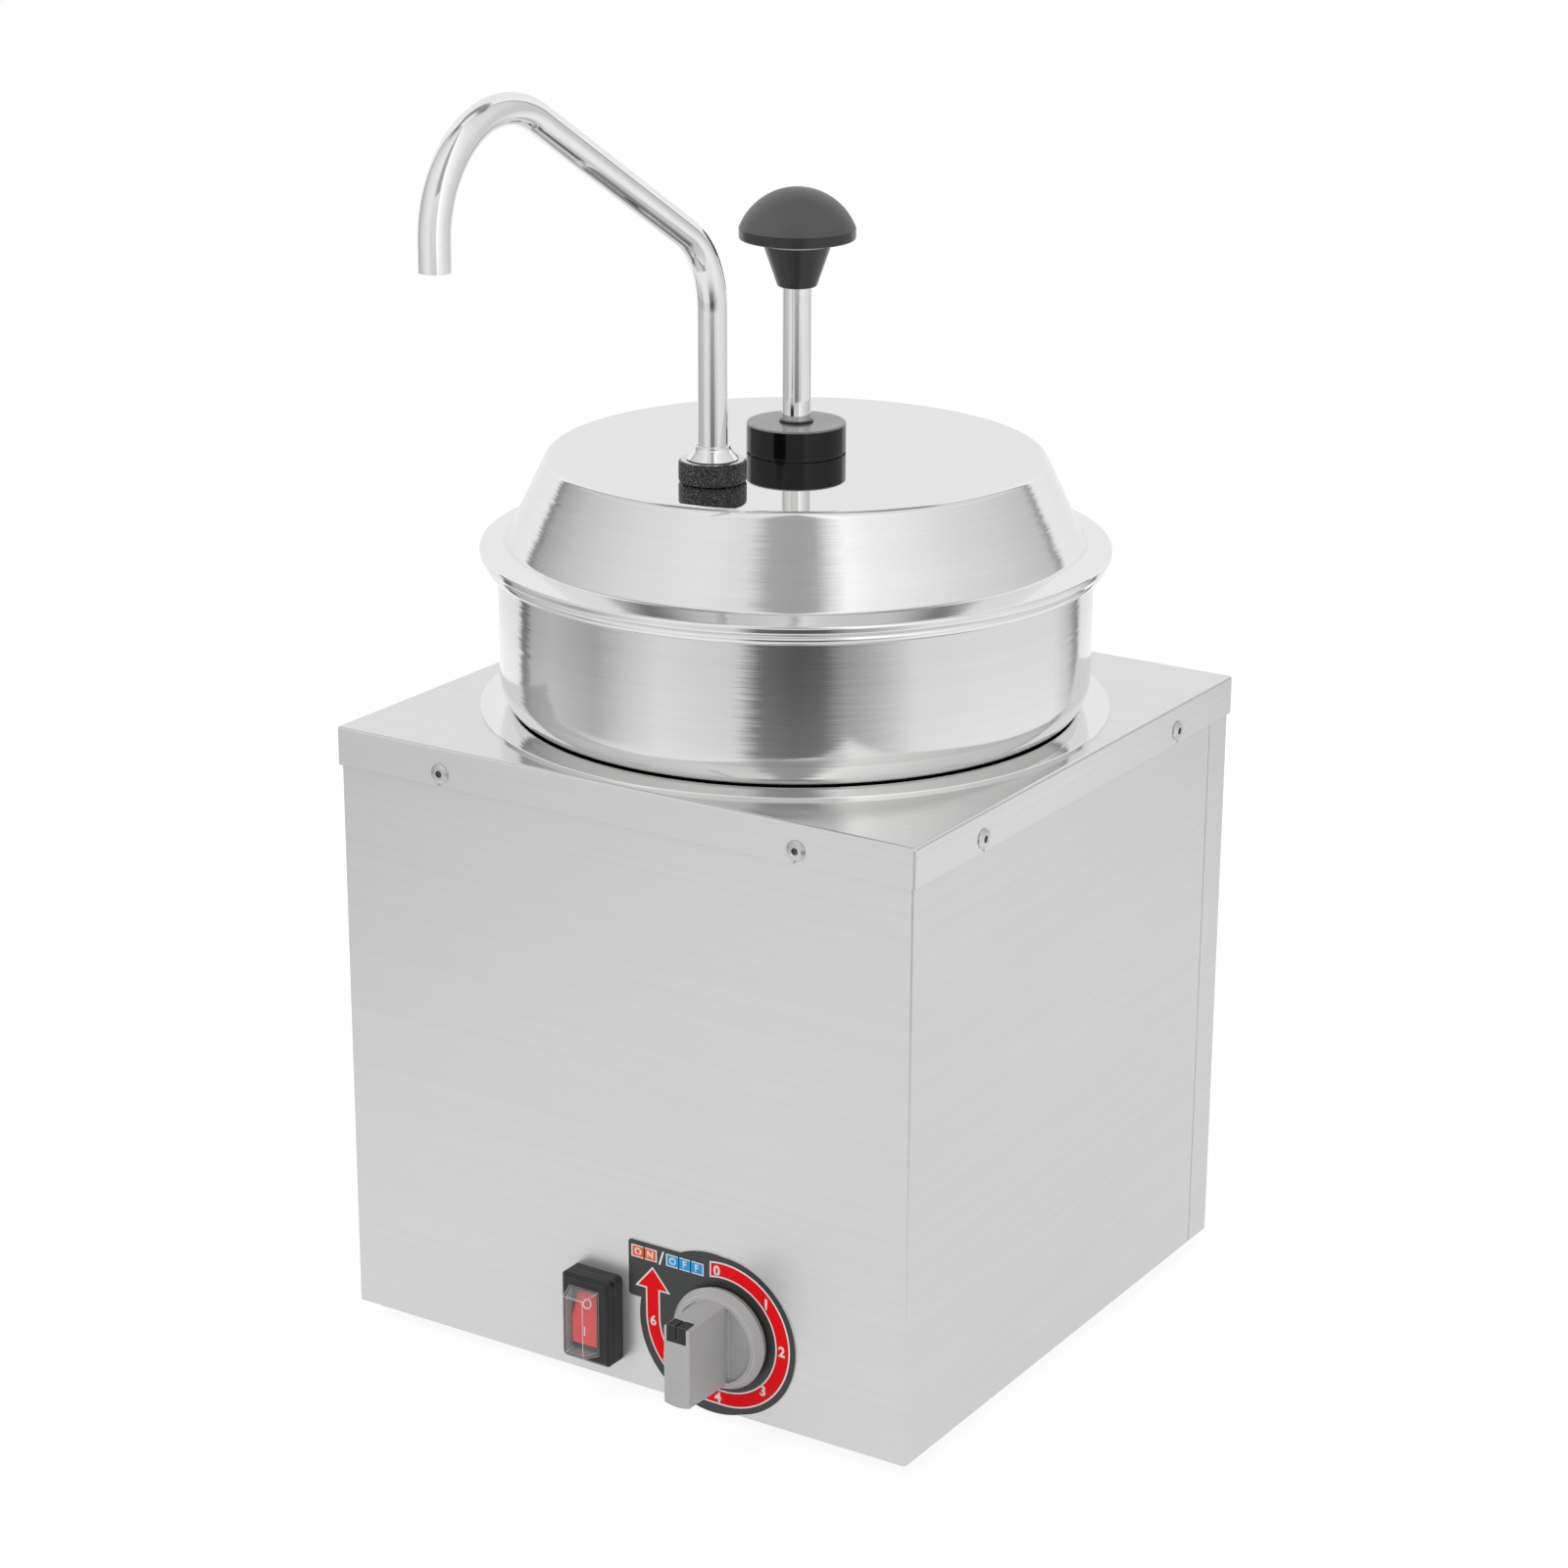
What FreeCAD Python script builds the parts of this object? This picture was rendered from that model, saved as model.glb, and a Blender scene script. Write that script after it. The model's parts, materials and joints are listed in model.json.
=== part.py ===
import FreeCAD, Part
import math
import os
import Sketcher
from FreeCAD import Placement, Rotation, Vector

# Countertop warmer for hot toppings: a sheet steel housing with a heated water well, a lift-out
# inset pot, a lid that carries a plunger pump and its spout, a thermostat dial and a rocker switch.
# Frame: origin on the floor under the middle of the housing, +Z up, front panel at -Y.

document = FreeCAD.newDocument("ToppingWarmer")


# Driving dimensions, in millimetres and degrees
SIZES = [
    ("cover_width", 240.0, "top cover, left to right"),
    ("cover_depth", 232.0, "top cover, front to back"),
    ("housing_height", 225.7, "underside of the tray to the top of the cover"),
    ("foot_height", 6.0, "rubber foot"),
    ("sheet", 0.8, "housing sheet"),
    ("cover_gap", 0.2, "cover skirt to wall"),
    ("skirt_height", 14.4, "cover skirt"),
    ("bend_radius", 1.2, "outside of a folded edge"),
    ("fit_gap", 0.15, "sheet piece laid inside another"),
    ("hole_gap", 0.1, "radial, screw or rivet in its hole"),
    ("slip_gap", 0.05, "radial, turned running fit"),
    ("overrun", 5.0, "cuts run past the solid"),
    ("return_depth", 15.0, "side return of the rear panel"),
    ("seam_gap", 0.3, "side wall to rear panel"),
    ("flange_width", 12.0, "inward bottom flange of the walls"),
    ("tray_sheet", 1.0, "base tray"),
    ("tray_slot_width", 4.0, "tray air slot"),
    ("tray_slot_length", 60.0, "tray air slot"),
    ("tray_slot_pitch", 12.0, "tray air slots"),
    ("tray_screw_x", 62.0, "screws in the front and rear flanges"),
    ("tray_screw_y", 50.0, "screws in the side flanges"),
    ("tray_screw_radius", 1.7, "tray screw"),
    ("tray_screw_head", 3.2, "tray screw head radius"),
    ("tray_screw_cap", 1.8, "tray screw head height"),
    ("tray_screw_length", 6.0, "tray screw under its head"),
    ("foot_inset", 30.2, "foot centre from the inside of the walls"),
    ("foot_radius", 11.0, "foot at the tray"),
    ("foot_toe", 9.0, "foot at the floor"),
    ("foot_screw_radius", 2.0, "foot screw"),
    ("foot_screw_head", 3.8, "foot screw head radius"),
    ("foot_screw_cap", 2.2, "foot screw head height"),
    ("foot_screw_length", 7.0, "foot screw under its head"),
    ("foot_recess", 3.0, "recess for the foot screw"),
    ("foot_round", 1.0, "foot at its lower edge"),
    ("vent_width", 4.0, "rear air slot"),
    ("vent_height", 46.0, "rear air slot"),
    ("vent_pitch", 11.0, "rear air slots"),
    ("vent_low", 118.0, "rear air slots above the floor"),
    ("strip_sheet", 1.2, "corner strip"),
    ("strip_side_leg", 26.0, "corner strip along the side"),
    ("strip_rear_leg", 16.0, "corner strip along the rear"),
    ("strip_margin", 26.0, "corner strip from the walls' ends"),
    ("rear_screw_inset", 9.0, "rear screw from the wall's inside"),
    ("rear_screw_low", 50.0, "lower rear screws"),
    ("rear_screw_drop", 45.7, "upper rear screws under the cover's top"),
    ("rear_screw_radius", 1.9, "rear screw"),
    ("rear_screw_head", 3.8, "rear screw head radius"),
    ("rear_screw_cap", 2.3, "rear screw head height"),
    ("rear_screw_length", 8.0, "rear screw under its head"),
    ("rivet_x", 74.0, "rivets of the front and rear skirts"),
    ("rivet_y", 71.2, "rivets of the side skirts"),
    ("rivet_drop", 9.6, "rivets under the cover's top"),
    ("rivet_head", 3.65, "rivet head radius"),
    ("rivet_flat", 2.6, "flat of the rivet head, radius"),
    ("rivet_cap", 1.1, "rivet head height"),
    ("rivet_edge", 0.35, "rivet head at its rim"),
    ("rivet_radius", 2.0, "rivet shank"),
    ("rivet_bore", 1.25, "mandrel hole radius"),
    ("rivet_bore_depth", 2.0, "mandrel hole"),
    ("rivet_tail", 2.9, "rivet tail radius"),
    ("rivet_tail_length", 2.4, "rivet tail"),
    ("notch_radius", 1.2, "notch in the skirt under each rivet"),
    ("well_margin", 15.0, "well inside to the nearer edges of the cover"),
    ("well_flange", 13.5, "width of the well flange"),
    ("well_flange_rise", 1.1, "well flange above the cover"),
    ("well_depth", 118.0, "well inside, from its flange"),
    ("well_corner", 10.0, "well floor corner, inside"),
    ("well_sheet", 0.8, "well"),
    ("hem_round", 0.4, "edge of the well flange"),
    ("lip_bend", 3.0, "well lip, outside of the bend"),
    ("cover_hole_gap", 0.2, "cover hole to the well's bend"),
    ("wool_gap", 0.3, "insulation to the well"),
    ("wool_thickness", 10.0, "insulation"),
    ("wool_margin", 8.0, "insulation to the cover, and to the well's floor corner"),
    ("pot_room", 4.0, "pot below its shoulder, to the well"),
    ("pot_step", 10.2, "pot collar past the pot below it"),
    ("pot_sheet", 0.8, "pot"),
    ("pot_rise", 57.1, "pot rim above the cover"),
    ("water_depth", 14.0, "pot above the well's floor"),
    ("pot_corner", 14.0, "pot floor corner, outside"),
    ("pot_shoulder_round", 18.0, "pot shoulder, outside"),
    ("pot_throat_round", 5.0, "pot below the shoulder, outside"),
    ("pot_bead", 4.6, "rolled rim past the collar"),
    ("pot_bead_height", 4.0, "rolled rim"),
    ("pot_bead_round", 1.9, "rolled rim edge"),
    ("seat_gap", 0.3, "pot shoulder to well lip"),
    ("lid_gap", 0.1, "lid rim to pot rim"),
    ("lid_height", 36.1, "lid top above its rim"),
    ("lid_overhang", 1.8, "lid rim past the rolled rim"),
    ("lid_ledge", 9.6, "lid rim outside the foot of the cone"),
    ("lid_lean", 15.0, "foot of the cone outside the lid's flat top"),
    ("lid_rim_height", 3.2, "lid rim edge"),
    ("lid_cone_foot", 4.9, "foot of the cone above the rim's underside"),
    ("lid_sheet", 0.8, "lid"),
    ("lid_cone_wall", 0.9, "lid cone, measured level"),
    ("lid_top_round", 4.0, "lid top edge"),
    ("lid_foot_round", 2.0, "foot of the cone"),
    ("lid_rim_round", 1.1, "lid rim edge"),
    ("lid_skirt_depth", 6.0, "locating skirt in the pot"),
    ("lid_skirt_gap", 0.6, "locating skirt to pot wall"),
    ("collar_radius", 17.8, "pump collar"),
    ("collar_height", 10.7, "pump collar"),
    ("collar_round", 0.8, "pump collar edge"),
    ("collar_web", 3.0, "top of the pump collar"),
    ("bush_radius", 6.0, "rod bush"),
    ("bush_proud", 0.9, "rod bush above the collar"),
    ("bush_flange", 13.6, "rod bush flange radius"),
    ("bush_flange_height", 1.4, "rod bush flange"),
    ("cylinder_radius", 14.0, "pump cylinder, outside"),
    ("cylinder_wall", 1.2, "pump cylinder"),
    ("cylinder_flange", 19.0, "pump cylinder flange radius"),
    ("cylinder_flange_height", 2.0, "pump cylinder flange"),
    ("gasket", 1.5, "lid gasket"),
    ("valve_radius", 17.0, "valve body"),
    ("valve_lift", 5.0, "valve body above the pot floor"),
    ("valve_foot", 5.0, "valve body under the inlet seat"),
    ("valve_socket", 8.0, "cylinder socket"),
    ("inlet_hole", 4.0, "inlet hole radius"),
    ("inlet_ball_radius", 5.0, "inlet ball"),
    ("inlet_pocket", 6.0, "inlet pocket radius"),
    ("outlet_hole", 3.5, "outlet hole radius"),
    ("outlet_ball_radius", 4.5, "outlet ball"),
    ("outlet_pocket", 5.5, "outlet pocket radius"),
    ("outlet_seat_rise", 4.5, "outlet seat above the cross passage"),
    ("ball_lift", 3.0, "travel of both balls"),
    ("ball_gap", 0.05, "ball to its seat"),
    ("pin_radius", 0.8, "ball cage pin"),
    ("pin_gap", 0.3, "raised ball to its pin"),
    ("pin_inset", 1.0, "pin ends in the valve body's sides"),
    ("passage_radius", 3.0, "cross passage"),
    ("passage_rise", 0.5, "cross passage above the cage pin"),
    ("passage_wall", 4.0, "arm round the cross passage"),
    ("socket_floor", 1.5, "cross passage to the cylinder socket"),
    ("boss_radius", 10.0, "outlet boss"),
    ("boss_socket", 7.0, "riser socket"),
    ("riser_radius", 6.5, "riser tube"),
    ("riser_flange", 10.0, "riser flange radius"),
    ("riser_flange_height", 2.0, "riser flange"),
    ("riser_stub", 6.0, "riser above the lid"),
    ("lid_hole_gap", 0.2, "tubes in the lid's holes, radial"),
    ("spout_radius", 5.2, "spout tube, outside"),
    ("spout_wall", 1.0, "spout tube"),
    ("spout_place", 54.0, "spout foot in front of the pump rod"),
    ("spout_reach", 153.0, "spout outlet in front of its foot"),
    ("spout_knee", 79.2, "meeting point of the upright and the slope, above the lid"),
    ("spout_slope", 30.4, "slope of the spout, degrees"),
    ("spout_tip", 97.0, "outlet above the lid"),
    ("knee_radius", 34.0, "spout knee bend"),
    ("crook_radius", 36.0, "spout crook bend"),
    ("spout_insert", 12.0, "spout inside the riser"),
    ("nut_radius", 11.85, "knurled spout nut"),
    ("nut_height", 7.9, "knurled spout nut"),
    ("nut_edge", 0.8, "spout nut chamfer"),
    ("nut_groove", 0.35, "knurl groove of the spout nut, radius"),
    ("ferrule_radius", 9.0, "ferrule foot"),
    ("ferrule_neck", 6.3, "ferrule neck radius"),
    ("ferrule_height", 6.0, "ferrule"),
    ("ferrule_foot", 1.0, "ferrule foot edge"),
    ("ferrule_flare", 3.4, "ferrule flare"),
    ("rod_radius", 5.25, "pump rod"),
    ("rod_end_radius", 4.0, "rod end in the piston"),
    ("stroke", 42.0, "pump stroke"),
    ("spring_solid", 15.0, "return spring, closed"),
    ("spring_wire", 0.8, "return spring wire radius"),
    ("spring_mean", 10.4, "return spring, mean radius"),
    ("spring_turns", 7.0, "return spring turns"),
    ("piston_gap", 0.3, "piston to cylinder, radial"),
    ("piston_height", 14.0, "piston"),
    ("seal_height", 4.0, "piston seal"),
    ("seal_depth", 2.0, "piston seal groove"),
    ("seal_inset", 5.0, "seal above the piston's underside"),
    ("rod_nut_radius", 7.2, "rod nut, across corners"),
    ("rod_nut_height", 6.0, "rod nut"),
    ("sleeve_wall", 1.5, "stop sleeve"),
    ("sleeve_gap", 0.3, "stop sleeve to the bush"),
    ("knob_radius", 20.65, "plunger knob"),
    ("knob_band", 4.0, "edge of the plunger knob"),
    ("knob_dome", 14.2, "dome above the edge"),
    ("knob_neck_top", 12.0, "neck under the dome, radius"),
    ("knob_neck_foot", 6.9, "foot of the neck, radius"),
    ("knob_neck_height", 16.7, "neck of the plunger knob"),
    ("knob_clear", 48.6, "foot of the knob above the collar"),
    ("knob_socket", 22.0, "rod inside the knob"),
    ("knob_round", 1.0, "lower edge of the dome and of the neck"),
    ("dial_x", 44.7, "dial axis"),
    ("dial_rise", 30.1, "dial axis above the tray's underside"),
    ("plate_sheet", 0.5, "dial plate"),
    ("plate_radius", 30.0, "dial plate"),
    ("plate_lobe_radius", 30.9, "second lobe of the dial plate"),
    ("plate_lobe_shift", 4.6, "second lobe, to the left of the axis"),
    ("plate_lobe_drop", 0.6, "second lobe below the axis"),
    ("tab_left", 40.2, "plate tab, left of the axis"),
    ("tab_right", 12.0, "plate tab, left of the axis"),
    ("tab_low", 5.4, "plate tab above the axis"),
    ("tab_high", 27.2, "plate tab above the axis"),
    ("tab_round", 1.5, "plate tab corner"),
    ("shaft_radius", 3.0, "thermostat shaft"),
    ("shaft_flat", 1.9, "flat of the shaft from its axis"),
    ("shaft_reach", 20.0, "thermostat shaft in front of the panel"),
    ("shaft_root", 12.0, "thermostat shaft inside the thermostat"),
    ("shaft_hole", 5.2, "panel hole for the shaft"),
    ("thermostat_width", 40.0, "thermostat body"),
    ("thermostat_height", 34.0, "thermostat body"),
    ("thermostat_depth", 30.0, "thermostat body"),
    ("thermostat_pitch", 22.0, "thermostat screws"),
    ("thermostat_round", 2.0, "thermostat body edge"),
    ("thermostat_screw", 1.9, "thermostat screw radius"),
    ("thermostat_head", 3.4, "thermostat screw head radius"),
    ("thermostat_cap", 1.6, "thermostat screw head height"),
    ("thermostat_grip", 8.0, "thermostat screw behind the plate"),
    ("grip_gap", 0.8, "thermostat knob to the dial plate"),
    ("grip_radius", 19.0, "thermostat knob skirt"),
    ("grip_skirt", 3.2, "widest edge of the knob above the plate"),
    ("grip_face", 6.6, "face of the knob above the plate"),
    ("grip_face_radius", 17.0, "face of the knob"),
    ("grip_height", 29.4, "grip bar above the plate"),
    ("grip_width", 10.6, "grip bar"),
    ("grip_length", 33.0, "grip bar at its root"),
    ("grip_front_length", 31.0, "grip bar at its front"),
    ("grip_hollow", 16.0, "hollow under the knob, radius"),
    ("grip_hollow_depth", 2.8, "hollow under the knob"),
    ("grip_hub", 6.0, "hub in the hollow, radius"),
    ("grip_scoop", 1.6, "recess on either side of the grip bar"),
    ("grip_rim", 1.4, "rim round the recesses"),
    ("grip_round", 0.5, "edges of the grip bar"),
    ("pointer_width", 8.0, "pointer insert"),
    ("pointer_drop", 6.2, "pointer insert down the bar's front"),
    ("pointer_back", 5.0, "pointer insert along the bar's end"),
    ("pointer_thickness", 1.2, "pointer insert"),
    ("pointer_proud", 0.15, "pointer insert above the bar"),
    ("pointer_groove", 1.2, "groove in the pointer"),
    ("pointer_groove_depth", 0.6, "groove in the pointer"),
    ("switch_x", 9.1, "switch, left of the middle"),
    ("switch_rise", 24.6, "switch above the tray's underside"),
    ("bezel_width", 21.0, "switch bezel"),
    ("bezel_height", 33.5, "switch bezel"),
    ("bezel_depth", 9.0, "switch bezel in front of the panel"),
    ("bezel_foot", 4.1, "rear step of the bezel"),
    ("bezel_groove", 0.3, "groove round the bezel, depth"),
    ("bezel_groove_width", 0.4, "groove round the bezel"),
    ("bezel_chamfer", 1.6, "front edge of the bezel"),
    ("bezel_corner", 2.0, "upright corners of the bezel"),
    ("bezel_neck_width", 18.0, "bezel neck in the panel"),
    ("bezel_neck_height", 30.0, "bezel neck in the panel"),
    ("bezel_neck_depth", 4.0, "bezel neck behind the panel's face"),
    ("rocker_width", 10.4, "rocker"),
    ("rocker_half", 10.2, "rocker, pivot to end"),
    ("rocker_gap", 0.25, "rocker to bezel, each side"),
    ("rocker_room", 1.4, "bezel opening past the rocker's ends"),
    ("rocker_pivot", 4.0, "rocker pivot in front of the panel"),
    ("rocker_crest", 5.0, "middle of the rocker in front of its pivot"),
    ("rocker_tilt", 10.0, "rocker to either side, degrees"),
    ("rocker_foot", 3.0, "rocker behind its pivot"),
    ("rocker_pin_radius", 1.0, "rocker pin"),
    ("rocker_pin_seat", 1.5, "rocker pin in each side of the bezel"),
    ("clear_wall", 0.8, "clear switch cover"),
    ("clear_width", 12.5, "clear switch cover at the bezel"),
    ("clear_height", 25.0, "clear switch cover at the bezel"),
    ("clear_depth", 7.0, "clear switch cover"),
    ("clear_front_width", 8.6, "clear switch cover at its front"),
    ("clear_front_height", 22.8, "clear switch cover at its front"),
    ("switch_width", 17.0, "switch body"),
    ("switch_height", 28.0, "switch body"),
    ("switch_depth", 20.0, "switch body"),
    ("blade_width", 6.3, "switch terminal"),
    ("blade_sheet", 0.8, "switch terminal"),
    ("blade_length", 9.0, "switch terminal"),
    ("blade_pitch", 8.0, "switch terminals"),
    ("element_radius", 4.0, "heating element tube"),
    ("element_ring", 65.0, "heating element ring"),
    ("element_gap", 0.1, "heating element to the well"),
    ("element_open", 22.0, "half of the ring's open sector, degrees"),
    ("element_bend", 12.0, "element ends, bend"),
    ("element_drop", 20.0, "element ends, upright"),
    ("element_bead", 5.0, "ceramic end of the element"),
    ("element_pin", 1.5, "terminal pin of the element, radius"),
    ("element_pin_length", 8.0, "terminal pin of the element"),
    ("bar_sheet", 2.0, "element clamp bar"),
    ("bar_width", 16.0, "element clamp bar"),
    ("bar_length", 146.0, "element clamp bar"),
    ("stud_radius", 3.0, "clamp stud"),
    ("stud_length", 20.0, "clamp stud"),
    ("stud_nut_radius", 5.8, "clamp nut, across corners"),
    ("stud_nut_height", 5.0, "clamp nut"),
    ("cutout_radius", 8.0, "thermal cut-out"),
    ("cutout_height", 8.0, "thermal cut-out"),
    ("cutout_y", 34.0, "thermal cut-out behind the middle"),
    ("bulb_radius", 3.0, "thermostat bulb"),
    ("bulb_start", 30.0, "thermostat bulb, in front of the middle"),
    ("bulb_end", 36.0, "thermostat bulb, behind the middle"),
    ("capillary_radius", 1.0, "capillary tube"),
    ("capillary_bend", 8.0, "capillary tube"),
    ("capillary_lead", 10.0, "capillary upright in front of the bulb"),
    ("clip_width", 8.0, "bulb clip"),
    ("clip_wall", 2.0, "bulb clip"),
    ("clip_y", 20.0, "bulb clip behind the middle"),
    ("wiring_inset", 50.2, "terminal block and cable gland from the left wall"),
    ("block_inset", 52.2, "terminal block from the rear panel"),
    ("block_length", 36.0, "terminal block"),
    ("block_width", 18.0, "terminal block"),
    ("block_height", 16.0, "terminal block"),
    ("block_bore", 2.6, "terminal block wire hole radius"),
    ("block_pitch", 11.0, "terminal block poles"),
    ("block_screw_radius", 1.5, "terminal screw"),
    ("block_screw_length", 5.0, "terminal screw"),
    ("earth_x", 20.0, "earth stud, left of the middle"),
    ("earth_inset", 30.2, "earth stud from the rear panel"),
    ("earth_radius", 2.5, "earth stud"),
    ("earth_length", 14.0, "earth stud"),
    ("earth_nut_radius", 4.6, "earth nut, across corners"),
    ("earth_nut_height", 4.0, "earth nut"),
    ("gland_rise", 38.0, "cable gland above the floor"),
    ("gland_bore", 4.25, "cable gland bore radius"),
    ("gland_thread", 7.9, "cable gland thread radius"),
    ("gland_thread_length", 11.0, "cable gland thread"),
    ("gland_hex", 12.7, "cable gland hexagon, across corners, radius"),
    ("gland_hex_height", 5.0, "cable gland hexagon"),
    ("gland_cap", 10.4, "cable gland cap radius"),
    ("gland_cap_top", 7.6, "cable gland cap, outer end radius"),
    ("gland_cap_height", 13.0, "cable gland cap"),
    ("gland_nut_height", 4.0, "cable gland locknut"),
]


class Length:
    """A number together with the spreadsheet expression that gives it."""

    def __init__(self, number, words):
        self.number = number
        self.words = words

    def _join(self, other, sign, result):
        return Length(result, "(%s %s %s)" % (self.words, sign, words_of(other)))

    def __add__(self, other):
        return self._join(other, "+", self.number + number_of(other))

    def __sub__(self, other):
        return self._join(other, "-", self.number - number_of(other))

    def __mul__(self, other):
        return self._join(other, "*", self.number * number_of(other))

    def __truediv__(self, other):
        return self._join(other, "/", self.number / number_of(other))

    def __neg__(self):
        return Length(-self.number, "(0 - %s)" % self.words)


def number_of(value):
    return value.number if isinstance(value, Length) else float(value)


def words_of(value):
    return value.words if isinstance(value, Length) else repr(float(value))


def smaller(first, second):
    return Length(min(first.number, second.number), "min(%s; %s)" % (first.words, second.words))


class Sizes:
    """The driving dimensions by name, each tied to its cell."""


def make_sizes():
    sheet = document.addObject("Spreadsheet::Sheet", "Sizes")
    sizes = Sizes()
    for row, (name, value, note) in enumerate(SIZES, start=1):
        sheet.set("A%d" % row, name)
        sheet.set("B%d" % row, str(value))
        sheet.set("C%d" % row, note)
        sheet.setAlias("B%d" % row, name)
        setattr(sizes, name, Length(value, "Sizes." + name))
    document.recompute()
    return sizes


size = make_sizes()
ROOT_TWO = math.sqrt(2)
HALF = 0.5
XY = "XY_Plane"
XZ = "XZ_Plane"
YZ = "YZ_Plane"
nodes = []


def node(label, thing):
    thing.Label = label
    nodes.append(thing)
    return thing


# Bodies made from sketches

def new_body(name):
    return document.addObject("PartDesign::Body", name + "_body")


def new_sketch(body, plane, offset):
    sketch = body.newObject("Sketcher::SketchObject", body.Name + "_sketch")
    support = [one for one in body.Origin.OriginFeatures if one.Role == plane][0]
    sketch.AttachmentSupport = (support, [""])
    sketch.MapMode = "FlatFace"
    if isinstance(offset, Length):
        sketch.setExpression("AttachmentOffset.Base.z", offset.words)
    return sketch


def pin_point(sketch, line, end, point):
    for kind, axis, value in (("DistanceX", -2, point[0]), ("DistanceY", -1, point[1])):
        if number_of(value) == 0:
            sketch.addConstraint(Sketcher.Constraint("PointOnObject", line, end, axis))
        else:
            fixed = Sketcher.Constraint(kind, -1, 1, line, end, number_of(value))
            sketch.setExpression("Constraints[%d]" % sketch.addConstraint(fixed), words_of(value))


def outline(body, plane, points, offset=0):
    sketch = new_sketch(body, plane, offset)
    add_loop(sketch, points)
    return sketch


def add_loop(sketch, points):
    first = sketch.GeometryCount
    corners = [Vector(number_of(a), number_of(b), 0) for a, b in points]
    count = len(points)
    for index in range(count):
        sketch.addGeometry(Part.LineSegment(corners[index], corners[(index + 1) % count]), False)
    for index in range(count):
        joint = Sketcher.Constraint("Coincident", first + index, 2, first + (index + 1) % count, 1)
        sketch.addConstraint(joint)
    for index in range(count):
        pin_point(sketch, first + index, 1, points[index])


def add_circle(sketch, centre, radius):
    middle = Vector(number_of(centre[0]), number_of(centre[1]), 0)
    circle = sketch.addGeometry(Part.Circle(middle, Vector(0, 0, 1), radius.number), False)
    fixed = sketch.addConstraint(Sketcher.Constraint("Radius", circle, radius.number))
    sketch.setExpression("Constraints[%d]" % fixed, radius.words)
    pin_point(sketch, circle, 3, centre)


def circles(body, plane, places, radius, offset=0):
    sketch = new_sketch(body, plane, offset)
    for centre in places:
        add_circle(sketch, centre, radius)
    return sketch


def rectangle(low, high):
    return [(low[0], low[1]), (high[0], low[1]), (high[0], high[1]), (low[0], high[1])]


def pad(body, sketch, length, reverse=False, symmetric=False):
    feature = body.newObject("PartDesign::Pad", body.Name + "_pad")
    feature.Profile = sketch
    feature.SideType = "Symmetric" if symmetric else "One side"
    feature.Reversed = reverse
    feature.setExpression("Length", length.words)
    document.recompute()
    return feature


def pocket(body, sketch, length, reverse=False, symmetric=False):
    before = body.Shape.Volume
    feature = body.newObject("PartDesign::Pocket", body.Name + "_pocket")
    feature.Profile = sketch
    feature.SideType = "Symmetric" if symmetric else "One side"
    feature.Reversed = reverse
    feature.setExpression("Length", length.words)
    document.recompute()
    if not body.Shape.Volume < before:
        raise RuntimeError("a pocket of %s cuts nothing" % body.Name)
    return feature


def revolve(body, sketch):
    feature = body.newObject("PartDesign::Revolution", body.Name + "_turn")
    feature.Profile = sketch
    feature.ReferenceAxis = (sketch, ["V_Axis"])
    feature.Angle = 360
    document.recompute()
    return feature


def edge_names(shape, wanted):
    return ["Edge%d" % (index + 1) for index, edge in enumerate(shape.Edges) if wanted(edge)]


def round_edges(body, radius, wanted, kind="Fillet"):
    base = body.Tip
    names = edge_names(base.Shape, wanted)
    if not names:
        raise RuntimeError("no edge to round on %s" % body.Name)
    feature = body.newObject("PartDesign::" + kind, body.Name + "_edge")
    feature.Base = (base, names)
    feature.setExpression("Radius" if kind == "Fillet" else "Size", radius.words)
    document.recompute()
    return feature


def ring_at(radius, height):
    """Picks the round edges of a turned body at one corner of its outline."""

    def wanted(edge):
        if edge.Degenerated or not isinstance(edge.Curve, Part.Circle):
            return False
        near_radius = abs(edge.Curve.Radius - number_of(radius)) < TOUCH
        return near_radius and abs(edge.Curve.Center.z - number_of(height)) < TOUCH

    return wanted


def upright_at(places):
    """Picks the straight upright edges that stand at the given places."""

    def wanted(edge):
        if not isinstance(edge.Curve, Part.Line) or abs(edge.tangentAt(edge.FirstParameter).z) < HALF:
            return False
        spot = edge.Vertexes[0].Point
        return any(abs(spot.x - number_of(x)) < TOUCH and abs(spot.y - number_of(y)) < TOUCH
                   for x, y in places)

    return wanted


def level_at(height):
    """Picks the straight level edges at one height."""

    def wanted(edge):
        ends = [corner.Point.z for corner in edge.Vertexes]
        return isinstance(edge.Curve, Part.Line) and all(abs(z - number_of(height)) < TOUCH for z in ends)

    return wanted


def turned(label, points, rounds=()):
    """A turned piece: an outline of radius and height, and the rounding of its corners."""
    body = new_body(label)
    revolve(body, outline(body, XZ, points))
    for radius, corner in rounds:
        round_edges(body, radius, ring_at(*corner))
    return node(label, body)


# Solids made from primitives

AXES = {"X": Rotation(Vector(0, 1, 0), 90), "Y": Rotation(Vector(1, 0, 0), -90), "Z": Rotation()}


def place(thing, base, turn=Rotation()):
    thing.Placement = Placement(Vector(*[number_of(value) for value in base]), turn)
    for axis, value in zip("xyz", base):
        if isinstance(value, Length):
            thing.setExpression("Placement.Base." + axis, value.words)


def cylinder(radius, length, base, axis="Z", name="Cylinder"):
    thing = document.addObject("Part::Cylinder", name)
    thing.setExpression("Radius", words_of(radius))
    thing.setExpression("Height", words_of(length))
    place(thing, base, AXES[axis])
    return thing


def cone(low_radius, high_radius, length, base, axis="Z"):
    thing = document.addObject("Part::Cone", "Cone")
    thing.setExpression("Radius1", words_of(low_radius))
    thing.setExpression("Radius2", words_of(high_radius))
    thing.setExpression("Height", words_of(length))
    place(thing, base, AXES[axis])
    return thing


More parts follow.
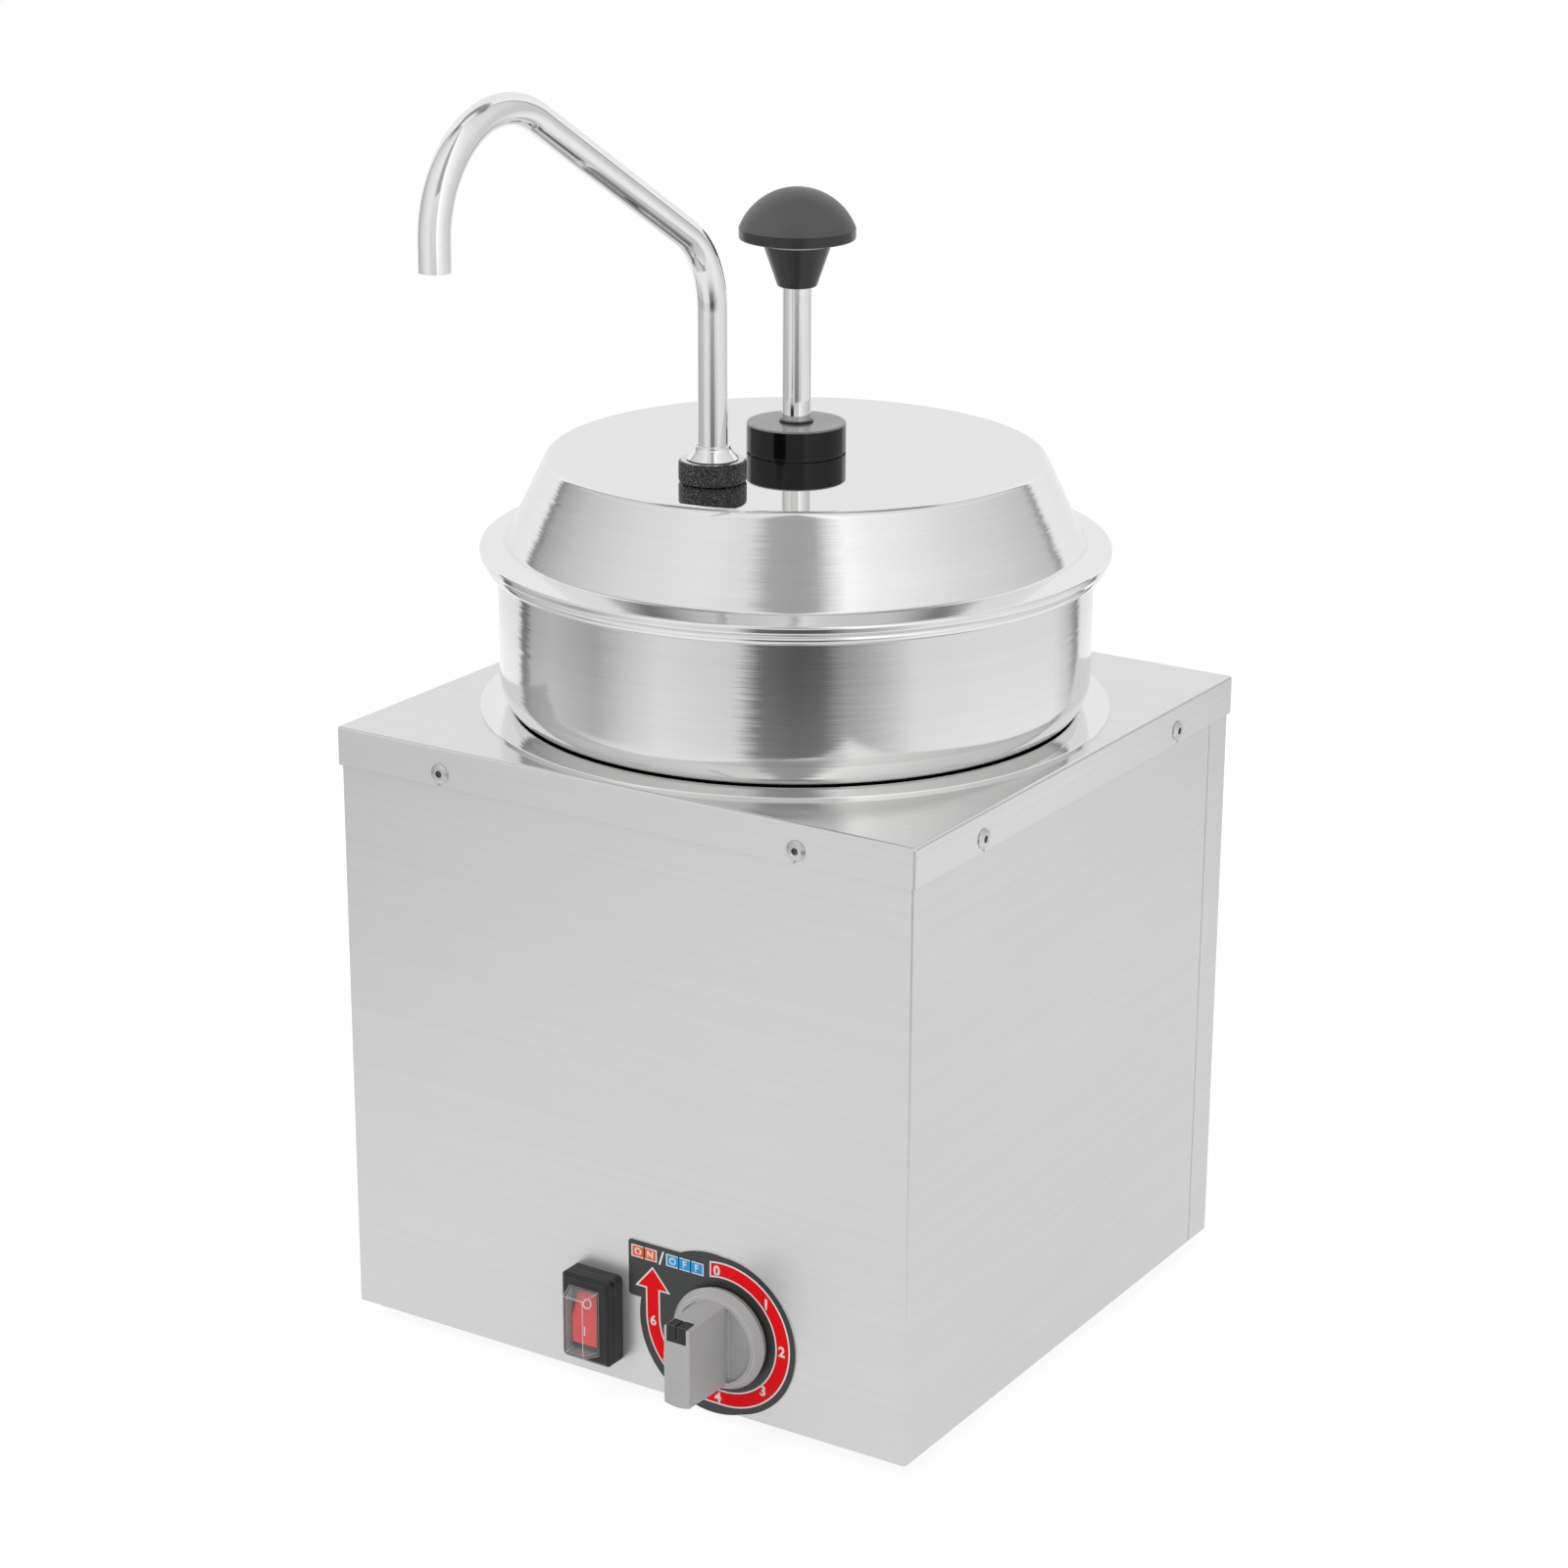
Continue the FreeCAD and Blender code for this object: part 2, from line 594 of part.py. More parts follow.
def sphere(radius, base):
    thing = document.addObject("Part::Sphere", "Sphere")
    thing.setExpression("Radius", words_of(radius))
    place(thing, base)
    return thing


def hexagon(radius, length, base, axis="Z"):
    thing = document.addObject("Part::Prism", "Hexagon")
    thing.Polygon = 6
    thing.setExpression("Circumradius", words_of(radius))
    thing.setExpression("Height", words_of(length))
    place(thing, base, AXES[axis])
    return thing


def block(low, high):
    thing = document.addObject("Part::Box", "Block")
    for side, start, end in zip(("Length", "Width", "Height"), low, high):
        thing.setExpression(side, (end - start).words if isinstance(end, Length) else words_of(-start + end))
    place(thing, low)
    return thing


def fuse(parts):
    thing = document.addObject("Part::MultiFuse", "Fuse")
    thing.Shapes = parts
    thing.Refine = True
    return thing


def cut(base, tools):
    thing = document.addObject("Part::Cut", "Cut")
    thing.Base = base
    thing.Tool = tools[0] if len(tools) == 1 else fuse(tools)
    thing.Refine = True
    return thing


def rounded(thing, radius, wanted):
    document.recompute()
    feature = document.addObject("Part::Fillet", "Rounded")
    feature.Base = thing
    feature.Edges = [(index + 1, radius.number, radius.number)
                     for index, edge in enumerate(thing.Shape.Edges) if wanted(edge)]
    return feature


def common(first, second):
    thing = document.addObject("Part::Common", "Common")
    thing.Base = first
    thing.Tool = second
    return thing


def several(label, pattern, places):
    """Separate copies of one solid, at placements read from the sizes."""
    document.recompute()
    copies = []
    for spot in places:
        copy = pattern.Shape.copy()
        copy.Placement = spot.multiply(copy.Placement)
        copies.append(copy)
    thing = document.addObject("Part::Feature", label)
    thing.Shape = Part.makeCompound(copies)
    return node(label, thing)


def spot(x, y, z, turn=Rotation()):
    return Placement(Vector(number_of(x), number_of(y), number_of(z)), turn)


def bent_path(points, radii):
    """Straight runs joined by arcs that touch both of their runs."""
    edges = []
    start = points[0]
    for index in range(1, len(points) - 1):
        corner = points[index]
        back = (points[index - 1] - corner).normalize()
        ahead = (points[index + 1] - corner).normalize()
        turn = math.pi - back.getAngle(ahead)
        reach = radii[index - 1] * math.tan(turn / 2)
        first = corner + back * reach
        last = corner + ahead * reach
        inward = (back + ahead).normalize()
        centre = corner + inward * (radii[index - 1] / math.cos(turn / 2))
        middle = centre - inward * radii[index - 1]
        if first.distanceToPoint(start) > TOUCH:
            edges.append(Part.LineSegment(start, first).toShape())
        edges.append(Part.Arc(first, middle, last).toShape())
        start = last
    edges.append(Part.LineSegment(start, points[-1]).toShape())
    return Part.Wire(edges)


def sweep(path, radius, direction):
    start = path.Edges[0].valueAt(path.Edges[0].FirstParameter)
    profile = Part.Wire(Part.makeCircle(radius, start, direction))
    solid = path.makePipeShell([profile], True, False)
    expected = math.pi * radius ** 2 * path.Length
    print("swept volume over section times length: %.4f" % (solid.Volume / expected))
    return solid


def shaped(label, shape):
    thing = document.addObject("Part::Feature", label)
    thing.Shape = shape
    return node(label, thing)


# Levels and planes that the pieces share

TOUCH = (size.seam_gap / 100).number
wall_x = size.cover_width / 2 - size.sheet - size.cover_gap
wall_y = size.cover_depth / 2 - size.sheet - size.cover_gap
inner_x = wall_x - size.sheet
inner_y = wall_y - size.sheet
body_low = size.foot_height
tray_top = body_low + size.tray_sheet
cover_top = body_low + size.housing_height
cover_under = cover_top - size.sheet
skirt_low = cover_top - size.skirt_height
rivet_z = cover_top - size.rivet_drop
wall_height = cover_under - body_low
seam_y = wall_y - size.return_depth
wall_end = seam_y - size.seam_gap
well_radius = smaller(size.cover_width, size.cover_depth) / 2 - size.well_margin
well_flange_radius = well_radius + size.well_flange
well_top = cover_top + size.well_flange_rise
well_floor = well_top - size.well_depth
well_under = well_floor - size.well_sheet
well_outer = well_radius + size.well_sheet
pot_low_radius = well_radius - size.pot_room
pot_radius = pot_low_radius + size.pot_step
pot_bead_radius = pot_radius + size.pot_bead
pot_rim = cover_top + size.pot_rise
pot_low = well_floor + size.water_depth
pot_floor = pot_low + size.pot_sheet
lid_rim_radius = pot_bead_radius + size.lid_overhang
lid_cone_radius = lid_rim_radius - size.lid_ledge
lid_top_radius = lid_cone_radius - size.lid_lean
lid_low = pot_rim + size.lid_gap
lid_top = lid_low + size.lid_height
lid_under = lid_top - size.lid_sheet
dial_z = body_low + size.dial_rise
switch_z = body_low + size.switch_rise
panel_y = -wall_y
plate_y = panel_y - size.plate_sheet
switch_x = -size.switch_x
rivet_hole = size.rivet_radius + size.hole_gap
rear_screw_x = inner_x - size.rear_screw_inset
rear_screw_high = cover_top - size.rear_screw_drop
flange_mid = size.flange_width / 2
spout_y = -size.spout_place
wiring_x = size.wiring_inset - inner_x
block_y = inner_y - size.block_inset


# Housing sheet metal

tray_x = inner_x - size.fit_gap
tray_y = inner_y - size.fit_gap
tray = new_body("base_tray")
pad(tray, outline(tray, XY, rectangle((-tray_x, -tray_y), (tray_x, tray_y)), body_low), size.tray_sheet)
foot_hole = size.foot_screw_radius + size.hole_gap
corner_signs = [(side, end) for side in (-1, 1) for end in (-1, 1)]
tray_feet = [((inner_x - size.foot_inset) * side, (inner_y - size.foot_inset) * end)
             for side, end in corner_signs]
tray_cut = size.tray_sheet + size.overrun
pocket(tray, circles(tray, XY, tray_feet, foot_hole, body_low), tray_cut, reverse=True)
tray_screws = [(size.tray_screw_x * side, (inner_y - flange_mid) * end) for side, end in corner_signs]
tray_screws += [((inner_x - flange_mid) * side, size.tray_screw_y * end) for side, end in corner_signs]
screw_hole = size.tray_screw_radius + size.hole_gap
pocket(tray, circles(tray, XY, tray_screws, screw_hole, body_low), tray_cut, reverse=True)
slots = new_sketch(tray, XY, body_low)
for step in (-2, -1, 0, 1, 2):
    middle = size.tray_slot_pitch * step
    add_loop(slots, rectangle((-size.tray_slot_length / 2, middle - size.tray_slot_width / 2),
                              (size.tray_slot_length / 2, middle + size.tray_slot_width / 2)))
pocket(tray, slots, tray_cut, reverse=True)
node("base_tray", tray)


def channel(back, front_x, sheet, open_end):
    """A U outline: its closed side at one y, its two legs ending at another."""
    sign = 1 if number_of(open_end) > number_of(back) else -1
    inside_x = front_x - sheet
    inside_y = back + sheet * sign
    return [(-front_x, open_end), (-front_x, back), (front_x, back), (front_x, open_end),
            (inside_x, open_end), (inside_x, inside_y), (-inside_x, inside_y), (-inside_x, open_end)]


wrap = new_body("body_wrap")
pad(wrap, outline(wrap, XY, channel(panel_y, wall_x, size.sheet, wall_end), body_low), wall_height)
front_corners = [(-wall_x, panel_y), (wall_x, panel_y)]
round_edges(wrap, size.bend_radius, upright_at(front_corners))
round_edges(wrap, size.bend_radius - size.sheet, upright_at([(-inner_x, -inner_y), (inner_x, -inner_y)]))
pad(wrap, outline(wrap, XY, channel(-inner_y, inner_x, size.flange_width, wall_end), tray_top), size.sheet)
wrap_holes = [place_of for place_of in tray_screws if number_of(place_of[1]) < wall_end.number]
pocket(wrap, circles(wrap, XY, wrap_holes, screw_hole, tray_top), size.sheet + size.overrun, reverse=True)
front_cut = size.sheet + size.overrun
rivet_front = [(-size.rivet_x, rivet_z), (size.rivet_x, rivet_z)]
rivet_side = [(-size.rivet_y, rivet_z), (size.rivet_y, rivet_z)]
pocket(wrap, circles(wrap, XZ, rivet_front, rivet_hole, inner_y), front_cut, reverse=True)
pocket(wrap, circles(wrap, YZ, rivet_side, rivet_hole), size.cover_width, symmetric=True)
pocket(wrap, circles(wrap, XZ, [(size.dial_x, dial_z)], size.shaft_hole, inner_y), front_cut, reverse=True)
thermostat_places = [(size.dial_x + size.thermostat_pitch / 2 * side, dial_z) for side in (-1, 1)]
thermostat_hole = size.thermostat_screw + size.hole_gap
pocket(wrap, circles(wrap, XZ, thermostat_places, thermostat_hole, inner_y), front_cut, reverse=True)
cut_half_width = size.bezel_neck_width / 2 + size.fit_gap
cut_half_height = size.bezel_neck_height / 2 + size.fit_gap
switch_cut = rectangle((switch_x - cut_half_width, switch_z - cut_half_height),
                       (switch_x + cut_half_width, switch_z + cut_half_height))
pocket(wrap, outline(wrap, XZ, switch_cut, inner_y), front_cut, reverse=True)
node("body_wrap", wrap)

rear = new_body("rear_panel")
pad(rear, outline(rear, XY, channel(wall_y, wall_x, size.sheet, seam_y), body_low), wall_height)
round_edges(rear, size.bend_radius, upright_at([(-wall_x, wall_y), (wall_x, wall_y)]))
round_edges(rear, size.bend_radius - size.sheet, upright_at([(-inner_x, inner_y), (inner_x, inner_y)]))
pad(rear, outline(rear, XY, channel(inner_y, inner_x, size.flange_width, seam_y), tray_top), size.sheet)
rear_holes = [place_of for place_of in tray_screws if number_of(place_of[1]) > wall_end.number]
pocket(rear, circles(rear, XY, rear_holes, screw_hole, tray_top), size.sheet + size.overrun, reverse=True)
pocket(rear, circles(rear, XZ, rivet_front, rivet_hole, -inner_y), front_cut)
rear_screw_places = [(rear_screw_x * side, level) for side in (-1, 1)
                     for level in (size.rear_screw_low, rear_screw_high)]
rear_screw_hole = size.rear_screw_radius + size.hole_gap
pocket(rear, circles(rear, XZ, rear_screw_places, rear_screw_hole, -inner_y), front_cut)
gland_place = (wiring_x, size.gland_rise)
gland_hole = size.gland_thread + size.hole_gap
pocket(rear, circles(rear, XZ, [gland_place], gland_hole, -inner_y), front_cut)
vents = new_sketch(rear, XZ, -inner_y)
for step in range(-4, 5):
    middle = size.vent_pitch * step
    add_loop(vents, rectangle((middle - size.vent_width / 2, size.vent_low),
                              (middle + size.vent_width / 2, size.vent_low + size.vent_height)))
pocket(rear, vents, front_cut)
node("rear_panel", rear)


def mirror_pair(label, pattern):
    """A piece and its mirror image on the other side of the housing."""
    document.recompute()
    twin = pattern.Shape.mirror(Vector(0, 0, 0), Vector(1, 0, 0))
    return shaped(label, Part.makeCompound([pattern.Shape.copy(), twin]))


strip = new_body("corner_strip_pattern")
strip_start = inner_y - size.strip_side_leg
strip_end = inner_x - size.strip_rear_leg
strip_low = body_low + size.strip_margin
strip_height = wall_height - size.strip_margin * 2
strip_x = inner_x - size.strip_sheet
strip_y = inner_y - size.strip_sheet
strip_points = [(inner_x, strip_start), (inner_x, inner_y), (strip_end, inner_y),
                (strip_end, strip_y), (strip_x, strip_y), (strip_x, strip_start)]
pad(strip, outline(strip, XY, strip_points, strip_low), strip_height)
round_edges(strip, size.bend_radius, upright_at([(inner_x, inner_y)]))
strip_holes = [place_of for place_of in rear_screw_places if number_of(place_of[0]) > 0]
strip_cut = size.strip_sheet + size.overrun
strip_back = inner_y - strip_cut
pocket(strip, circles(strip, XZ, strip_holes, rear_screw_hole, -strip_back), strip_cut + size.overrun)
mirror_pair("corner_strips", strip)

cover = new_body("top_cover")
half_width = size.cover_width / 2
half_depth = size.cover_depth / 2
cover_points = rectangle((-half_width, -half_depth), (half_width, half_depth))
pad(cover, outline(cover, XY, cover_points, skirt_low), size.skirt_height)
inside_points = rectangle((size.sheet - half_width, size.sheet - half_depth),
                          (half_width - size.sheet, half_depth - size.sheet))
pocket(cover, outline(cover, XY, inside_points, skirt_low), size.skirt_height - size.sheet, reverse=True)
round_edges(cover, size.bend_radius, upright_at(cover_points))
round_edges(cover, size.bend_radius - size.sheet, upright_at(inside_points))
round_edges(cover, size.bend_radius, level_at(cover_top))
cover_hole = well_outer + size.lip_bend + size.cover_hole_gap
pocket(cover, circles(cover, XY, [(0, 0)], cover_hole, cover_under), size.sheet + size.overrun, reverse=True)
pocket(cover, circles(cover, XZ, rivet_front, rivet_hole), size.cover_depth + size.overrun, symmetric=True)
pocket(cover, circles(cover, YZ, rivet_side, rivet_hole), size.cover_width + size.overrun, symmetric=True)
front_notches = [(place_of[0], skirt_low) for place_of in rivet_front]
side_notches = [(place_of[0], skirt_low) for place_of in rivet_side]
pocket(cover, circles(cover, XZ, front_notches, size.notch_radius), size.cover_depth + size.overrun,
       symmetric=True)
pocket(cover, circles(cover, YZ, side_notches, size.notch_radius), size.cover_width + size.overrun,
       symmetric=True)
node("top_cover", cover)


# Fasteners

HEAD_ROUND_SHARE = 0.5
RECESS_SPAN_SHARE = 0.62
RECESS_WIDTH_SHARE = 0.13
RECESS_DEPTH_SHARE = 0.55
TO_FRONT = Rotation(Vector(1, 0, 0), 90)
TO_REAR = Rotation(Vector(1, 0, 0), -90)
TO_RIGHT = Rotation(Vector(0, 1, 0), 90)
TO_LEFT = Rotation(Vector(0, 1, 0), -90)
DOWNWARD = Rotation(Vector(1, 0, 0), 180)
UPWARD = Rotation()


def screw(name, radius, length, head, cap):
    """A pan head screw with a cross recess, its head on the XY plane and its shank below."""
    body = new_body(name)
    revolve(body, outline(body, XZ, [
        (0, -length), (radius, -length), (radius, 0), (head, 0), (head, cap), (0, cap)]))
    round_edges(body, cap * HEAD_ROUND_SHARE, ring_at(head, cap))
    reach = head * RECESS_SPAN_SHARE
    half = head * RECESS_WIDTH_SHARE
    cross = [(half, reach), (-half, reach), (-half, half), (-reach, half), (-reach, -half), (-half, -half),
             (-half, -reach), (half, -reach), (half, -half), (reach, -half), (reach, half), (half, half)]
    pocket(body, outline(body, XY, cross, cap), cap * RECESS_DEPTH_SHARE)
    return body


rivet = new_body("rivet_pattern")
grip = size.sheet * 2 + size.cover_gap
tail_end = grip + size.rivet_tail_length
bore_floor = size.rivet_cap - size.rivet_bore_depth
revolve(rivet, outline(rivet, XZ, [
    (0, bore_floor), (size.rivet_bore, bore_floor), (size.rivet_bore, size.rivet_cap),
    (size.rivet_flat, size.rivet_cap), (size.rivet_head, size.rivet_edge), (size.rivet_head, 0),
    (size.rivet_radius, 0), (size.rivet_radius, -grip), (size.rivet_tail, -grip),
    (size.rivet_tail, size.rivet_edge - tail_end), (size.rivet_bore, -tail_end), (0, -tail_end)]))
rivet_places = []
for side in (-1, 1):
    rivet_places.append(spot(size.rivet_x * side, -half_depth, rivet_z, TO_FRONT))
    rivet_places.append(spot(size.rivet_x * side, half_depth, rivet_z, TO_REAR))
    rivet_places.append(spot(half_width, size.rivet_y * side, rivet_z, TO_RIGHT))
    rivet_places.append(spot(-half_width, size.rivet_y * side, rivet_z, TO_LEFT))
several("cover_rivets", rivet, rivet_places)

rear_screw = screw("rear_screw_pattern", size.rear_screw_radius, size.rear_screw_length,
                   size.rear_screw_head, size.rear_screw_cap)
several("rear_screws", rear_screw, [spot(x, wall_y, z, TO_REAR) for x, z in rear_screw_places])
tray_screw = screw("tray_screw_pattern", size.tray_screw_radius, size.tray_screw_length,
                   size.tray_screw_head, size.tray_screw_cap)
several("tray_screws", tray_screw, [spot(x, y, body_low, DOWNWARD) for x, y in tray_screws])

foot = new_body("foot_pattern")
foot_pit = size.foot_screw_head + size.seam_gap
revolve(foot, outline(foot, XZ, [
    (foot_hole, size.foot_recess), (foot_pit, size.foot_recess), (foot_pit, 0), (size.foot_toe, 0),
    (size.foot_radius, size.foot_height), (foot_hole, size.foot_height)]))
round_edges(foot, size.foot_round, ring_at(size.foot_toe, 0))
several("feet", foot, [spot(x, y, 0) for x, y in tray_feet])
foot_screw = screw("foot_screw_pattern", size.foot_screw_radius, size.foot_screw_length,
                   size.foot_screw_head, size.foot_screw_cap)
several("foot_screws", foot_screw, [spot(x, y, size.foot_recess, DOWNWARD) for x, y in tray_feet])


# Water well, its insulation and its heater

turned("water_well", [
    (well_flange_radius, cover_top), (well_flange_radius, well_top), (well_radius, well_top),
    (well_radius, well_floor), (0, well_floor), (0, well_under), (well_outer, well_under),
    (well_outer, well_top - size.well_sheet),
    (well_flange_radius - size.well_sheet, well_top - size.well_sheet),
    (well_flange_radius - size.well_sheet, cover_top)],
    [(size.lip_bend, (well_radius, well_top)),
     (size.lip_bend - size.well_sheet, (well_outer, well_top - size.well_sheet)),
     (size.well_corner, (well_radius, well_floor)),
     (size.well_corner + size.well_sheet, (well_outer, well_under)),
     (size.hem_round, (well_flange_radius, well_top))])

wool_inner = well_outer + size.wool_gap
wool_outer = wool_inner + size.wool_thickness
wool_low = well_under + size.well_corner + size.wool_margin
wool_high = cover_under - size.wool_margin
turned("well_insulation", [(wool_inner, wool_low), (wool_outer, wool_low), (wool_outer, wool_high),
                           (wool_inner, wool_high)])

ring_z = well_under - size.element_gap - size.element_radius
bar_top = ring_z - size.element_radius - size.element_gap


def element_end(angle, sense):
    """Where the ring opens: its end, the end of the bend and the end of the upright."""
    ring = size.element_ring.number
    bend = size.element_bend.number
    outward = Vector(-math.sin(angle), math.cos(angle), 0) * sense
    start = Vector(math.cos(angle), math.sin(angle), 0) * ring + Vector(0, 0, ring_z.number)
    low = start + outward * bend - Vector(0, 0, bend)
    middle = start - Vector(0, 0, bend) + (outward + Vector(0, 0, 1)) * (bend / ROOT_TWO)
    return start, middle, low, low - Vector(0, 0, size.element_drop.number)


opening = math.radians(size.element_open.number)
right_end = element_end(math.pi / 2 - opening, 1)
left_end = element_end(math.pi / 2 + opening, -1)
far_side = Vector(0, -size.element_ring.number, ring_z.number)
element_path = Part.Wire([
    Part.LineSegment(right_end[3], right_end[2]).toShape(),
    Part.Arc(right_end[2], right_end[1], right_end[0]).toShape(),
    Part.Arc(right_end[0], far_side, left_end[0]).toShape(),
    Part.Arc(left_end[0], left_end[1], left_end[2]).toShape(),
    Part.LineSegment(left_end[2], left_end[3]).toShape()])
shaped("heating_element", sweep(element_path, size.element_radius.number, Vector(0, 0, 1)))
element_foot = right_end[3].z
terminal = fuse([cylinder(size.element_radius, size.element_bead, (0, 0, -size.element_bead)),
                 cylinder(size.element_pin, size.element_bead + size.element_pin_length,
                          (0, 0, -size.element_bead - size.element_pin_length))])
several("element_terminals", terminal,
        [spot(end[3].x, end[3].y, element_foot) for end in (right_end, left_end)])

stud_hole = size.stud_radius + size.hole_gap
bar = new_body("element_clamp")
half_bar = size.bar_length / 2
bar_points = rectangle((-half_bar, -size.bar_width / 2), (half_bar, size.bar_width / 2))
pad(bar, outline(bar, XY, bar_points, bar_top), size.bar_sheet, reverse=True)
round_edges(bar, size.bar_sheet, upright_at(bar_points))
pocket(bar, circles(bar, XY, [(0, 0)], stud_hole, bar_top), size.bar_sheet + size.overrun)
node("element_clamp", bar)
node("clamp_stud", cylinder(size.stud_radius, size.stud_length, (0, 0, well_under - size.stud_length)))
nut_low = bar_top - size.bar_sheet - size.stud_nut_height
node("clamp_nut", cut(hexagon(size.stud_nut_radius, size.stud_nut_height, (0, 0, nut_low)),
                      [cylinder(stud_hole, size.stud_nut_height + size.overrun,
                                (0, 0, nut_low - size.overrun / 2))]))

cutout_top = well_under - size.element_gap
blade_z = cutout_top - size.cutout_height
cutout_parts = [cylinder(size.cutout_radius, size.cutout_height, (0, size.cutout_y, blade_z))]
for side in (-1, 1):
    blade_x = size.blade_width * side - size.blade_sheet / 2
    cutout_parts.append(block((blade_x, size.cutout_y - size.blade_width / 2, blade_z - size.blade_length),
                              (blade_x + size.blade_sheet, size.cutout_y + size.blade_width / 2, blade_z)))
node("thermal_cutout", fuse(cutout_parts))

thermostat_front = -inner_y
thermostat_back = thermostat_front + size.thermostat_depth
half_body = size.thermostat_width / 2
half_high = size.thermostat_height / 2
stat = new_body("thermostat_body")
stat_points = rectangle((size.dial_x - half_body, dial_z - half_high),
                        (size.dial_x + half_body, dial_z + half_high))
pad(stat, outline(stat, XZ, stat_points, inner_y), size.thermostat_depth, reverse=True)
round_edges(stat, size.thermostat_round,
            lambda edge: isinstance(edge.Curve, Part.Line)
            and edge.BoundBox.YLength > size.thermostat_depth.number / 2)
shaft_circle = circles(stat, XZ, [(size.dial_x, dial_z)], size.shaft_radius + size.slip_gap, inner_y)
pocket(stat, shaft_circle, size.shaft_root)
pocket(stat, circles(stat, XZ, thermostat_places, thermostat_hole, inner_y), size.thermostat_grip)
node("thermostat_body", stat)

capillary_y = -size.bulb_start - size.capillary_lead
bulb_z = well_under - size.element_gap - size.bulb_radius
route = [Vector(size.dial_x.number, y.number, z.number) for y, z in (
    (thermostat_back, dial_z), (capillary_y, dial_z), (capillary_y, bulb_z), (-size.bulb_start, bulb_z))]
capillary_path = bent_path(route, [size.capillary_bend.number] * 2)
capillary = sweep(capillary_path, size.capillary_radius.number, Vector(0, 1, 0))
bulb_length = size.bulb_start + size.bulb_end
bulb = Part.makeCylinder(size.bulb_radius.number, bulb_length.number, route[-1], Vector(0, 1, 0))
shaped("capillary_bulb", capillary.fuse(bulb).removeSplitter())

# The clip is a saddle, open at the top, that holds the bulb up against the well
clip_half = size.bulb_radius + size.clip_wall
clip_low = bulb_z - clip_half
clip_hollow = size.bulb_radius + size.hole_gap
clip_start = size.clip_y - size.overrun / 2
clip_end = size.clip_y + size.clip_width + size.overrun / 2
node("bulb_clip", cut(block((size.dial_x - clip_half, size.clip_y, clip_low),
                            (size.dial_x + clip_half, size.clip_y + size.clip_width, well_under)),
                      [cylinder(clip_hollow, clip_end - clip_start, (size.dial_x, clip_start, bulb_z), "Y"),
                       block((size.dial_x - clip_hollow, clip_start, bulb_z),
                             (size.dial_x + clip_hollow, clip_end, well_under + size.overrun))]))


# Dial plate, thermostat knob and rocker switch, drawn facing the front: X right, Y up, Z outward

def face_front(thing, x, y, z):
    place(thing, (x, y, z), TO_FRONT)
    document.recompute()
    return thing


plate = new_body("dial_plate")
pad(plate, circles(plate, XY, [(0, 0)], size.plate_radius), size.plate_sheet)
pad(plate, circles(plate, XY, [(-size.plate_lobe_shift, -size.plate_lobe_drop)], size.plate_lobe_radius),
    size.plate_sheet)
pad(plate, outline(plate, XY, rectangle((-size.tab_left, size.tab_low), (-size.tab_right, size.tab_high))),
    size.plate_sheet)
tab_corners = [(-size.tab_left, size.tab_low), (-size.tab_left, size.tab_high)]
round_edges(plate, size.tab_round, upright_at(tab_corners))
plate_cut = size.plate_sheet + size.overrun
pocket(plate, circles(plate, XY, [(0, 0)], size.shaft_hole), plate_cut, reverse=True)
plate_screws = [(size.thermostat_pitch / 2 * side, 0) for side in (-1, 1)]
pocket(plate, circles(plate, XY, plate_screws, thermostat_hole), plate_cut, reverse=True)
node("dial_plate", face_front(plate, size.dial_x, panel_y, dial_z))

stat_screw_length = size.plate_sheet + size.sheet + size.thermostat_grip - size.seam_gap
stat_screw = screw("thermostat_screw_pattern", size.thermostat_screw, stat_screw_length,
                   size.thermostat_head, size.thermostat_cap)
several("thermostat_screws", stat_screw, [spot(x, plate_y, z, TO_FRONT) for x, z in thermostat_places])

half_bar_width = size.grip_width / 2
half_grip = size.grip_length / 2
hub_bore = size.shaft_radius + size.slip_gap
flat_cut = size.shaft_flat + size.slip_gap
grip_base = size.grip_gap
far = size.grip_radius + size.overrun
skirt = fuse([cone(size.grip_radius - size.grip_rim / 2, size.grip_radius, size.grip_skirt - grip_base,
                   (0, 0, grip_base)),
              cone(size.grip_radius, size.grip_face_radius, size.grip_face - size.grip_skirt,
                   (0, 0, size.grip_skirt))])
scoops = cut(cylinder(size.grip_face_radius - size.grip_rim, size.grip_scoop + size.overrun,
                      (0, 0, size.grip_face - size.grip_scoop)),
             [block((-half_bar_width, -far, 0), (half_bar_width, far, size.grip_height))])
bar_blank = common(block((-half_bar_width, -far, grip_base), (half_bar_width, far, size.grip_height)),
                   cone(half_grip, size.grip_front_length / 2, size.grip_height - grip_base,
                        (0, 0, grip_base)))
bar_solid = rounded(bar_blank, size.grip_round,
                    lambda edge: edge.BoundBox.ZMax > size.grip_height.number - TOUCH
                    or edge.BoundBox.ZLength > size.grip_height.number / 2)
hollow_floor = grip_base + size.grip_hollow_depth
hollow = cut(cylinder(size.grip_hollow, size.grip_hollow_depth + size.overrun,
                      (0, 0, hollow_floor - size.grip_hollow_depth - size.overrun)),
             [cylinder(size.grip_hub, size.grip_height, (0, 0, -size.overrun))])
bore = cut(cylinder(hub_bore, size.shaft_reach + size.overrun, (0, 0, -size.overrun)),
           [block((-far, flat_cut, -size.overrun), (far, far, size.grip_height))])
pointer_half = size.pointer_width / 2
pointer_low = size.grip_front_length / 2 - size.pointer_drop
pointer_deep = size.grip_height - size.pointer_back
seat_inner = size.grip_front_length / 2 - size.pointer_thickness
seat_top = size.grip_height - size.pointer_thickness


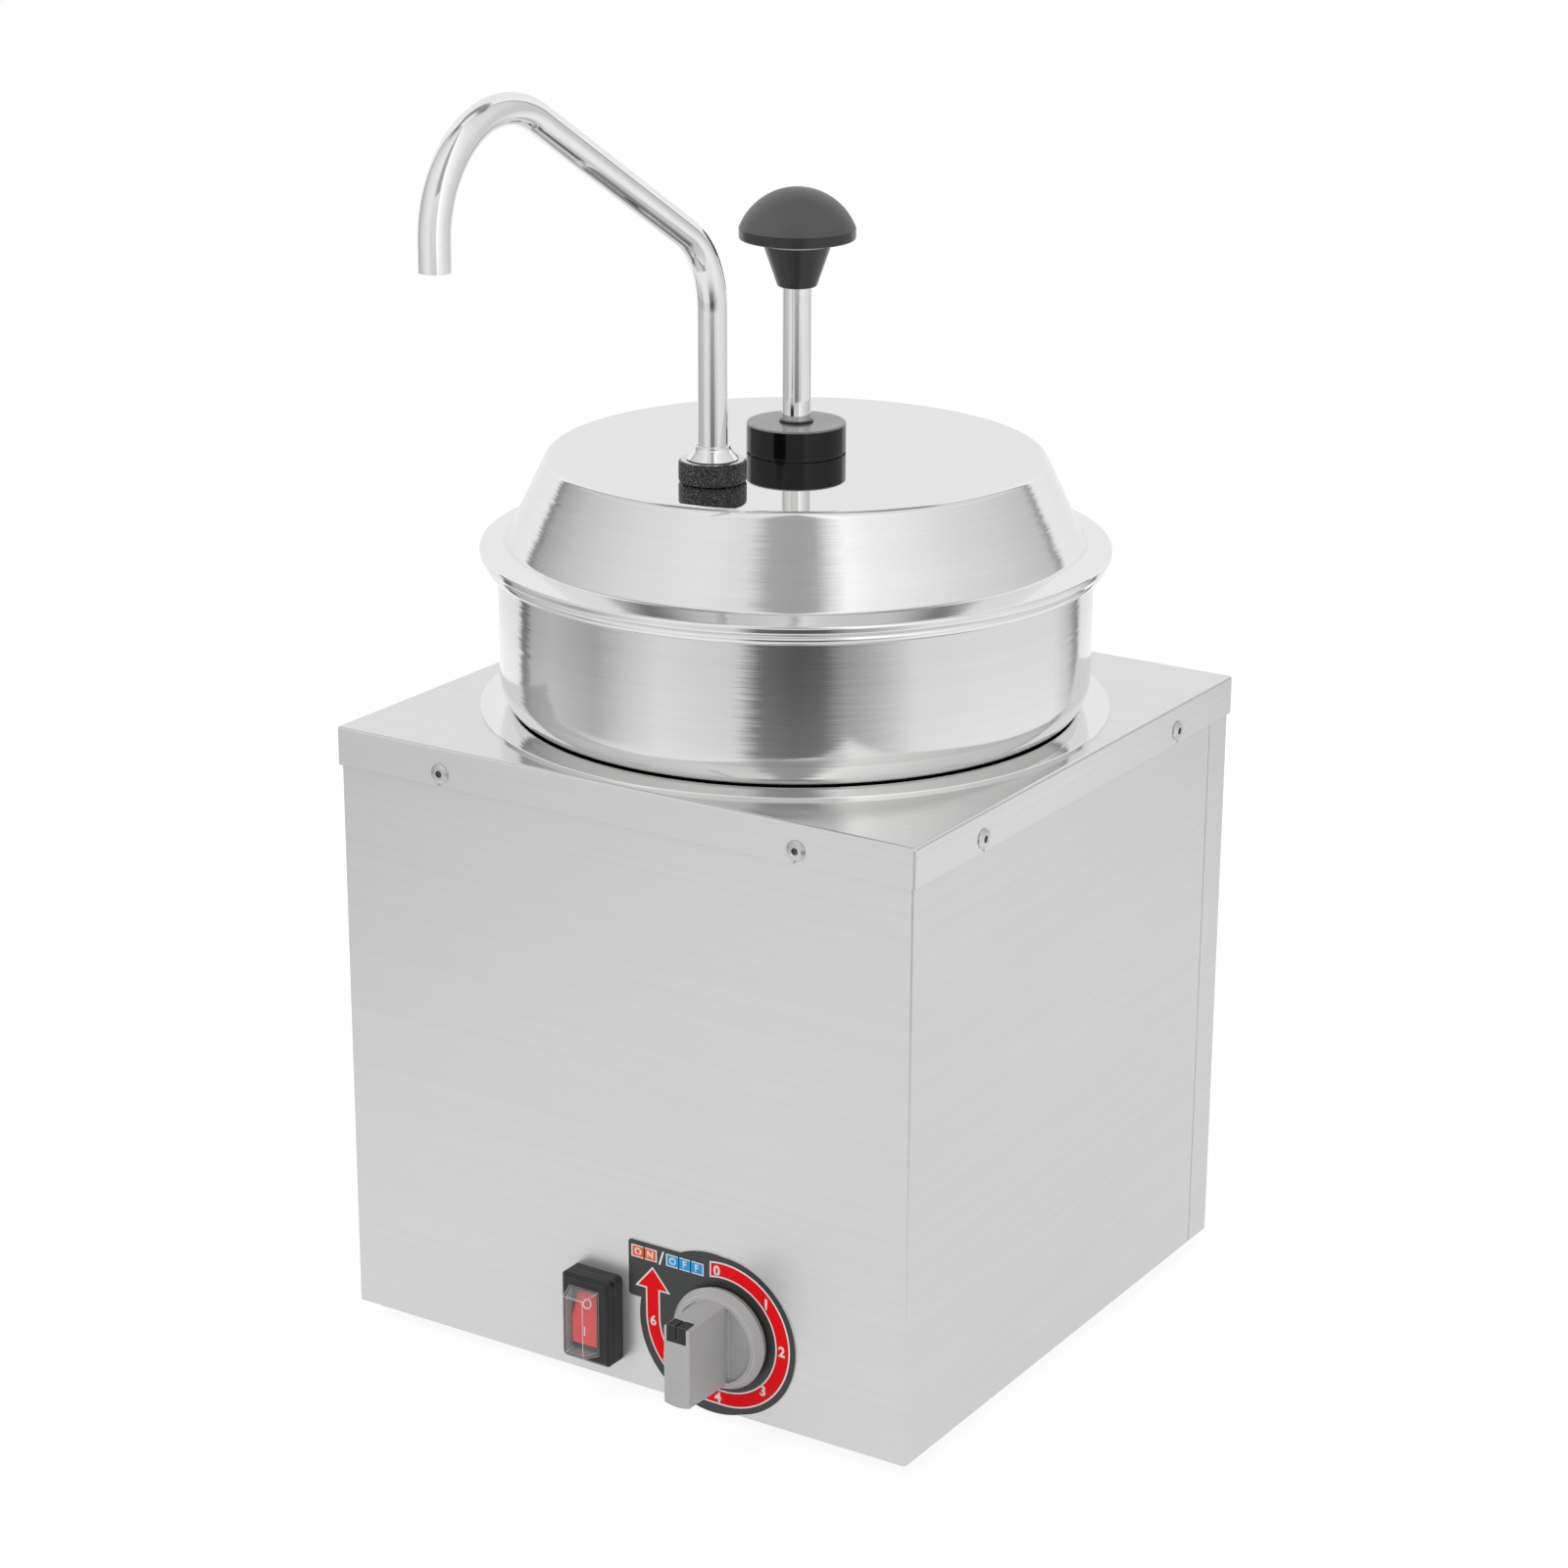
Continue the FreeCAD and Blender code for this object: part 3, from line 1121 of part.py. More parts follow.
def corner_piece(gap, reach):
    """The bent shape of the pointer insert, grown by a gap on its free sides."""
    outer = block((-pointer_half - gap, pointer_low - gap, pointer_deep - gap),
                  (pointer_half + gap, reach, size.grip_height + size.pointer_proud))
    inner = block((-pointer_half - size.overrun, pointer_low - size.overrun, pointer_deep - size.overrun),
                  (pointer_half + size.overrun, seat_inner, seat_top))
    return cut(outer, [inner])


knob_solid = cut(fuse([cut(skirt, [scoops]), bar_solid]), [hollow, bore, corner_piece(size.slip_gap, far)])
node("thermostat_knob", face_front(knob_solid, size.dial_x, plate_y, dial_z))
pointer_end = size.grip_front_length / 2 + size.pointer_proud
groove_half = size.pointer_groove / 2
groove_floor = size.grip_height + size.pointer_proud - size.pointer_groove_depth
groove_back = pointer_end - size.pointer_groove_depth
groove_far = (groove_half, far, far + size.grip_height)
pointer = cut(corner_piece(0, pointer_end), [
    block((-groove_half, pointer_low + size.pointer_groove, groove_floor), groove_far),
    block((-groove_half, groove_back, 0), groove_far)])
node("knob_pointer", face_front(pointer, size.dial_x, plate_y, dial_z))
root = size.plate_sheet + size.sheet + size.shaft_root - size.seam_gap
shaft = cut(cylinder(size.shaft_radius, root + size.shaft_reach, (0, 0, -root)),
            [block((-far, size.shaft_flat, grip_base), (far, far, size.grip_height))])
node("thermostat_shaft", face_front(shaft, size.dial_x, plate_y, dial_z))

bezel = new_body("switch_bezel")
half_bezel = size.bezel_width / 2
tall_bezel = size.bezel_height / 2


def frame(half_x, half_y, inset=0):
    return rectangle((-half_x + inset, -half_y + inset), (half_x - inset, half_y - inset))


bezel_corners = frame(half_bezel, tall_bezel)
pad(bezel, outline(bezel, XY, bezel_corners), size.bezel_depth)
round_edges(bezel, size.bezel_corner, upright_at(bezel_corners))
round_edges(bezel, size.bezel_chamfer, level_at(size.bezel_depth), "Chamfer")
neck_points = frame(size.bezel_neck_width / 2, size.bezel_neck_height / 2)
pad(bezel, outline(bezel, XY, neck_points), size.bezel_neck_depth, reverse=True)
open_x = size.rocker_width / 2 + size.rocker_gap
open_y = size.rocker_half + size.rocker_room
well_depth_of_bezel = size.bezel_depth + size.bezel_neck_depth
pocket(bezel, outline(bezel, XY, frame(open_x, open_y), size.bezel_depth), well_depth_of_bezel + size.overrun)
pin_half = open_x + size.rocker_pin_seat
pin_circle = circles(bezel, YZ, [(0, size.rocker_pivot)], size.rocker_pin_radius + size.slip_gap)
pocket(bezel, pin_circle, pin_half * 2, symmetric=True)
groove_core = new_body("groove_core")
groove_corners = frame(half_bezel, tall_bezel, size.bezel_groove)
pad(groove_core, outline(groove_core, XY, groove_corners, size.bezel_foot), size.bezel_groove_width)
round_edges(groove_core, size.bezel_corner - size.bezel_groove, upright_at(groove_corners))
groove_band = block((-size.bezel_width, -size.bezel_height, size.bezel_foot),
                    (size.bezel_width, size.bezel_height, size.bezel_foot + size.bezel_groove_width))
grooved = cut(bezel, [cut(groove_band, [groove_core])])
node("switch_bezel", face_front(grooved, switch_x, panel_y, switch_z))
node("rocker_pin", cylinder(size.rocker_pin_radius, pin_half * 2,
                            (switch_x - pin_half, panel_y - size.rocker_pivot, switch_z), "X"))

ROCKER_ROOT_SHARE = 0.7
rocker = new_body("rocker_button")
crest_drop = size.rocker_half * math.tan(math.radians(size.rocker_tilt.number))
rocker_side = size.rocker_crest - crest_drop
rocker_root = size.rocker_half * ROCKER_ROOT_SHARE
rocker_points = [(-size.rocker_half, rocker_side), (-size.rocker_half, 0), (-rocker_root, -size.rocker_foot),
                 (rocker_root, -size.rocker_foot), (size.rocker_half, 0), (size.rocker_half, rocker_side),
                 (0, size.rocker_crest)]
pad(rocker, outline(rocker, YZ, rocker_points), size.rocker_width, symmetric=True)
pocket(rocker, circles(rocker, YZ, [(0, 0)], size.rocker_pin_radius + size.slip_gap), size.rocker_width * 2,
       symmetric=True)
place(rocker, (switch_x, panel_y - size.rocker_pivot, switch_z),
      Rotation(Vector(1, 0, 0), 90 - size.rocker_tilt.number))
node("rocker_button", rocker)

cover_wide = size.clear_width / 2
cover_tall = size.clear_height / 2
front_wide = size.clear_front_width / 2
front_tall = size.clear_front_height / 2


def tapered(name, half_x, half_y, front_x, front_y, low, high):
    """A block that narrows towards its front."""
    body = new_body(name)
    near_face = outline(body, XY, frame(half_x, half_y), low)
    far_face = outline(body, XY, frame(front_x, front_y), high)
    loft = body.newObject("PartDesign::AdditiveLoft", name + "_loft")
    loft.Profile = near_face
    loft.Sections = [far_face]
    document.recompute()
    return body


clear_front = size.bezel_depth + size.clear_depth
clear_outer = tapered("clear_outer", cover_wide, cover_tall, front_wide, front_tall,
                      size.bezel_depth, clear_front)
clear_inner = tapered("clear_inner", cover_wide - size.clear_wall, cover_tall - size.clear_wall,
                      front_wide - size.clear_wall, front_tall - size.clear_wall,
                      size.bezel_depth, clear_front - size.clear_wall)
node("switch_cover", face_front(cut(clear_outer, [clear_inner]), switch_x, panel_y, switch_z))

half_switch = size.switch_width / 2
tall_switch = size.switch_height / 2
switch_front = panel_y + size.bezel_neck_depth
switch_back = switch_front + size.switch_depth
node("switch_body", block((switch_x - half_switch, switch_front, switch_z - tall_switch),
                          (switch_x + half_switch, switch_back, switch_z + tall_switch)))
blades = []
for side in (-1, 1):
    for level in (-1, 1):
        blade_x = size.blade_pitch / 2 * side - size.blade_width / 2
        blade_y = size.blade_pitch / 2 * level
        blades.append(block((blade_x, blade_y, -size.blade_length),
                            (blade_x + size.blade_width, blade_y + size.blade_sheet, 0)))
switch_terminals = document.addObject("Part::Compound", "switch_terminals")
switch_terminals.Links = blades
node("switch_terminals", face_front(switch_terminals, switch_x, switch_back, switch_z))


# Wiring side: terminal block, earth stud and cable gland

terminals = new_body("terminal_block")
half_block = size.block_length / 2
block_points = rectangle((-half_block, -size.block_width / 2), (half_block, size.block_width / 2))
pad(terminals, outline(terminals, XY, block_points), size.block_height)
round_edges(terminals, size.thermostat_round, upright_at(block_points))
poles = [size.block_pitch * pole for pole in (-1, 0, 1)]
wire_circles = circles(terminals, XZ, [(x, size.block_height / 2) for x in poles], size.block_bore)
pocket(terminals, wire_circles, size.block_width * 2, symmetric=True)
screw_pits = circles(terminals, XY, [(x, 0) for x in poles], size.block_screw_radius + size.hole_gap,
                     size.block_height)
pocket(terminals, screw_pits, size.block_screw_length)
place(terminals, (wiring_x, block_y, tray_top))
node("terminal_block", terminals)
pole_screw = screw("terminal_screw_pattern", size.block_screw_radius, size.block_screw_length - size.seam_gap,
                   size.block_screw_radius * 2 - size.seam_gap, size.block_screw_radius)
several("block_screws", pole_screw,
        [spot(x + wiring_x, block_y, tray_top + size.block_height, UPWARD) for x in poles])

earth_place = (-size.earth_x, inner_y - size.earth_inset)
node("earth_stud", cylinder(size.earth_radius, size.earth_length, (earth_place[0], earth_place[1], tray_top)))
earth_level = tray_top + size.earth_length / 2
node("earth_nut", cut(hexagon(size.earth_nut_radius, size.earth_nut_height,
                              (earth_place[0], earth_place[1], earth_level - size.earth_nut_height)),
                      [cylinder(size.earth_radius + size.hole_gap, size.earth_length,
                                (earth_place[0], earth_place[1], tray_top))]))

gland_back = (wiring_x, wall_y, size.gland_rise)
gland_cap_start = size.gland_hex_height
gland_length = gland_cap_start + size.gland_cap_height
gland = cut(fuse([cylinder(size.gland_thread, size.gland_thread_length, (0, 0, -size.gland_thread_length)),
                  hexagon(size.gland_hex, size.gland_hex_height, (0, 0, 0)),
                  cone(size.gland_cap, size.gland_cap_top, size.gland_cap_height, (0, 0, gland_cap_start))]),
            [cylinder(size.gland_bore, gland_length + size.gland_thread_length + size.overrun,
                      (0, 0, -size.gland_thread_length - size.overrun / 2))])
place(gland, gland_back, TO_REAR)
node("cable_gland", gland)
locknut = cut(hexagon(size.gland_hex, size.gland_nut_height, (0, 0, -size.sheet - size.gland_nut_height)),
              [cylinder(size.gland_thread + size.hole_gap, size.gland_thread_length + size.overrun,
                        (0, 0, -size.gland_thread_length))])
place(locknut, gland_back, TO_REAR)
node("gland_locknut", locknut)


# Inset pot: its shoulder is a cone of half a right angle that rests on the well's lip

shoulder = (well_top - size.lip_bend * 2 - well_radius
            + (size.lip_bend + size.seat_gap) * ROOT_TWO)
inner_shoulder = shoulder + size.pot_sheet * ROOT_TWO
pot_inner = pot_radius - size.pot_sheet
low_inner = pot_low_radius - size.pot_sheet
bead_low = pot_rim - size.pot_bead_height
turned("inset_pot", [
    (0, pot_low), (pot_low_radius, pot_low), (pot_low_radius, pot_low_radius + shoulder),
    (pot_radius, pot_radius + shoulder), (pot_radius, bead_low),
    (pot_bead_radius, bead_low), (pot_bead_radius, pot_rim), (pot_inner, pot_rim),
    (pot_inner, pot_inner + inner_shoulder), (low_inner, low_inner + inner_shoulder),
    (low_inner, pot_floor), (0, pot_floor)],
    [(size.pot_corner, (pot_low_radius, pot_low)),
     (size.pot_corner - size.pot_sheet, (low_inner, pot_floor)),
     (size.pot_throat_round, (pot_low_radius, pot_low_radius + shoulder)),
     (size.pot_throat_round + size.pot_sheet, (low_inner, low_inner + inner_shoulder)),
     (size.pot_shoulder_round, (pot_radius, pot_radius + shoulder)),
     (size.pot_shoulder_round - size.pot_sheet, (pot_inner, pot_inner + inner_shoulder)),
     (size.pot_bead_round, (pot_bead_radius, bead_low)),
     (size.pot_bead_round, (pot_bead_radius, pot_rim))])


# Lid and pump, on the axis of the pot

skirt_outer = pot_inner - size.lid_skirt_gap
skirt_inner = skirt_outer - size.lid_sheet
cone_top = lid_low + size.lid_cone_foot
lean = (lid_cone_radius - lid_top_radius) / (size.lid_height - size.lid_cone_foot)
cone_inside = lid_cone_radius - size.lid_cone_wall
top_inside = lid_top_radius - size.lid_cone_wall + size.lid_sheet * lean
flange_under = cone_top - size.lid_sheet
lid = new_body("lid")
revolve(lid, outline(lid, XZ, [
    (0, lid_top), (lid_top_radius, lid_top), (lid_cone_radius, cone_top),
    (lid_rim_radius, lid_low + size.lid_rim_height), (lid_rim_radius, lid_low),
    (skirt_outer, lid_low), (skirt_outer, lid_low - size.lid_skirt_depth),
    (skirt_inner, lid_low - size.lid_skirt_depth), (skirt_inner, flange_under),
    (cone_inside + size.lid_sheet * lean, flange_under), (top_inside, lid_under), (0, lid_under)]))
for radius, corner in ((size.lid_top_round, (lid_top_radius, lid_top)),
                       (size.lid_top_round - size.lid_sheet, (top_inside, lid_under)),
                       (size.lid_foot_round, (lid_cone_radius, cone_top)),
                       (size.lid_rim_round, (lid_rim_radius, lid_low + size.lid_rim_height)),
                       (size.lid_rim_round, (lid_rim_radius, lid_low))):
    round_edges(lid, radius, ring_at(*corner))
pump_hole = size.cylinder_radius + size.lid_hole_gap
riser_hole = size.riser_radius + size.lid_hole_gap
for centre, radius in (((0, 0), pump_hole), ((0, spout_y), riser_hole)):
    pocket(lid, circles(lid, XY, [centre], radius, lid_under), size.lid_sheet + size.overrun, reverse=True)
node("lid", lid)


def root(value):
    return Length(math.sqrt(number_of(value)), "sqrt(%s)" % words_of(value))


def ball_rise(ball, hole):
    """Height of a ball's centre above the edge of the hole that it closes."""
    return root(ball * ball - hole * hole) + size.ball_gap


valve_low = pot_floor + size.valve_lift
inlet_seat = valve_low + size.valve_foot
inlet_z = inlet_seat + ball_rise(size.inlet_ball_radius, size.inlet_hole)
inlet_pin = inlet_z + size.ball_lift + size.inlet_ball_radius + size.pin_gap + size.pin_radius
passage_z = inlet_pin + size.pin_radius + size.passage_rise + size.passage_radius
socket_z = passage_z + size.passage_radius + size.socket_floor
valve_top = socket_z + size.valve_socket
arm_half = size.passage_radius + size.passage_wall
outlet_seat = passage_z + size.outlet_seat_rise
outlet_z = outlet_seat + ball_rise(size.outlet_ball_radius, size.outlet_hole)
outlet_pin = outlet_z + size.ball_lift + size.outlet_ball_radius + size.pin_gap + size.pin_radius
riser_low = outlet_pin + size.pin_radius + size.passage_rise
boss_top = riser_low + size.boss_socket
boss_low = passage_z - arm_half
pin_hole = size.pin_radius + size.slip_gap
valve_solid = fuse([cylinder(size.valve_radius, valve_top - valve_low, (0, 0, valve_low)),
                    block((-arm_half, spout_y, boss_low), (arm_half, 0, passage_z + arm_half)),
                    cylinder(size.boss_radius, boss_top - boss_low, (0, spout_y, boss_low))])
node("valve_body", cut(valve_solid, [
    cylinder(size.inlet_hole, size.valve_foot + size.overrun, (0, 0, valve_low - size.overrun)),
    cylinder(size.inlet_pocket, socket_z - inlet_seat + size.overrun, (0, 0, inlet_seat)),
    cylinder(size.cylinder_radius + size.slip_gap, size.valve_socket + size.overrun, (0, 0, socket_z)),
    cylinder(size.passage_radius, size.spout_place, (0, spout_y, passage_z), "Y"),
    cylinder(size.outlet_hole, outlet_seat - passage_z + size.overrun, (0, spout_y, passage_z)),
    cylinder(size.outlet_pocket, riser_low - outlet_seat + size.overrun, (0, spout_y, outlet_seat)),
    cylinder(size.riser_radius + size.slip_gap, size.boss_socket + size.overrun, (0, spout_y, riser_low)),
    cylinder(pin_hole, size.valve_radius * 2, (-size.valve_radius, 0, inlet_pin), "X"),
    cylinder(pin_hole, size.boss_radius * 2, (-size.boss_radius, spout_y, outlet_pin), "X")]))
inlet_pin_half = size.valve_radius - size.pin_inset
outlet_pin_half = size.boss_radius - size.pin_inset
pins = document.addObject("Part::Compound", "cage_pins")
pins.Links = [cylinder(size.pin_radius, inlet_pin_half * 2, (-inlet_pin_half, 0, inlet_pin), "X"),
              cylinder(size.pin_radius, outlet_pin_half * 2, (-outlet_pin_half, spout_y, outlet_pin), "X")]
node("cage_pins", pins)
node("inlet_ball", sphere(size.inlet_ball_radius, (0, 0, inlet_z)))
node("outlet_ball", sphere(size.outlet_ball_radius, (0, spout_y, outlet_z)))

collar_top = lid_top + size.collar_height
collar_under = collar_top - size.collar_web
cylinder_top = collar_under - size.bush_flange_height - size.hole_gap
gasket_low = lid_under - size.gasket
cylinder_bore = size.cylinder_radius - size.cylinder_wall
cylinder_flange_low = gasket_low - size.cylinder_flange_height
turned("pump_cylinder", [
    (cylinder_bore, socket_z), (size.cylinder_radius, socket_z), (size.cylinder_radius, cylinder_flange_low),
    (size.cylinder_flange, cylinder_flange_low), (size.cylinder_flange, gasket_low),
    (size.cylinder_radius, gasket_low), (size.cylinder_radius, cylinder_top), (cylinder_bore, cylinder_top)])
bush_hole = size.bush_radius + size.slip_gap
collar_bore = size.cylinder_radius + size.slip_gap
turned("pump_collar", [
    (bush_hole, collar_top), (size.collar_radius, collar_top), (size.collar_radius, lid_top),
    (collar_bore, lid_top), (collar_bore, collar_under), (bush_hole, collar_under)],
    [(size.collar_round, (size.collar_radius, collar_top))])
rod_hole = size.rod_radius + size.slip_gap
bush_low = collar_under - size.bush_flange_height
turned("rod_bush", [
    (rod_hole, bush_low), (size.bush_flange, bush_low), (size.bush_flange, collar_under),
    (size.bush_radius, collar_under), (size.bush_radius, collar_top + size.bush_proud),
    (rod_hole, collar_top + size.bush_proud)])

riser_bore = size.spout_radius + size.slip_gap
riser_top = lid_top + size.riser_stub
riser_flange_low = gasket_low - size.riser_flange_height


def at_spout(body):
    place(body, (0, spout_y, 0))
    document.recompute()
    return body


at_spout(turned("riser_tube", [
    (riser_bore, riser_low), (size.riser_radius, riser_low), (size.riser_radius, riser_flange_low),
    (size.riser_flange, riser_flange_low), (size.riser_flange, gasket_low), (size.riser_radius, gasket_low),
    (size.riser_radius, riser_top), (riser_bore, riser_top)]))


def gasket_ring(outer, inner, y):
    hole = cylinder(inner + size.slip_gap, size.gasket + size.overrun, (0, y, gasket_low - size.overrun / 2))
    return cut(cylinder(outer, size.gasket, (0, y, gasket_low)), [hole])


gaskets = document.addObject("Part::Compound", "lid_gaskets")
gaskets.Links = [gasket_ring(size.cylinder_flange, size.cylinder_radius, 0),
                 gasket_ring(size.riser_flange, size.riser_radius, spout_y)]
node("lid_gaskets", gaskets)

KNURLS = 40
nut_top_z = lid_top + size.nut_height
nut_shelf = riser_top + size.hole_gap
tube_hole = size.spout_radius + size.hole_gap
spout_nut = new_body("spout_nut")
revolve(spout_nut, outline(spout_nut, XZ, [
    (size.riser_radius + size.slip_gap, lid_top), (size.nut_radius, lid_top), (size.nut_radius, nut_top_z),
    (tube_hole, nut_top_z), (tube_hole, nut_shelf), (size.riser_radius + size.slip_gap, nut_shelf)]))
round_edges(spout_nut, size.nut_edge, ring_at(size.nut_radius, nut_top_z), "Chamfer")
knurl_sketch = circles(spout_nut, XY, [(size.nut_radius, 0)], size.nut_groove, lid_top)
knurl = pocket(spout_nut, knurl_sketch, size.nut_height - size.nut_edge, reverse=True)
knurls = spout_nut.newObject("PartDesign::PolarPattern", "knurls")
knurls.Originals = [knurl]
knurls.Axis = (knurl_sketch, ["N_Axis"])
knurls.Angle = 360
knurls.Occurrences = KNURLS
spout_nut.Tip = knurls
node("spout_nut", at_spout(spout_nut))
ferrule_top = nut_top_z + size.ferrule_height
ferrule_neck_low = nut_top_z + size.ferrule_foot + size.ferrule_flare
at_spout(turned("spout_ferrule", [
    (tube_hole, nut_top_z), (size.ferrule_radius, nut_top_z),
    (size.ferrule_radius, nut_top_z + size.ferrule_foot), (size.ferrule_neck, ferrule_neck_low),
    (size.ferrule_neck, ferrule_top), (tube_hole, ferrule_top)]))

slope = math.tan(math.radians(size.spout_slope.number))
knee = Vector(0, spout_y.number, (lid_top + size.spout_knee).number)
reach = size.spout_reach.number
spout_points = [Vector(0, knee.y, (riser_top - size.spout_insert).number), knee,
                Vector(0, knee.y - reach, knee.z + reach * slope),
                Vector(0, knee.y - reach, (lid_top + size.spout_tip).number)]
spout_path = bent_path(spout_points, [size.knee_radius.number, size.crook_radius.number])
spout_outside = sweep(spout_path, size.spout_radius.number, Vector(0, 0, 1))
spout_inside = sweep(spout_path, (size.spout_radius - size.spout_wall).number, Vector(0, 0, 1))
shaped("spout_tube", spout_outside.cut(spout_inside))

piston_low = socket_z + size.spring_solid + size.stroke
piston_top = piston_low + size.piston_height
piston_radius = cylinder_bore - size.piston_gap
piston_bore = size.rod_end_radius + size.slip_gap
seal_low = piston_low + size.seal_inset
seal_floor = piston_radius - size.seal_depth
turned("piston", [
    (piston_bore, piston_low), (piston_radius, piston_low), (piston_radius, seal_low), (seal_floor, seal_low),
    (seal_floor, seal_low + size.seal_height), (piston_radius, seal_low + size.seal_height),
    (piston_radius, piston_top), (piston_bore, piston_top)])
turned("piston_seal", [
    (seal_floor, seal_low), (cylinder_bore - size.slip_gap, seal_low),
    (cylinder_bore - size.slip_gap, seal_low + size.seal_height), (seal_floor, seal_low + size.seal_height)])
rod_nut_low = piston_low - size.rod_nut_height
node("piston_nut", cut(hexagon(size.rod_nut_radius, size.rod_nut_height, (0, 0, rod_nut_low)),
                       [cylinder(piston_bore, size.rod_nut_height + size.overrun,
                                 (0, 0, rod_nut_low - size.overrun / 2))]))
knob_low = collar_top + size.knob_clear
rod_top = knob_low + size.knob_socket
rod_low = rod_nut_low - size.pin_inset
turned("plunger_rod", [
    (0, rod_low), (size.rod_end_radius, rod_low), (size.rod_end_radius, piston_top),
    (size.rod_radius, piston_top), (size.rod_radius, rod_top), (0, rod_top)])
sleeve_inner = size.rod_radius + size.hole_gap
sleeve_outer = sleeve_inner + size.sleeve_wall
sleeve_top = bush_low - size.sleeve_gap
turned("rod_spacer", [(sleeve_inner, piston_top), (sleeve_outer, piston_top), (sleeve_outer, sleeve_top),
                      (sleeve_inner, sleeve_top)])

dome_under = knob_low + size.knob_neck_height
dome_edge = dome_under + size.knob_band
dome_sphere = (size.knob_radius * size.knob_radius + size.knob_dome * size.knob_dome) / (size.knob_dome * 2)
dome = common(cylinder(size.knob_radius, size.knob_band + size.knob_dome, (0, 0, dome_under)),
              sphere(dome_sphere, (0, 0, dome_edge + size.knob_dome - dome_sphere)))
neck = cone(size.knob_neck_foot, size.knob_neck_top, size.knob_neck_height, (0, 0, knob_low))
knob_blank = rounded(fuse([dome, neck]), size.knob_round,
                     lambda edge: ring_at(size.knob_radius, dome_under)(edge)
                     or ring_at(size.knob_neck_foot, knob_low)(edge))
node("plunger_knob", cut(knob_blank, [cylinder(rod_hole, size.knob_socket + size.overrun,
                                               (0, 0, knob_low - size.overrun))]))

# The return spring is one wire: each quarter turn is a pair of arcs that meet in one tangent

QUARTERS = 4
spring_run = piston_low - socket_z - (size.spring_wire + size.fit_gap) * 2
spring_start = (socket_z + size.spring_wire + size.fit_gap).number
spring_angle = size.spring_turns.number * math.tau
spring_rise = spring_run.number / spring_angle


def coil_place(angle):
    """A point of the wire's middle line and the direction in which the wire runs there."""
    outward = Vector(math.cos(angle), math.sin(angle), 0) * size.spring_mean.number
    onward = Vector(-outward.y, outward.x, spring_rise)
    return outward + Vector(0, 0, spring_start + spring_rise * angle), onward.normalize()


def arc_by(start, corner, end):
    """The arc from start to end whose two tangents cross at the corner."""
    middle = (start + end) / 2
    lean_share = (end - start).Length / (corner - start).Length / 2
    return Part.Arc(start, middle + (corner - middle) * (lean_share / (1 + lean_share)), end).toShape()


def arc_pair(start, leaving, end, arriving):
    span = end - start
    both = leaving + arriving
    along = span.dot(both)
    spread = 4 - both.dot(both)
    reach = (math.sqrt(along ** 2 + spread * span.dot(span)) - along) / spread
    first = start + leaving * reach
    second = end - arriving * reach
    meeting = (first + second) / 2
    return [arc_by(start, first, meeting), arc_by(meeting, second, end)]


steps = round(size.spring_turns.number * QUARTERS)
places = [coil_place(spring_angle * step / steps) for step in range(steps + 1)]
coil_arcs = []
for (start, leaving), (end, arriving) in zip(places, places[1:]):
    coil_arcs += arc_pair(start, leaving, end, arriving)
coil_ring = Part.Wire(Part.makeCircle(size.spring_wire.number, *places[0]))
shaped("return_spring", Part.Wire(coil_arcs).makePipeShell([coil_ring], True))
next_turn = min((places[0][0] - point).Length for point, _ in places[QUARTERS // 2 + 1:])
print("return spring: least gap between turns %.2f mm" % (next_turn - size.spring_wire.number * 2))


# Every object is sound before anything is written

document.recompute()
for thing in document.Objects:
    if {"Invalid", "Error"} & set(thing.State):
        raise RuntimeError("%s has failed" % thing.Name)
os.makedirs("parts", exist_ok=True)
for thing in nodes:
    if thing.Shape.isNull() or not thing.Shape.isValid():
        raise RuntimeError("%s has no sound shape" % thing.Label)
    thing.Shape.exportStep("parts/%s.step" % thing.Label)
    bounds = thing.Shape.BoundBox
    print("%-18s %2d solids, z %7.2f to %7.2f, volume %.0f" % (
        thing.Label, len(thing.Shape.Solids), bounds.ZMin, bounds.ZMax, thing.Shape.Volume))
print("%d nodes" % len(nodes))
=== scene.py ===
import json
import math

import bmesh
import bpy
from mathutils import Matrix, Vector
from mathutils.geometry import tessellate_polygon


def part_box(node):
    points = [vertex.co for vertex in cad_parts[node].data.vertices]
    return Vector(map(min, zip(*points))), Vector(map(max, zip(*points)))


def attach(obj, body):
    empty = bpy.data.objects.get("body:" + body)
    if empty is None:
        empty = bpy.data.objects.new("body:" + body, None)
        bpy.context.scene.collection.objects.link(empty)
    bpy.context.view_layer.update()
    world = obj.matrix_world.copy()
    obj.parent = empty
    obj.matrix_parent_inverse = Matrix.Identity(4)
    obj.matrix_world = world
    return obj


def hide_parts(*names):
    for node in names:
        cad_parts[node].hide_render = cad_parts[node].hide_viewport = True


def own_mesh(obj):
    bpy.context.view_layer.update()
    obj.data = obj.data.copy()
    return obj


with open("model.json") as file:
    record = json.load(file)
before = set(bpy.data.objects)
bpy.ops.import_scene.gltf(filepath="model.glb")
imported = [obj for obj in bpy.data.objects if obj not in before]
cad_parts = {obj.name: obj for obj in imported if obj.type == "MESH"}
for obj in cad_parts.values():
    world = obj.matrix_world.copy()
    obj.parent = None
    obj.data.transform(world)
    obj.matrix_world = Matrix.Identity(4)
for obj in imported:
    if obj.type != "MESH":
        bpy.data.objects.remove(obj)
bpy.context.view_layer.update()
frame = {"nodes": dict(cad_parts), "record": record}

bodyOf = {node: body for body, nodes in frame["record"]["behaviour"]["bodies"].items() for node in nodes}
slotOf = {row["node"]: row["material_slot"] for row in frame["record"]["subparts"]}
scene = bpy.context.scene
print("frame loaded:", len(frame["nodes"]), "nodes")


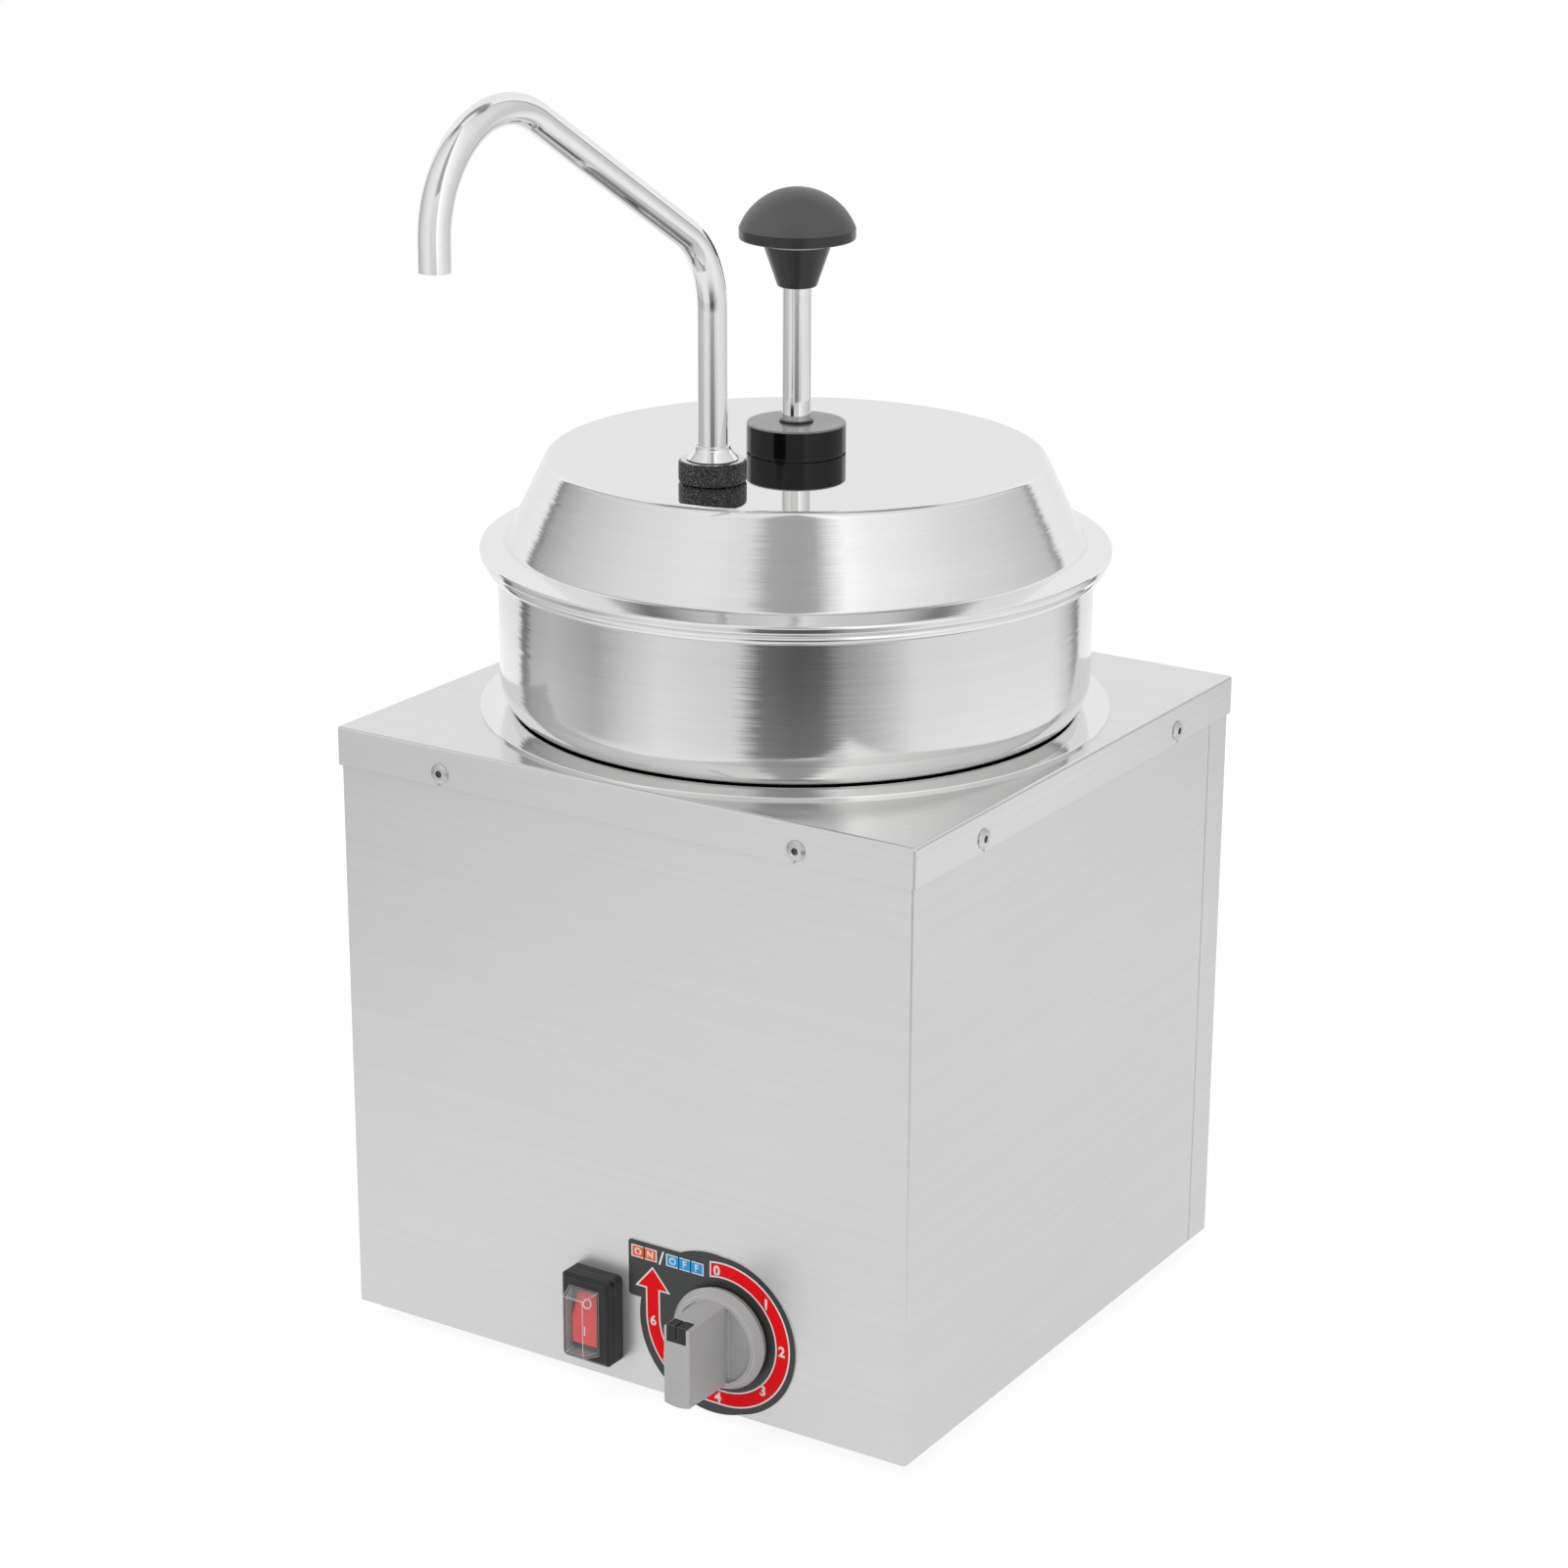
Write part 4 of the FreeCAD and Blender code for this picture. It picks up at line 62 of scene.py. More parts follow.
# Camera, at the angle of the product photograph
cameraView = {
    "lens": 87.209,
    "place": (0.70737, -1.11898, 0.64249),
    "azimuth": 32.466,
    "elevation": 18.506,
    "roll": 0.25,
}


def makeCamera(values):
    azimuth, elevation, roll = (math.radians(values[key]) for key in ("azimuth", "elevation", "roll"))
    right = Vector((math.cos(azimuth), math.sin(azimuth), 0))
    back = Vector((math.sin(azimuth) * math.cos(elevation), -math.cos(azimuth) * math.cos(elevation),
                   math.sin(elevation)))
    up = back.cross(right)
    acrossFrame = right * math.cos(roll) + up * math.sin(roll)
    upFrame = up * math.cos(roll) - right * math.sin(roll)
    data = bpy.data.cameras.new("photoCamera")
    data.lens = values["lens"]
    camera = bpy.data.objects.new("photoCamera", data)
    scene.collection.objects.link(camera)
    turn = Matrix((acrossFrame, upFrame, back)).transposed().to_4x4()
    camera.matrix_world = Matrix.Translation(values["place"]) @ turn
    scene.camera = camera


makeCamera(cameraView)


# Adds a node: an input given as a socket is linked, any other value is set on it
def addNode(tree, kind, inputs=None, **settings):
    node = tree.nodes.new(kind)
    for key, value in settings.items():
        setattr(node, key, value)
    for socket, value in (inputs or {}).items():
        if isinstance(value, bpy.types.NodeSocket):
            tree.links.new(value, node.inputs[socket])
        else:
            node.inputs[socket].default_value = value
    return node


def addMath(tree, operation, *values):
    return addNode(tree, "ShaderNodeMath", dict(enumerate(values)), operation=operation).outputs["Value"]


def addVectorMath(tree, operation, *values, output="Vector"):
    return addNode(tree, "ShaderNodeVectorMath", dict(enumerate(values)), operation=operation).outputs[output]


def combined(tree, *values):
    return addNode(tree, "ShaderNodeCombineXYZ", dict(enumerate(values))).outputs["Vector"]


def separated(tree, vector):
    node = addNode(tree, "ShaderNodeSeparateXYZ", {"Vector": vector})
    return [node.outputs[axis] for axis in "XYZ"]


# A noise mostly stays between 0.3 and 0.7, the span that this stretches unless told otherwise
def rangeOf(tree, value, low, high, fromLow=0.3, fromHigh=0.7, smooth=False):
    spans = {"Value": value, "From Min": fromLow, "From Max": fromHigh, "To Min": low, "To Max": high}
    return addNode(tree, "ShaderNodeMapRange", spans,
                   interpolation_type="SMOOTHSTEP" if smooth else "LINEAR").outputs["Result"]


def mixedValue(tree, factor, first, second):
    return addNode(tree, "ShaderNodeMix", {"Factor": factor, "A": first, "B": second}).outputs["Result"]


# A tree of its own, with inputs as (kind, first value) and outputs as their kind
def newTree(name, kind, inputs, outputs):
    tree = bpy.data.node_groups.new(name, kind)
    for socket, (form, value) in inputs.items():
        made = tree.interface.new_socket(socket, in_out="INPUT", socket_type="NodeSocket" + form)
        if value is not None:
            made.default_value = value
    for socket, form in outputs.items():
        tree.interface.new_socket(socket, in_out="OUTPUT", socket_type="NodeSocket" + form)
    return tree, tree.nodes.new("NodeGroupInput").outputs, tree.nodes.new("NodeGroupOutput").inputs


# Studio: a white room; what polished metal mirrors of it is graded by the angle round the object
studio = {
    "roomLight": 0.70,
    "azimuth": 32.5,                # the angle that both tables of (degrees, shade) count from
    "aroundRoom": ((-180, 0.92), (-150, 0.96), (-132, 1.06), (-129, 0.24), (-124, 0.46), (-106, 0.64),
                   (-76, 0.82), (-42, 0.96), (-21, 0.84), (-13, 0.24), (0, 0.18), (9, 0.22), (15, 0.84),
                   (22, 1.36), (34, 1.16), (75, 0.84), (122, 0.66), (127, 0.30), (130, 1.06), (150, 0.96),
                   (180, 0.92)),
    "aroundFloor": ((-180, 1.06), (-127, 1.06), (-124.5, 0.22), (-120, 0.26), (-117, 0.58), (-102, 0.66),
                    (-78, 0.52), (-64, 0.78), (-50, 0.97), (-21, 0.86), (-13, 0.22), (0, 0.15), (10, 0.18),
                    (17, 0.44), (27, 0.60), (44, 0.98), (75, 1.04), (112, 1.02), (124, 0.76), (132, 0.30),
                    (136, 1.06), (180, 1.06)),
    "highGlow": 1.06,               # the room high up, and how much of it shows from these heights on
    "highLift": 0.30,
    "highFrom": (0.10, 0.55),
    "lowGlow": 0.80,                # the room's least shade low down in front
    "lowTo": (0.43, 0.50),
    "lowFront": (-0.75, -0.45),
    "ringShade": 0.35,              # a darker ring high up at the back
    "ringFoot": (0.80, 0.87),
    "ringTop": (0.93, 0.97),
    "ringBack": (0.05, 0.25),
    "nearGlow": 0.97,               # the floor by the object, seen in a mirror
    "nearFade": (0.28, 0.78),
    "farShade": 0.12,               # the floor far off is this much darker in a mirror
    "farFrom": (0.84, 1.04),
    "keyPower": 17.0,
    "keySize": 1.6,
    "keyPlace": (-1.3, -1.5, 2.0),
    "keyAim": (0, 0, 0.2),
    "floorRadius": 6.0,
    "floorSides": 64,
    "floorFade": (1.0, 2.8),
    "floorColor": (0.93, 0.93, 0.93, 1),
    "floorShadow": 0.36,
    "floorMirrorShare": 0.92,
    "floorGlow": 1.26,
}


# A direction or a place as (to the right, away) from where the tables count
def turnedTo(tree, vector, azimuth):
    back = -math.radians(azimuth)
    turned = addNode(tree, "ShaderNodeMapping", {"Vector": vector, "Rotation": (0, 0, back)})
    return separated(tree, turned.outputs["Vector"])[:2]


# What a mirror sees at an angle round the object
def shadeAround(tree, right, away, table):
    angle = addMath(tree, "ARCTAN2", right, addMath(tree, "MULTIPLY", away, -1.0))
    ramp = addNode(tree, "ShaderNodeValToRGB",
                   {"Fac": addMath(tree, "ADD", addMath(tree, "DIVIDE", angle, 2 * math.pi), 0.5)})
    stops = ramp.color_ramp.elements
    for degrees, _ in table[1:-1]:
        stops.new(degrees / 360 + 0.5)
    for stop, (_, shade) in zip(stops, table):
        stop.color = (shade, shade, shade, 1)
    return ramp.outputs["Color"]


def makeWorld(values):
    scene.world = bpy.data.worlds.new("studioWorld")
    scene.world.use_nodes = True
    tree = scene.world.node_tree
    tree.nodes.clear()
    rays = addNode(tree, "ShaderNodeLightPath").outputs
    direction = addNode(tree, "ShaderNodeTexCoord").outputs["Generated"]
    height = separated(tree, direction)[2]
    right, away = turnedTo(tree, direction, values["azimuth"])

    def fade(value, low, high, span):
        return rangeOf(tree, value, low, high, *values[span], smooth=True)

    near = addMath(tree, "MULTIPLY", fade(height, values["lowGlow"], 0, "lowTo"),
                   fade(away, 1, 0, "lowFront"))
    room = addMath(tree, "MAXIMUM", shadeAround(tree, right, away, values["aroundRoom"]), near)
    around = mixedValue(tree, fade(height, 0, values["highLift"], "highFrom"), room, values["highGlow"])
    ring = addMath(tree, "MULTIPLY", fade(height, 0, 1, "ringFoot"), fade(height, 1, 0, "ringTop"))
    dark = addMath(tree, "MULTIPLY", ring, fade(away, 0, 1, "ringBack"))
    glossy = addMath(tree, "MULTIPLY", around, mixedValue(tree, dark, 1.0, values["ringShade"]))
    unseen = mixedValue(tree, rays["Is Glossy Ray"], values["roomLight"], glossy)
    seen = addMath(tree, "MAXIMUM", rays["Is Camera Ray"], rays["Is Transmission Ray"])
    background = addNode(tree, "ShaderNodeBackground",
                         {"Color": (1, 1, 1, 1), "Strength": mixedValue(tree, seen, unseen, 1.0)})
    addNode(tree, "ShaderNodeOutputWorld", {"Surface": background.outputs["Background"]})


def makeKeyLamp(values):
    lamp = bpy.data.lights.new("keyLamp", "AREA")
    lamp.energy = values["keyPower"]
    lamp.size = values["keySize"]
    key = bpy.data.objects.new("keyLamp", lamp)
    scene.collection.objects.link(key)
    key.location = values["keyPlace"]
    back = Vector(values["keyPlace"]) - Vector(values["keyAim"])
    key.rotation_euler = back.to_track_quat("Z", "Y").to_euler()
    key.visible_glossy = False


def makeFloor(values):
    mesh = bpy.data.meshes.new("studioFloor")
    shape = bmesh.new()
    bmesh.ops.create_circle(shape, cap_ends=True, segments=values["floorSides"], radius=values["floorRadius"])
    shape.to_mesh(mesh)
    shape.free()
    floor = bpy.data.objects.new("studioFloor", mesh)
    scene.collection.objects.link(floor)
    material = bpy.data.materials.new("studioFloor")
    material.use_nodes = True
    tree = material.node_tree
    tree.nodes.clear()
    rays = addNode(tree, "ShaderNodeLightPath").outputs
    place = addNode(tree, "ShaderNodeTexCoord").outputs["Object"]
    distance = addVectorMath(tree, "LENGTH", place, output="Value")

    def fade(high, span):
        return rangeOf(tree, distance, 0, high, *values[span], smooth=True)

    around = shadeAround(tree, *turnedTo(tree, place, values["azimuth"]), values["aroundFloor"])
    mirrored = mixedValue(tree, fade(1, "nearFade"), values["nearGlow"],
                          addMath(tree, "SUBTRACT", around, fade(values["farShade"], "farFrom")))
    glow = mixedValue(tree, rays["Is Glossy Ray"], values["floorGlow"], mirrored)
    seen = addMath(tree, "MAXIMUM", rays["Is Camera Ray"], rays["Is Transmission Ray"])
    share = addMath(tree, "MAXIMUM", addMath(tree, "MULTIPLY", seen, 1 - values["floorShadow"]),
                    addMath(tree, "MULTIPLY", rays["Is Glossy Ray"], values["floorMirrorShare"]))
    matt = addNode(tree, "ShaderNodeBsdfDiffuse", {"Color": values["floorColor"]}).outputs["BSDF"]
    white = addNode(tree, "ShaderNodeEmission", {"Strength": glow}).outputs["Emission"]
    lit = addNode(tree, "ShaderNodeMixShader", {"Fac": share, 1: matt, 2: white}).outputs["Shader"]
    clear = addNode(tree, "ShaderNodeBsdfTransparent").outputs["BSDF"]
    faded = addNode(tree, "ShaderNodeMixShader", {"Fac": fade(1, "floorFade"), 1: lit, 2: clear})
    addNode(tree, "ShaderNodeOutputMaterial", {"Surface": faded.outputs["Shader"]})
    mesh.materials.append(material)


scene.view_settings.view_transform = "Standard"
makeWorld(studio)
makeKeyLamp(studio)
makeFloor(studio)
print("camera and studio made")


# Shader groups that several finishes share
grains = {
    "fine": 1.0,
    "streak": 0.12,                 # scale of the broad streaks against the fine lines
    "detail": 2.0,
    "roughness": 0.6,
    "smearDetail": 3.0,
    "smearRoughness": 0.55,
    "smearDistortion": 0.6,
    "toneShare": 0.02,              # scale of the broad tone of moulded plastic against its fine skin
    "edgeSamples": 6,
    "leastRadius": 1e-5,
}


def shaderGroup(name, inputs, outputs):
    return newTree(name, "ShaderNodeTree", inputs, {socket: "Float" for socket in outputs})


def addNoise(tree, vector, scale, detail=2.0, roughness=0.5, distortion=0.0):
    inputs = {"Vector": vector, "Scale": scale, "Detail": detail, "Roughness": roughness,
              "Distortion": distortion}
    return addNode(tree, "ShaderNodeTexNoise", inputs).outputs["Fac"]


# Fine lines and broad streaks of one stretched pattern
def addGrain(group, lines, results):
    for output, scale in (("Grain", grains["fine"]), ("Streak", grains["streak"])):
        noise = addNoise(group, lines, scale, grains["detail"], grains["roughness"])
        group.links.new(noise, results[output])


def makeSheetGrain():
    group, given, results = shaderGroup("sheetGrain", {
        "Vector": ("Vector", None), "Along": ("Float", 34.0),
        "Across": ("Float", 3600.0)}, ("Grain", "Streak"))
    scales = combined(group, given["Along"], given["Across"], given["Across"])
    addGrain(group, addVectorMath(group, "MULTIPLY", given["Vector"], scales), results)
    return group


def makeRoundGrain():
    group, given, results = shaderGroup("roundGrain", {
        "Vector": ("Vector", None), "Turns": ("Float", 5.0),
        "Across": ("Float", 2400.0)}, ("Grain", "Streak"))
    x, y, z = separated(group, given["Vector"])
    squares = addMath(group, "ADD", addMath(group, "MULTIPLY", x, x), addMath(group, "MULTIPLY", y, y))
    radius = addMath(group, "MAXIMUM", addMath(group, "SQRT", squares), grains["leastRadius"])
    onRing = [addMath(group, "MULTIPLY", addMath(group, "DIVIDE", side, radius), given["Turns"])
              for side in (x, y)]
    level = addMath(group, "MULTIPLY", addMath(group, "SUBTRACT", z, radius), given["Across"])
    addGrain(group, combined(group, *onRing, level), results)
    return group


# Tips the surface a little to either side along its level lines, as brushing does
def makeSway():
    group, given, results = newTree("sway", "ShaderNodeTree", {
        "Height": ("Float", 0.5), "Amount": ("Float", 0.05)}, {"Normal": "Vector"})
    plain = addNode(group, "ShaderNodeNewGeometry").outputs["Normal"]
    sideways = addVectorMath(group, "CROSS_PRODUCT", (0, 0, 1), plain)
    push = addMath(group, "MULTIPLY", addMath(group, "SUBTRACT", given["Height"], 0.5), given["Amount"])
    pushed = addVectorMath(group, "MULTIPLY", sideways, combined(group, push, push, push))
    tipped = addVectorMath(group, "NORMALIZE", addVectorMath(group, "ADD", plain, pushed))
    group.links.new(tipped, results["Normal"])
    return group


def makeSmears():
    group, given, results = shaderGroup("smears", {
        "Vector": ("Vector", None), "Scale": ("Float", 14.0)}, ("Smear",))
    cloud = addNoise(group, given["Vector"], given["Scale"], grains["smearDetail"], grains["smearRoughness"],
                     grains["smearDistortion"])
    group.links.new(cloud, results["Smear"])
    return group


def makeMouldedSkin():
    group, given, results = shaderGroup("mouldedSkin", {
        "Vector": ("Vector", None), "Scale": ("Float", 2600.0)}, ("Height", "Tone"))
    fine = addNoise(group, given["Vector"], given["Scale"], grains["detail"], grains["roughness"])
    broadScale = addMath(group, "MULTIPLY", given["Scale"], grains["toneShare"])
    group.links.new(fine, results["Height"])
    group.links.new(addNoise(group, given["Vector"], broadScale), results["Tone"])
    return group


# A mask of the rounded edges: the plastics paint their pale colour along it as painted highlight lines, and
# the clear cover shows pale painted highlight lines there
def makePaintedEdgeHighlight():
    group, given, results = shaderGroup("paintedEdgeHighlight", {
        "Radius": ("Float", 0.0006), "Strength": ("Float", 1.0)}, ("Edge",))
    rounded = addNode(group, "ShaderNodeBevel", {"Radius": given["Radius"]}, samples=grains["edgeSamples"])
    plain = addNode(group, "ShaderNodeNewGeometry").outputs["Normal"]
    same = addVectorMath(group, "DOT_PRODUCT", rounded.outputs["Normal"], plain, output="Value")
    bent = addMath(group, "MULTIPLY", addMath(group, "SUBTRACT", 1.0, same), given["Strength"])
    group.links.new(addMath(group, "MINIMUM", bent, 1.0), results["Edge"])
    return group


groups = {
    "sheetGrain": makeSheetGrain(),
    "roundGrain": makeRoundGrain(),
    "sway": makeSway(),
    "smears": makeSmears(),
    "mouldedSkin": makeMouldedSkin(),
    "paintedEdgeHighlight": makePaintedEdgeHighlight(),
}


# Finishes
bumpDepth = {"metal": 0.0002, "plastic": 0.0001}


def startMaterial(name):
    material = bpy.data.materials.new(name)
    material.use_nodes = True
    tree = material.node_tree
    place = addNode(tree, "ShaderNodeTexCoord").outputs["Object"]
    return material, tree, tree.nodes["Principled BSDF"], place


def placed(tree, name, **inputs):
    return addNode(tree, "ShaderNodeGroup", inputs, node_tree=groups[name]).outputs


def blended(tree, factor, first, second):
    mix = addNode(tree, "ShaderNodeMix", {"Factor": factor}, data_type="RGBA")
    for socket, color in (("A", first), ("B", second)):
        target = next(one for one in mix.inputs if one.name == socket and one.type == "RGBA")
        if isinstance(color, tuple):
            target.default_value = (*color, 1)
        else:
            tree.links.new(color, target)
    return next(one for one in mix.outputs if one.type == "RGBA")


def bumped(tree, shader, height, strength, distance, **normal):
    inputs = {"Strength": strength, "Distance": distance, "Height": height, **normal}
    tree.links.new(addNode(tree, "ShaderNodeBump", inputs).outputs["Normal"], shader.inputs["Normal"])


# A neutral steel, a trace warmer than grey
def grey(value, warmth=0.995):
    return value, value, value * warmth


def even(value):
    return value, value, value


def metalFinish(name, dark, light, roughness, grain="roundGrain", turn=(0, 0, 0), stretch=(1, 1, 1),
                bump=0.05, smear=0.02, sway=0.0, metal=1.0, **grainValues):
    material, tree, shader, place = startMaterial(name)
    mapping = addNode(tree, "ShaderNodeMapping", {"Vector": place, "Rotation": turn, "Scale": stretch})
    lines = placed(tree, grain, Vector=mapping.outputs["Vector"], **grainValues)
    clouds = placed(tree, "smears", Vector=place)
    toned = blended(tree, rangeOf(tree, lines["Streak"], 0, 1), dark, light)
    tree.links.new(toned, shader.inputs["Base Color"])
    smeared = addMath(tree, "ADD", rangeOf(tree, lines["Grain"], *roughness),
                      rangeOf(tree, clouds["Smear"], -smear, smear))
    tree.links.new(smeared, shader.inputs["Roughness"])
    shader.inputs["Metallic"].default_value = metal
    tipped = placed(tree, "sway", Amount=sway, Height=lines["Grain"])
    bumped(tree, shader, lines["Grain"], bump, bumpDepth["metal"], Normal=tipped["Normal"])
    return material


# Moulded plastic with a random tone; its edges blend toward a pale colour as a painted highlight line, and
# where flecks are asked for, light flecks of that colour are painted glints
def plasticFinish(name, color, paintedHighlight, roughness, skin=2600.0, bump=0.12, edge=0.0006, spread=0.10,
                  edgeStrength=3.0, specular=0.5, paintedGlints=None):
    material, tree, shader, place = startMaterial(name)
    surface = placed(tree, "mouldedSkin", Vector=place, Scale=skin)
    edges = placed(tree, "paintedEdgeHighlight", Radius=edge, Strength=edgeStrength)
    shade = tuple(value * (1 - spread) for value in color)
    toned = blended(tree, rangeOf(tree, surface["Tone"], 0, 1), shade, color)
    if paintedGlints:
        toned = blended(tree, rangeOf(tree, surface["Height"], 0, 1, *paintedGlints), toned, paintedHighlight)
    # The pale colour on the edges is a painted highlight
    tree.links.new(blended(tree, edges["Edge"], toned, paintedHighlight), shader.inputs["Base Color"])
    tree.links.new(rangeOf(tree, surface["Tone"], *roughness), shader.inputs["Roughness"])
    shader.inputs["Specular IOR Level"].default_value = specular
    bumped(tree, shader, surface["Height"], bump, bumpDepth["plastic"])
    return material


# Thin clear plastic: a pale haze, more on the walls that face sideways than on its front, is painted sheen,
# and pale lines along its edges are painted highlights
def clearFinish(name, values):
    material, tree, shader, place = startMaterial(name)
    cloud = placed(tree, "smears", Vector=place, Scale=values["cloudScale"])["Smear"]
    edges = placed(tree, "paintedEdgeHighlight", Radius=values["edge"], Strength=values["edgeStrength"])
    tree.links.new(blended(tree, cloud, values["tint"], values["light"]), shader.inputs["Base Color"])
    tree.links.new(rangeOf(tree, cloud, *values["roughness"]), shader.inputs["Roughness"])
    normal = addNode(tree, "ShaderNodeNewGeometry").outputs["Normal"]
    front = addMath(tree, "ABSOLUTE", separated(tree, normal)[1])
    paintedSheen = rangeOf(tree, front, *values["alpha"], *values["frontFrom"], smooth=True)
    sheenAndHighlightLines = addMath(tree, "ADD", paintedSheen, addMath(tree, "MULTIPLY", edges["Edge"], values["lines"]))
    tree.links.new(addMath(tree, "MINIMUM", sheenAndHighlightLines, 1.0), shader.inputs["Alpha"])
    return material


quarter = math.pi / 2
finishes = {
    "frontSheet": metalFinish("brushed_front", grey(0.690), grey(0.715), (0.33, 0.39), "sheetGrain",
                              stretch=(1, 1 / 50, 1), bump=0.02, sway=0.05, metal=0.74),
    "coverTop": metalFinish("cover_top", grey(0.700), grey(0.725), (0.13, 0.17), "sheetGrain", bump=0.015),
    "coverSide": metalFinish("cover_side", grey(0.665), grey(0.695), (0.20, 0.26), "sheetGrain",
                             turn=(0, 0, quarter), bump=0.02, sway=0.04),
    "plainSheet": metalFinish("mill_sheet", grey(0.52), grey(0.60), (0.30, 0.42), "sheetGrain", Across=700.0),
    "mirror": metalFinish("mirror_polish", grey(0.775), grey(0.785), (0.020, 0.030), bump=0.0, smear=0.004),
    "polish": metalFinish("polished_steel", grey(0.800), grey(0.820), (0.035, 0.060), bump=0.004,
                          smear=0.006),
    "brushedRound": metalFinish("brushed_round", grey(0.735), grey(0.765), (0.080, 0.125), bump=0.02,
                                smear=0.01, sway=0.10),
    "turnedSteel": metalFinish("turned_steel", grey(0.62), grey(0.72), (0.12, 0.22), Turns=0.6,
                               Across=3000.0),
    "rivetSteel": metalFinish("rivet_steel", grey(0.50), grey(0.66), (0.22, 0.34), Across=2500.0),
    "darkSteel": metalFinish("dark_steel", grey(0.07), grey(0.14), (0.35, 0.50), bump=0.1, Across=3000.0),
    "screwSteel": metalFinish("screw_steel", grey(0.55), grey(0.70), (0.20, 0.32), Across=2500.0),
    "brass": metalFinish("brass", (0.62, 0.46, 0.20), (0.74, 0.57, 0.27), (0.20, 0.32), Across=2500.0),
    "copper": metalFinish("copper", (0.66, 0.34, 0.22), (0.80, 0.44, 0.30), (0.20, 0.34), Across=2500.0),
    "element": metalFinish("element_sheath", (0.16, 0.15, 0.14), (0.28, 0.26, 0.24), (0.35, 0.55), bump=0.15,
                           Across=1100.0),
    # On the plastics below, the second colour is painted along the edges as highlight lines
    "satinBlack": plasticFinish("satin_black", (0.085, 0.087, 0.086), even(0.16), (0.36, 0.46), bump=0.25),
    "neckBlack": plasticFinish("neck_black", even(0.022), even(0.10), (0.20, 0.28), bump=0.06),
    "glossBlack": plasticFinish("gloss_black", even(0.004), even(0.05), (0.04, 0.09), bump=0.02,
                                specular=0.30),
    # A grey for the top face of the gloss black pump collar: painted sheen
    "collarTopPaintedSheen": plasticFinish("collar_top_painted_sheen", even(0.22), even(0.60), (0.04, 0.09), bump=0.02),
    # The light flecks on the black knurl are painted glints
    "knurlBlack": plasticFinish("knurl_black", even(0.007), even(0.34), (0.20, 0.32), bump=0.10, edge=0.0002,
                                edgeStrength=1.4, specular=0.35, paintedGlints=(0.55, 0.70)),
    "moulded": plasticFinish("moulded_black", (0.017, 0.018, 0.018), even(0.22), (0.34, 0.46), bump=0.2,
                             edge=0.0004, specular=0.35),
    "bushBlack": plasticFinish("bush_black", even(0.016), even(0.07), (0.20, 0.32)),
    "knobGrey": plasticFinish("knob_grey", (0.50, 0.50, 0.505), (0.90, 0.90, 0.905), (0.34, 0.46), bump=0.22,
                              edgeStrength=4.0),
    "rubber": plasticFinish("foot_rubber", even(0.020), even(0.06), (0.60, 0.78), bump=0.35, skin=1500.0),
    "seal": plasticFinish("seal_rubber", (0.66, 0.63, 0.56), (0.72, 0.70, 0.64), (0.45, 0.60)),
    "red": plasticFinish("rocker_red", (0.86, 0.006, 0.012), (0.90, 0.08, 0.09), (0.20, 0.30), bump=0.04,
                         specular=0.25),
    "plateInk": plasticFinish("plate_ink", (0.032, 0.037, 0.034), (0.05, 0.055, 0.052), (0.30, 0.40),
                              bump=0.05, edgeStrength=0.0),
    "plateRim": plasticFinish("plate_rim", (0.70, 0.71, 0.70), even(0.80), (0.30, 0.40), bump=0.05),
    "redInk": plasticFinish("red_ink", (0.92, 0.003, 0.008), (0.94, 0.02, 0.03), (0.46, 0.58), bump=0.04,
                            edgeStrength=0.0, spread=0.05, specular=0.12),
    "whiteInk": plasticFinish("white_ink", (0.86, 0.86, 0.85), even(0.90), (0.28, 0.38), bump=0.04,
                              edgeStrength=0.0, spread=0.03),
    "orangeInk": plasticFinish("orange_ink", (0.90, 0.15, 0.035), (0.92, 0.20, 0.08), (0.46, 0.58), bump=0.04,
                               edgeStrength=0.0, spread=0.05, specular=0.12),
    "blueInk": plasticFinish("blue_ink", (0.030, 0.37, 0.84), (0.08, 0.38, 0.84), (0.46, 0.58), bump=0.04,
                             edgeStrength=0.0, spread=0.05, specular=0.12),
    "ceramic": plasticFinish("ceramic", (0.78, 0.75, 0.68), (0.85, 0.83, 0.78), (0.40, 0.55)),
    "wool": plasticFinish("wool_felt", (0.62, 0.56, 0.42), (0.70, 0.65, 0.52), (0.85, 0.98), skin=900.0,
                          bump=0.9, spread=0.25),
    # The clear cover's pale haze and pale edge lines are painted sheen and painted highlights
    "clear": clearFinish("clear_cover", {"tint": (0.88, 0.90, 0.91), "light": (0.97, 0.98, 0.99),
                                         "edge": 0.0004, "edgeStrength": 4.0, "cloudScale": 60.0,
                                         "roughness": (0.03, 0.09), "alpha": (0.12, 0.06),
                                         "frontFrom": (0.5, 0.95), "lines": 1.0}),
}
print("finishes made:", len(finishes))


# Shells built face by face, with exact normals
rounding = {
    "weld": 1e7,                        # points that agree in ten-millionths of a metre are one
    "mostShare": 0.499,                 # of the shorter run beside a corner
    "leastSize": 1e-6,
    "leastTurn": 0.02,
    "stepAngle": math.radians(13),
    "leastRun": 1e-7,
}
sides = {"large": 192, "medium": 128, "small": 96, "foot": 64, "rivet": 40}
cutEdge = 0.0002                        # the slight rounding of a cut edge
hemEdge = 0.0003


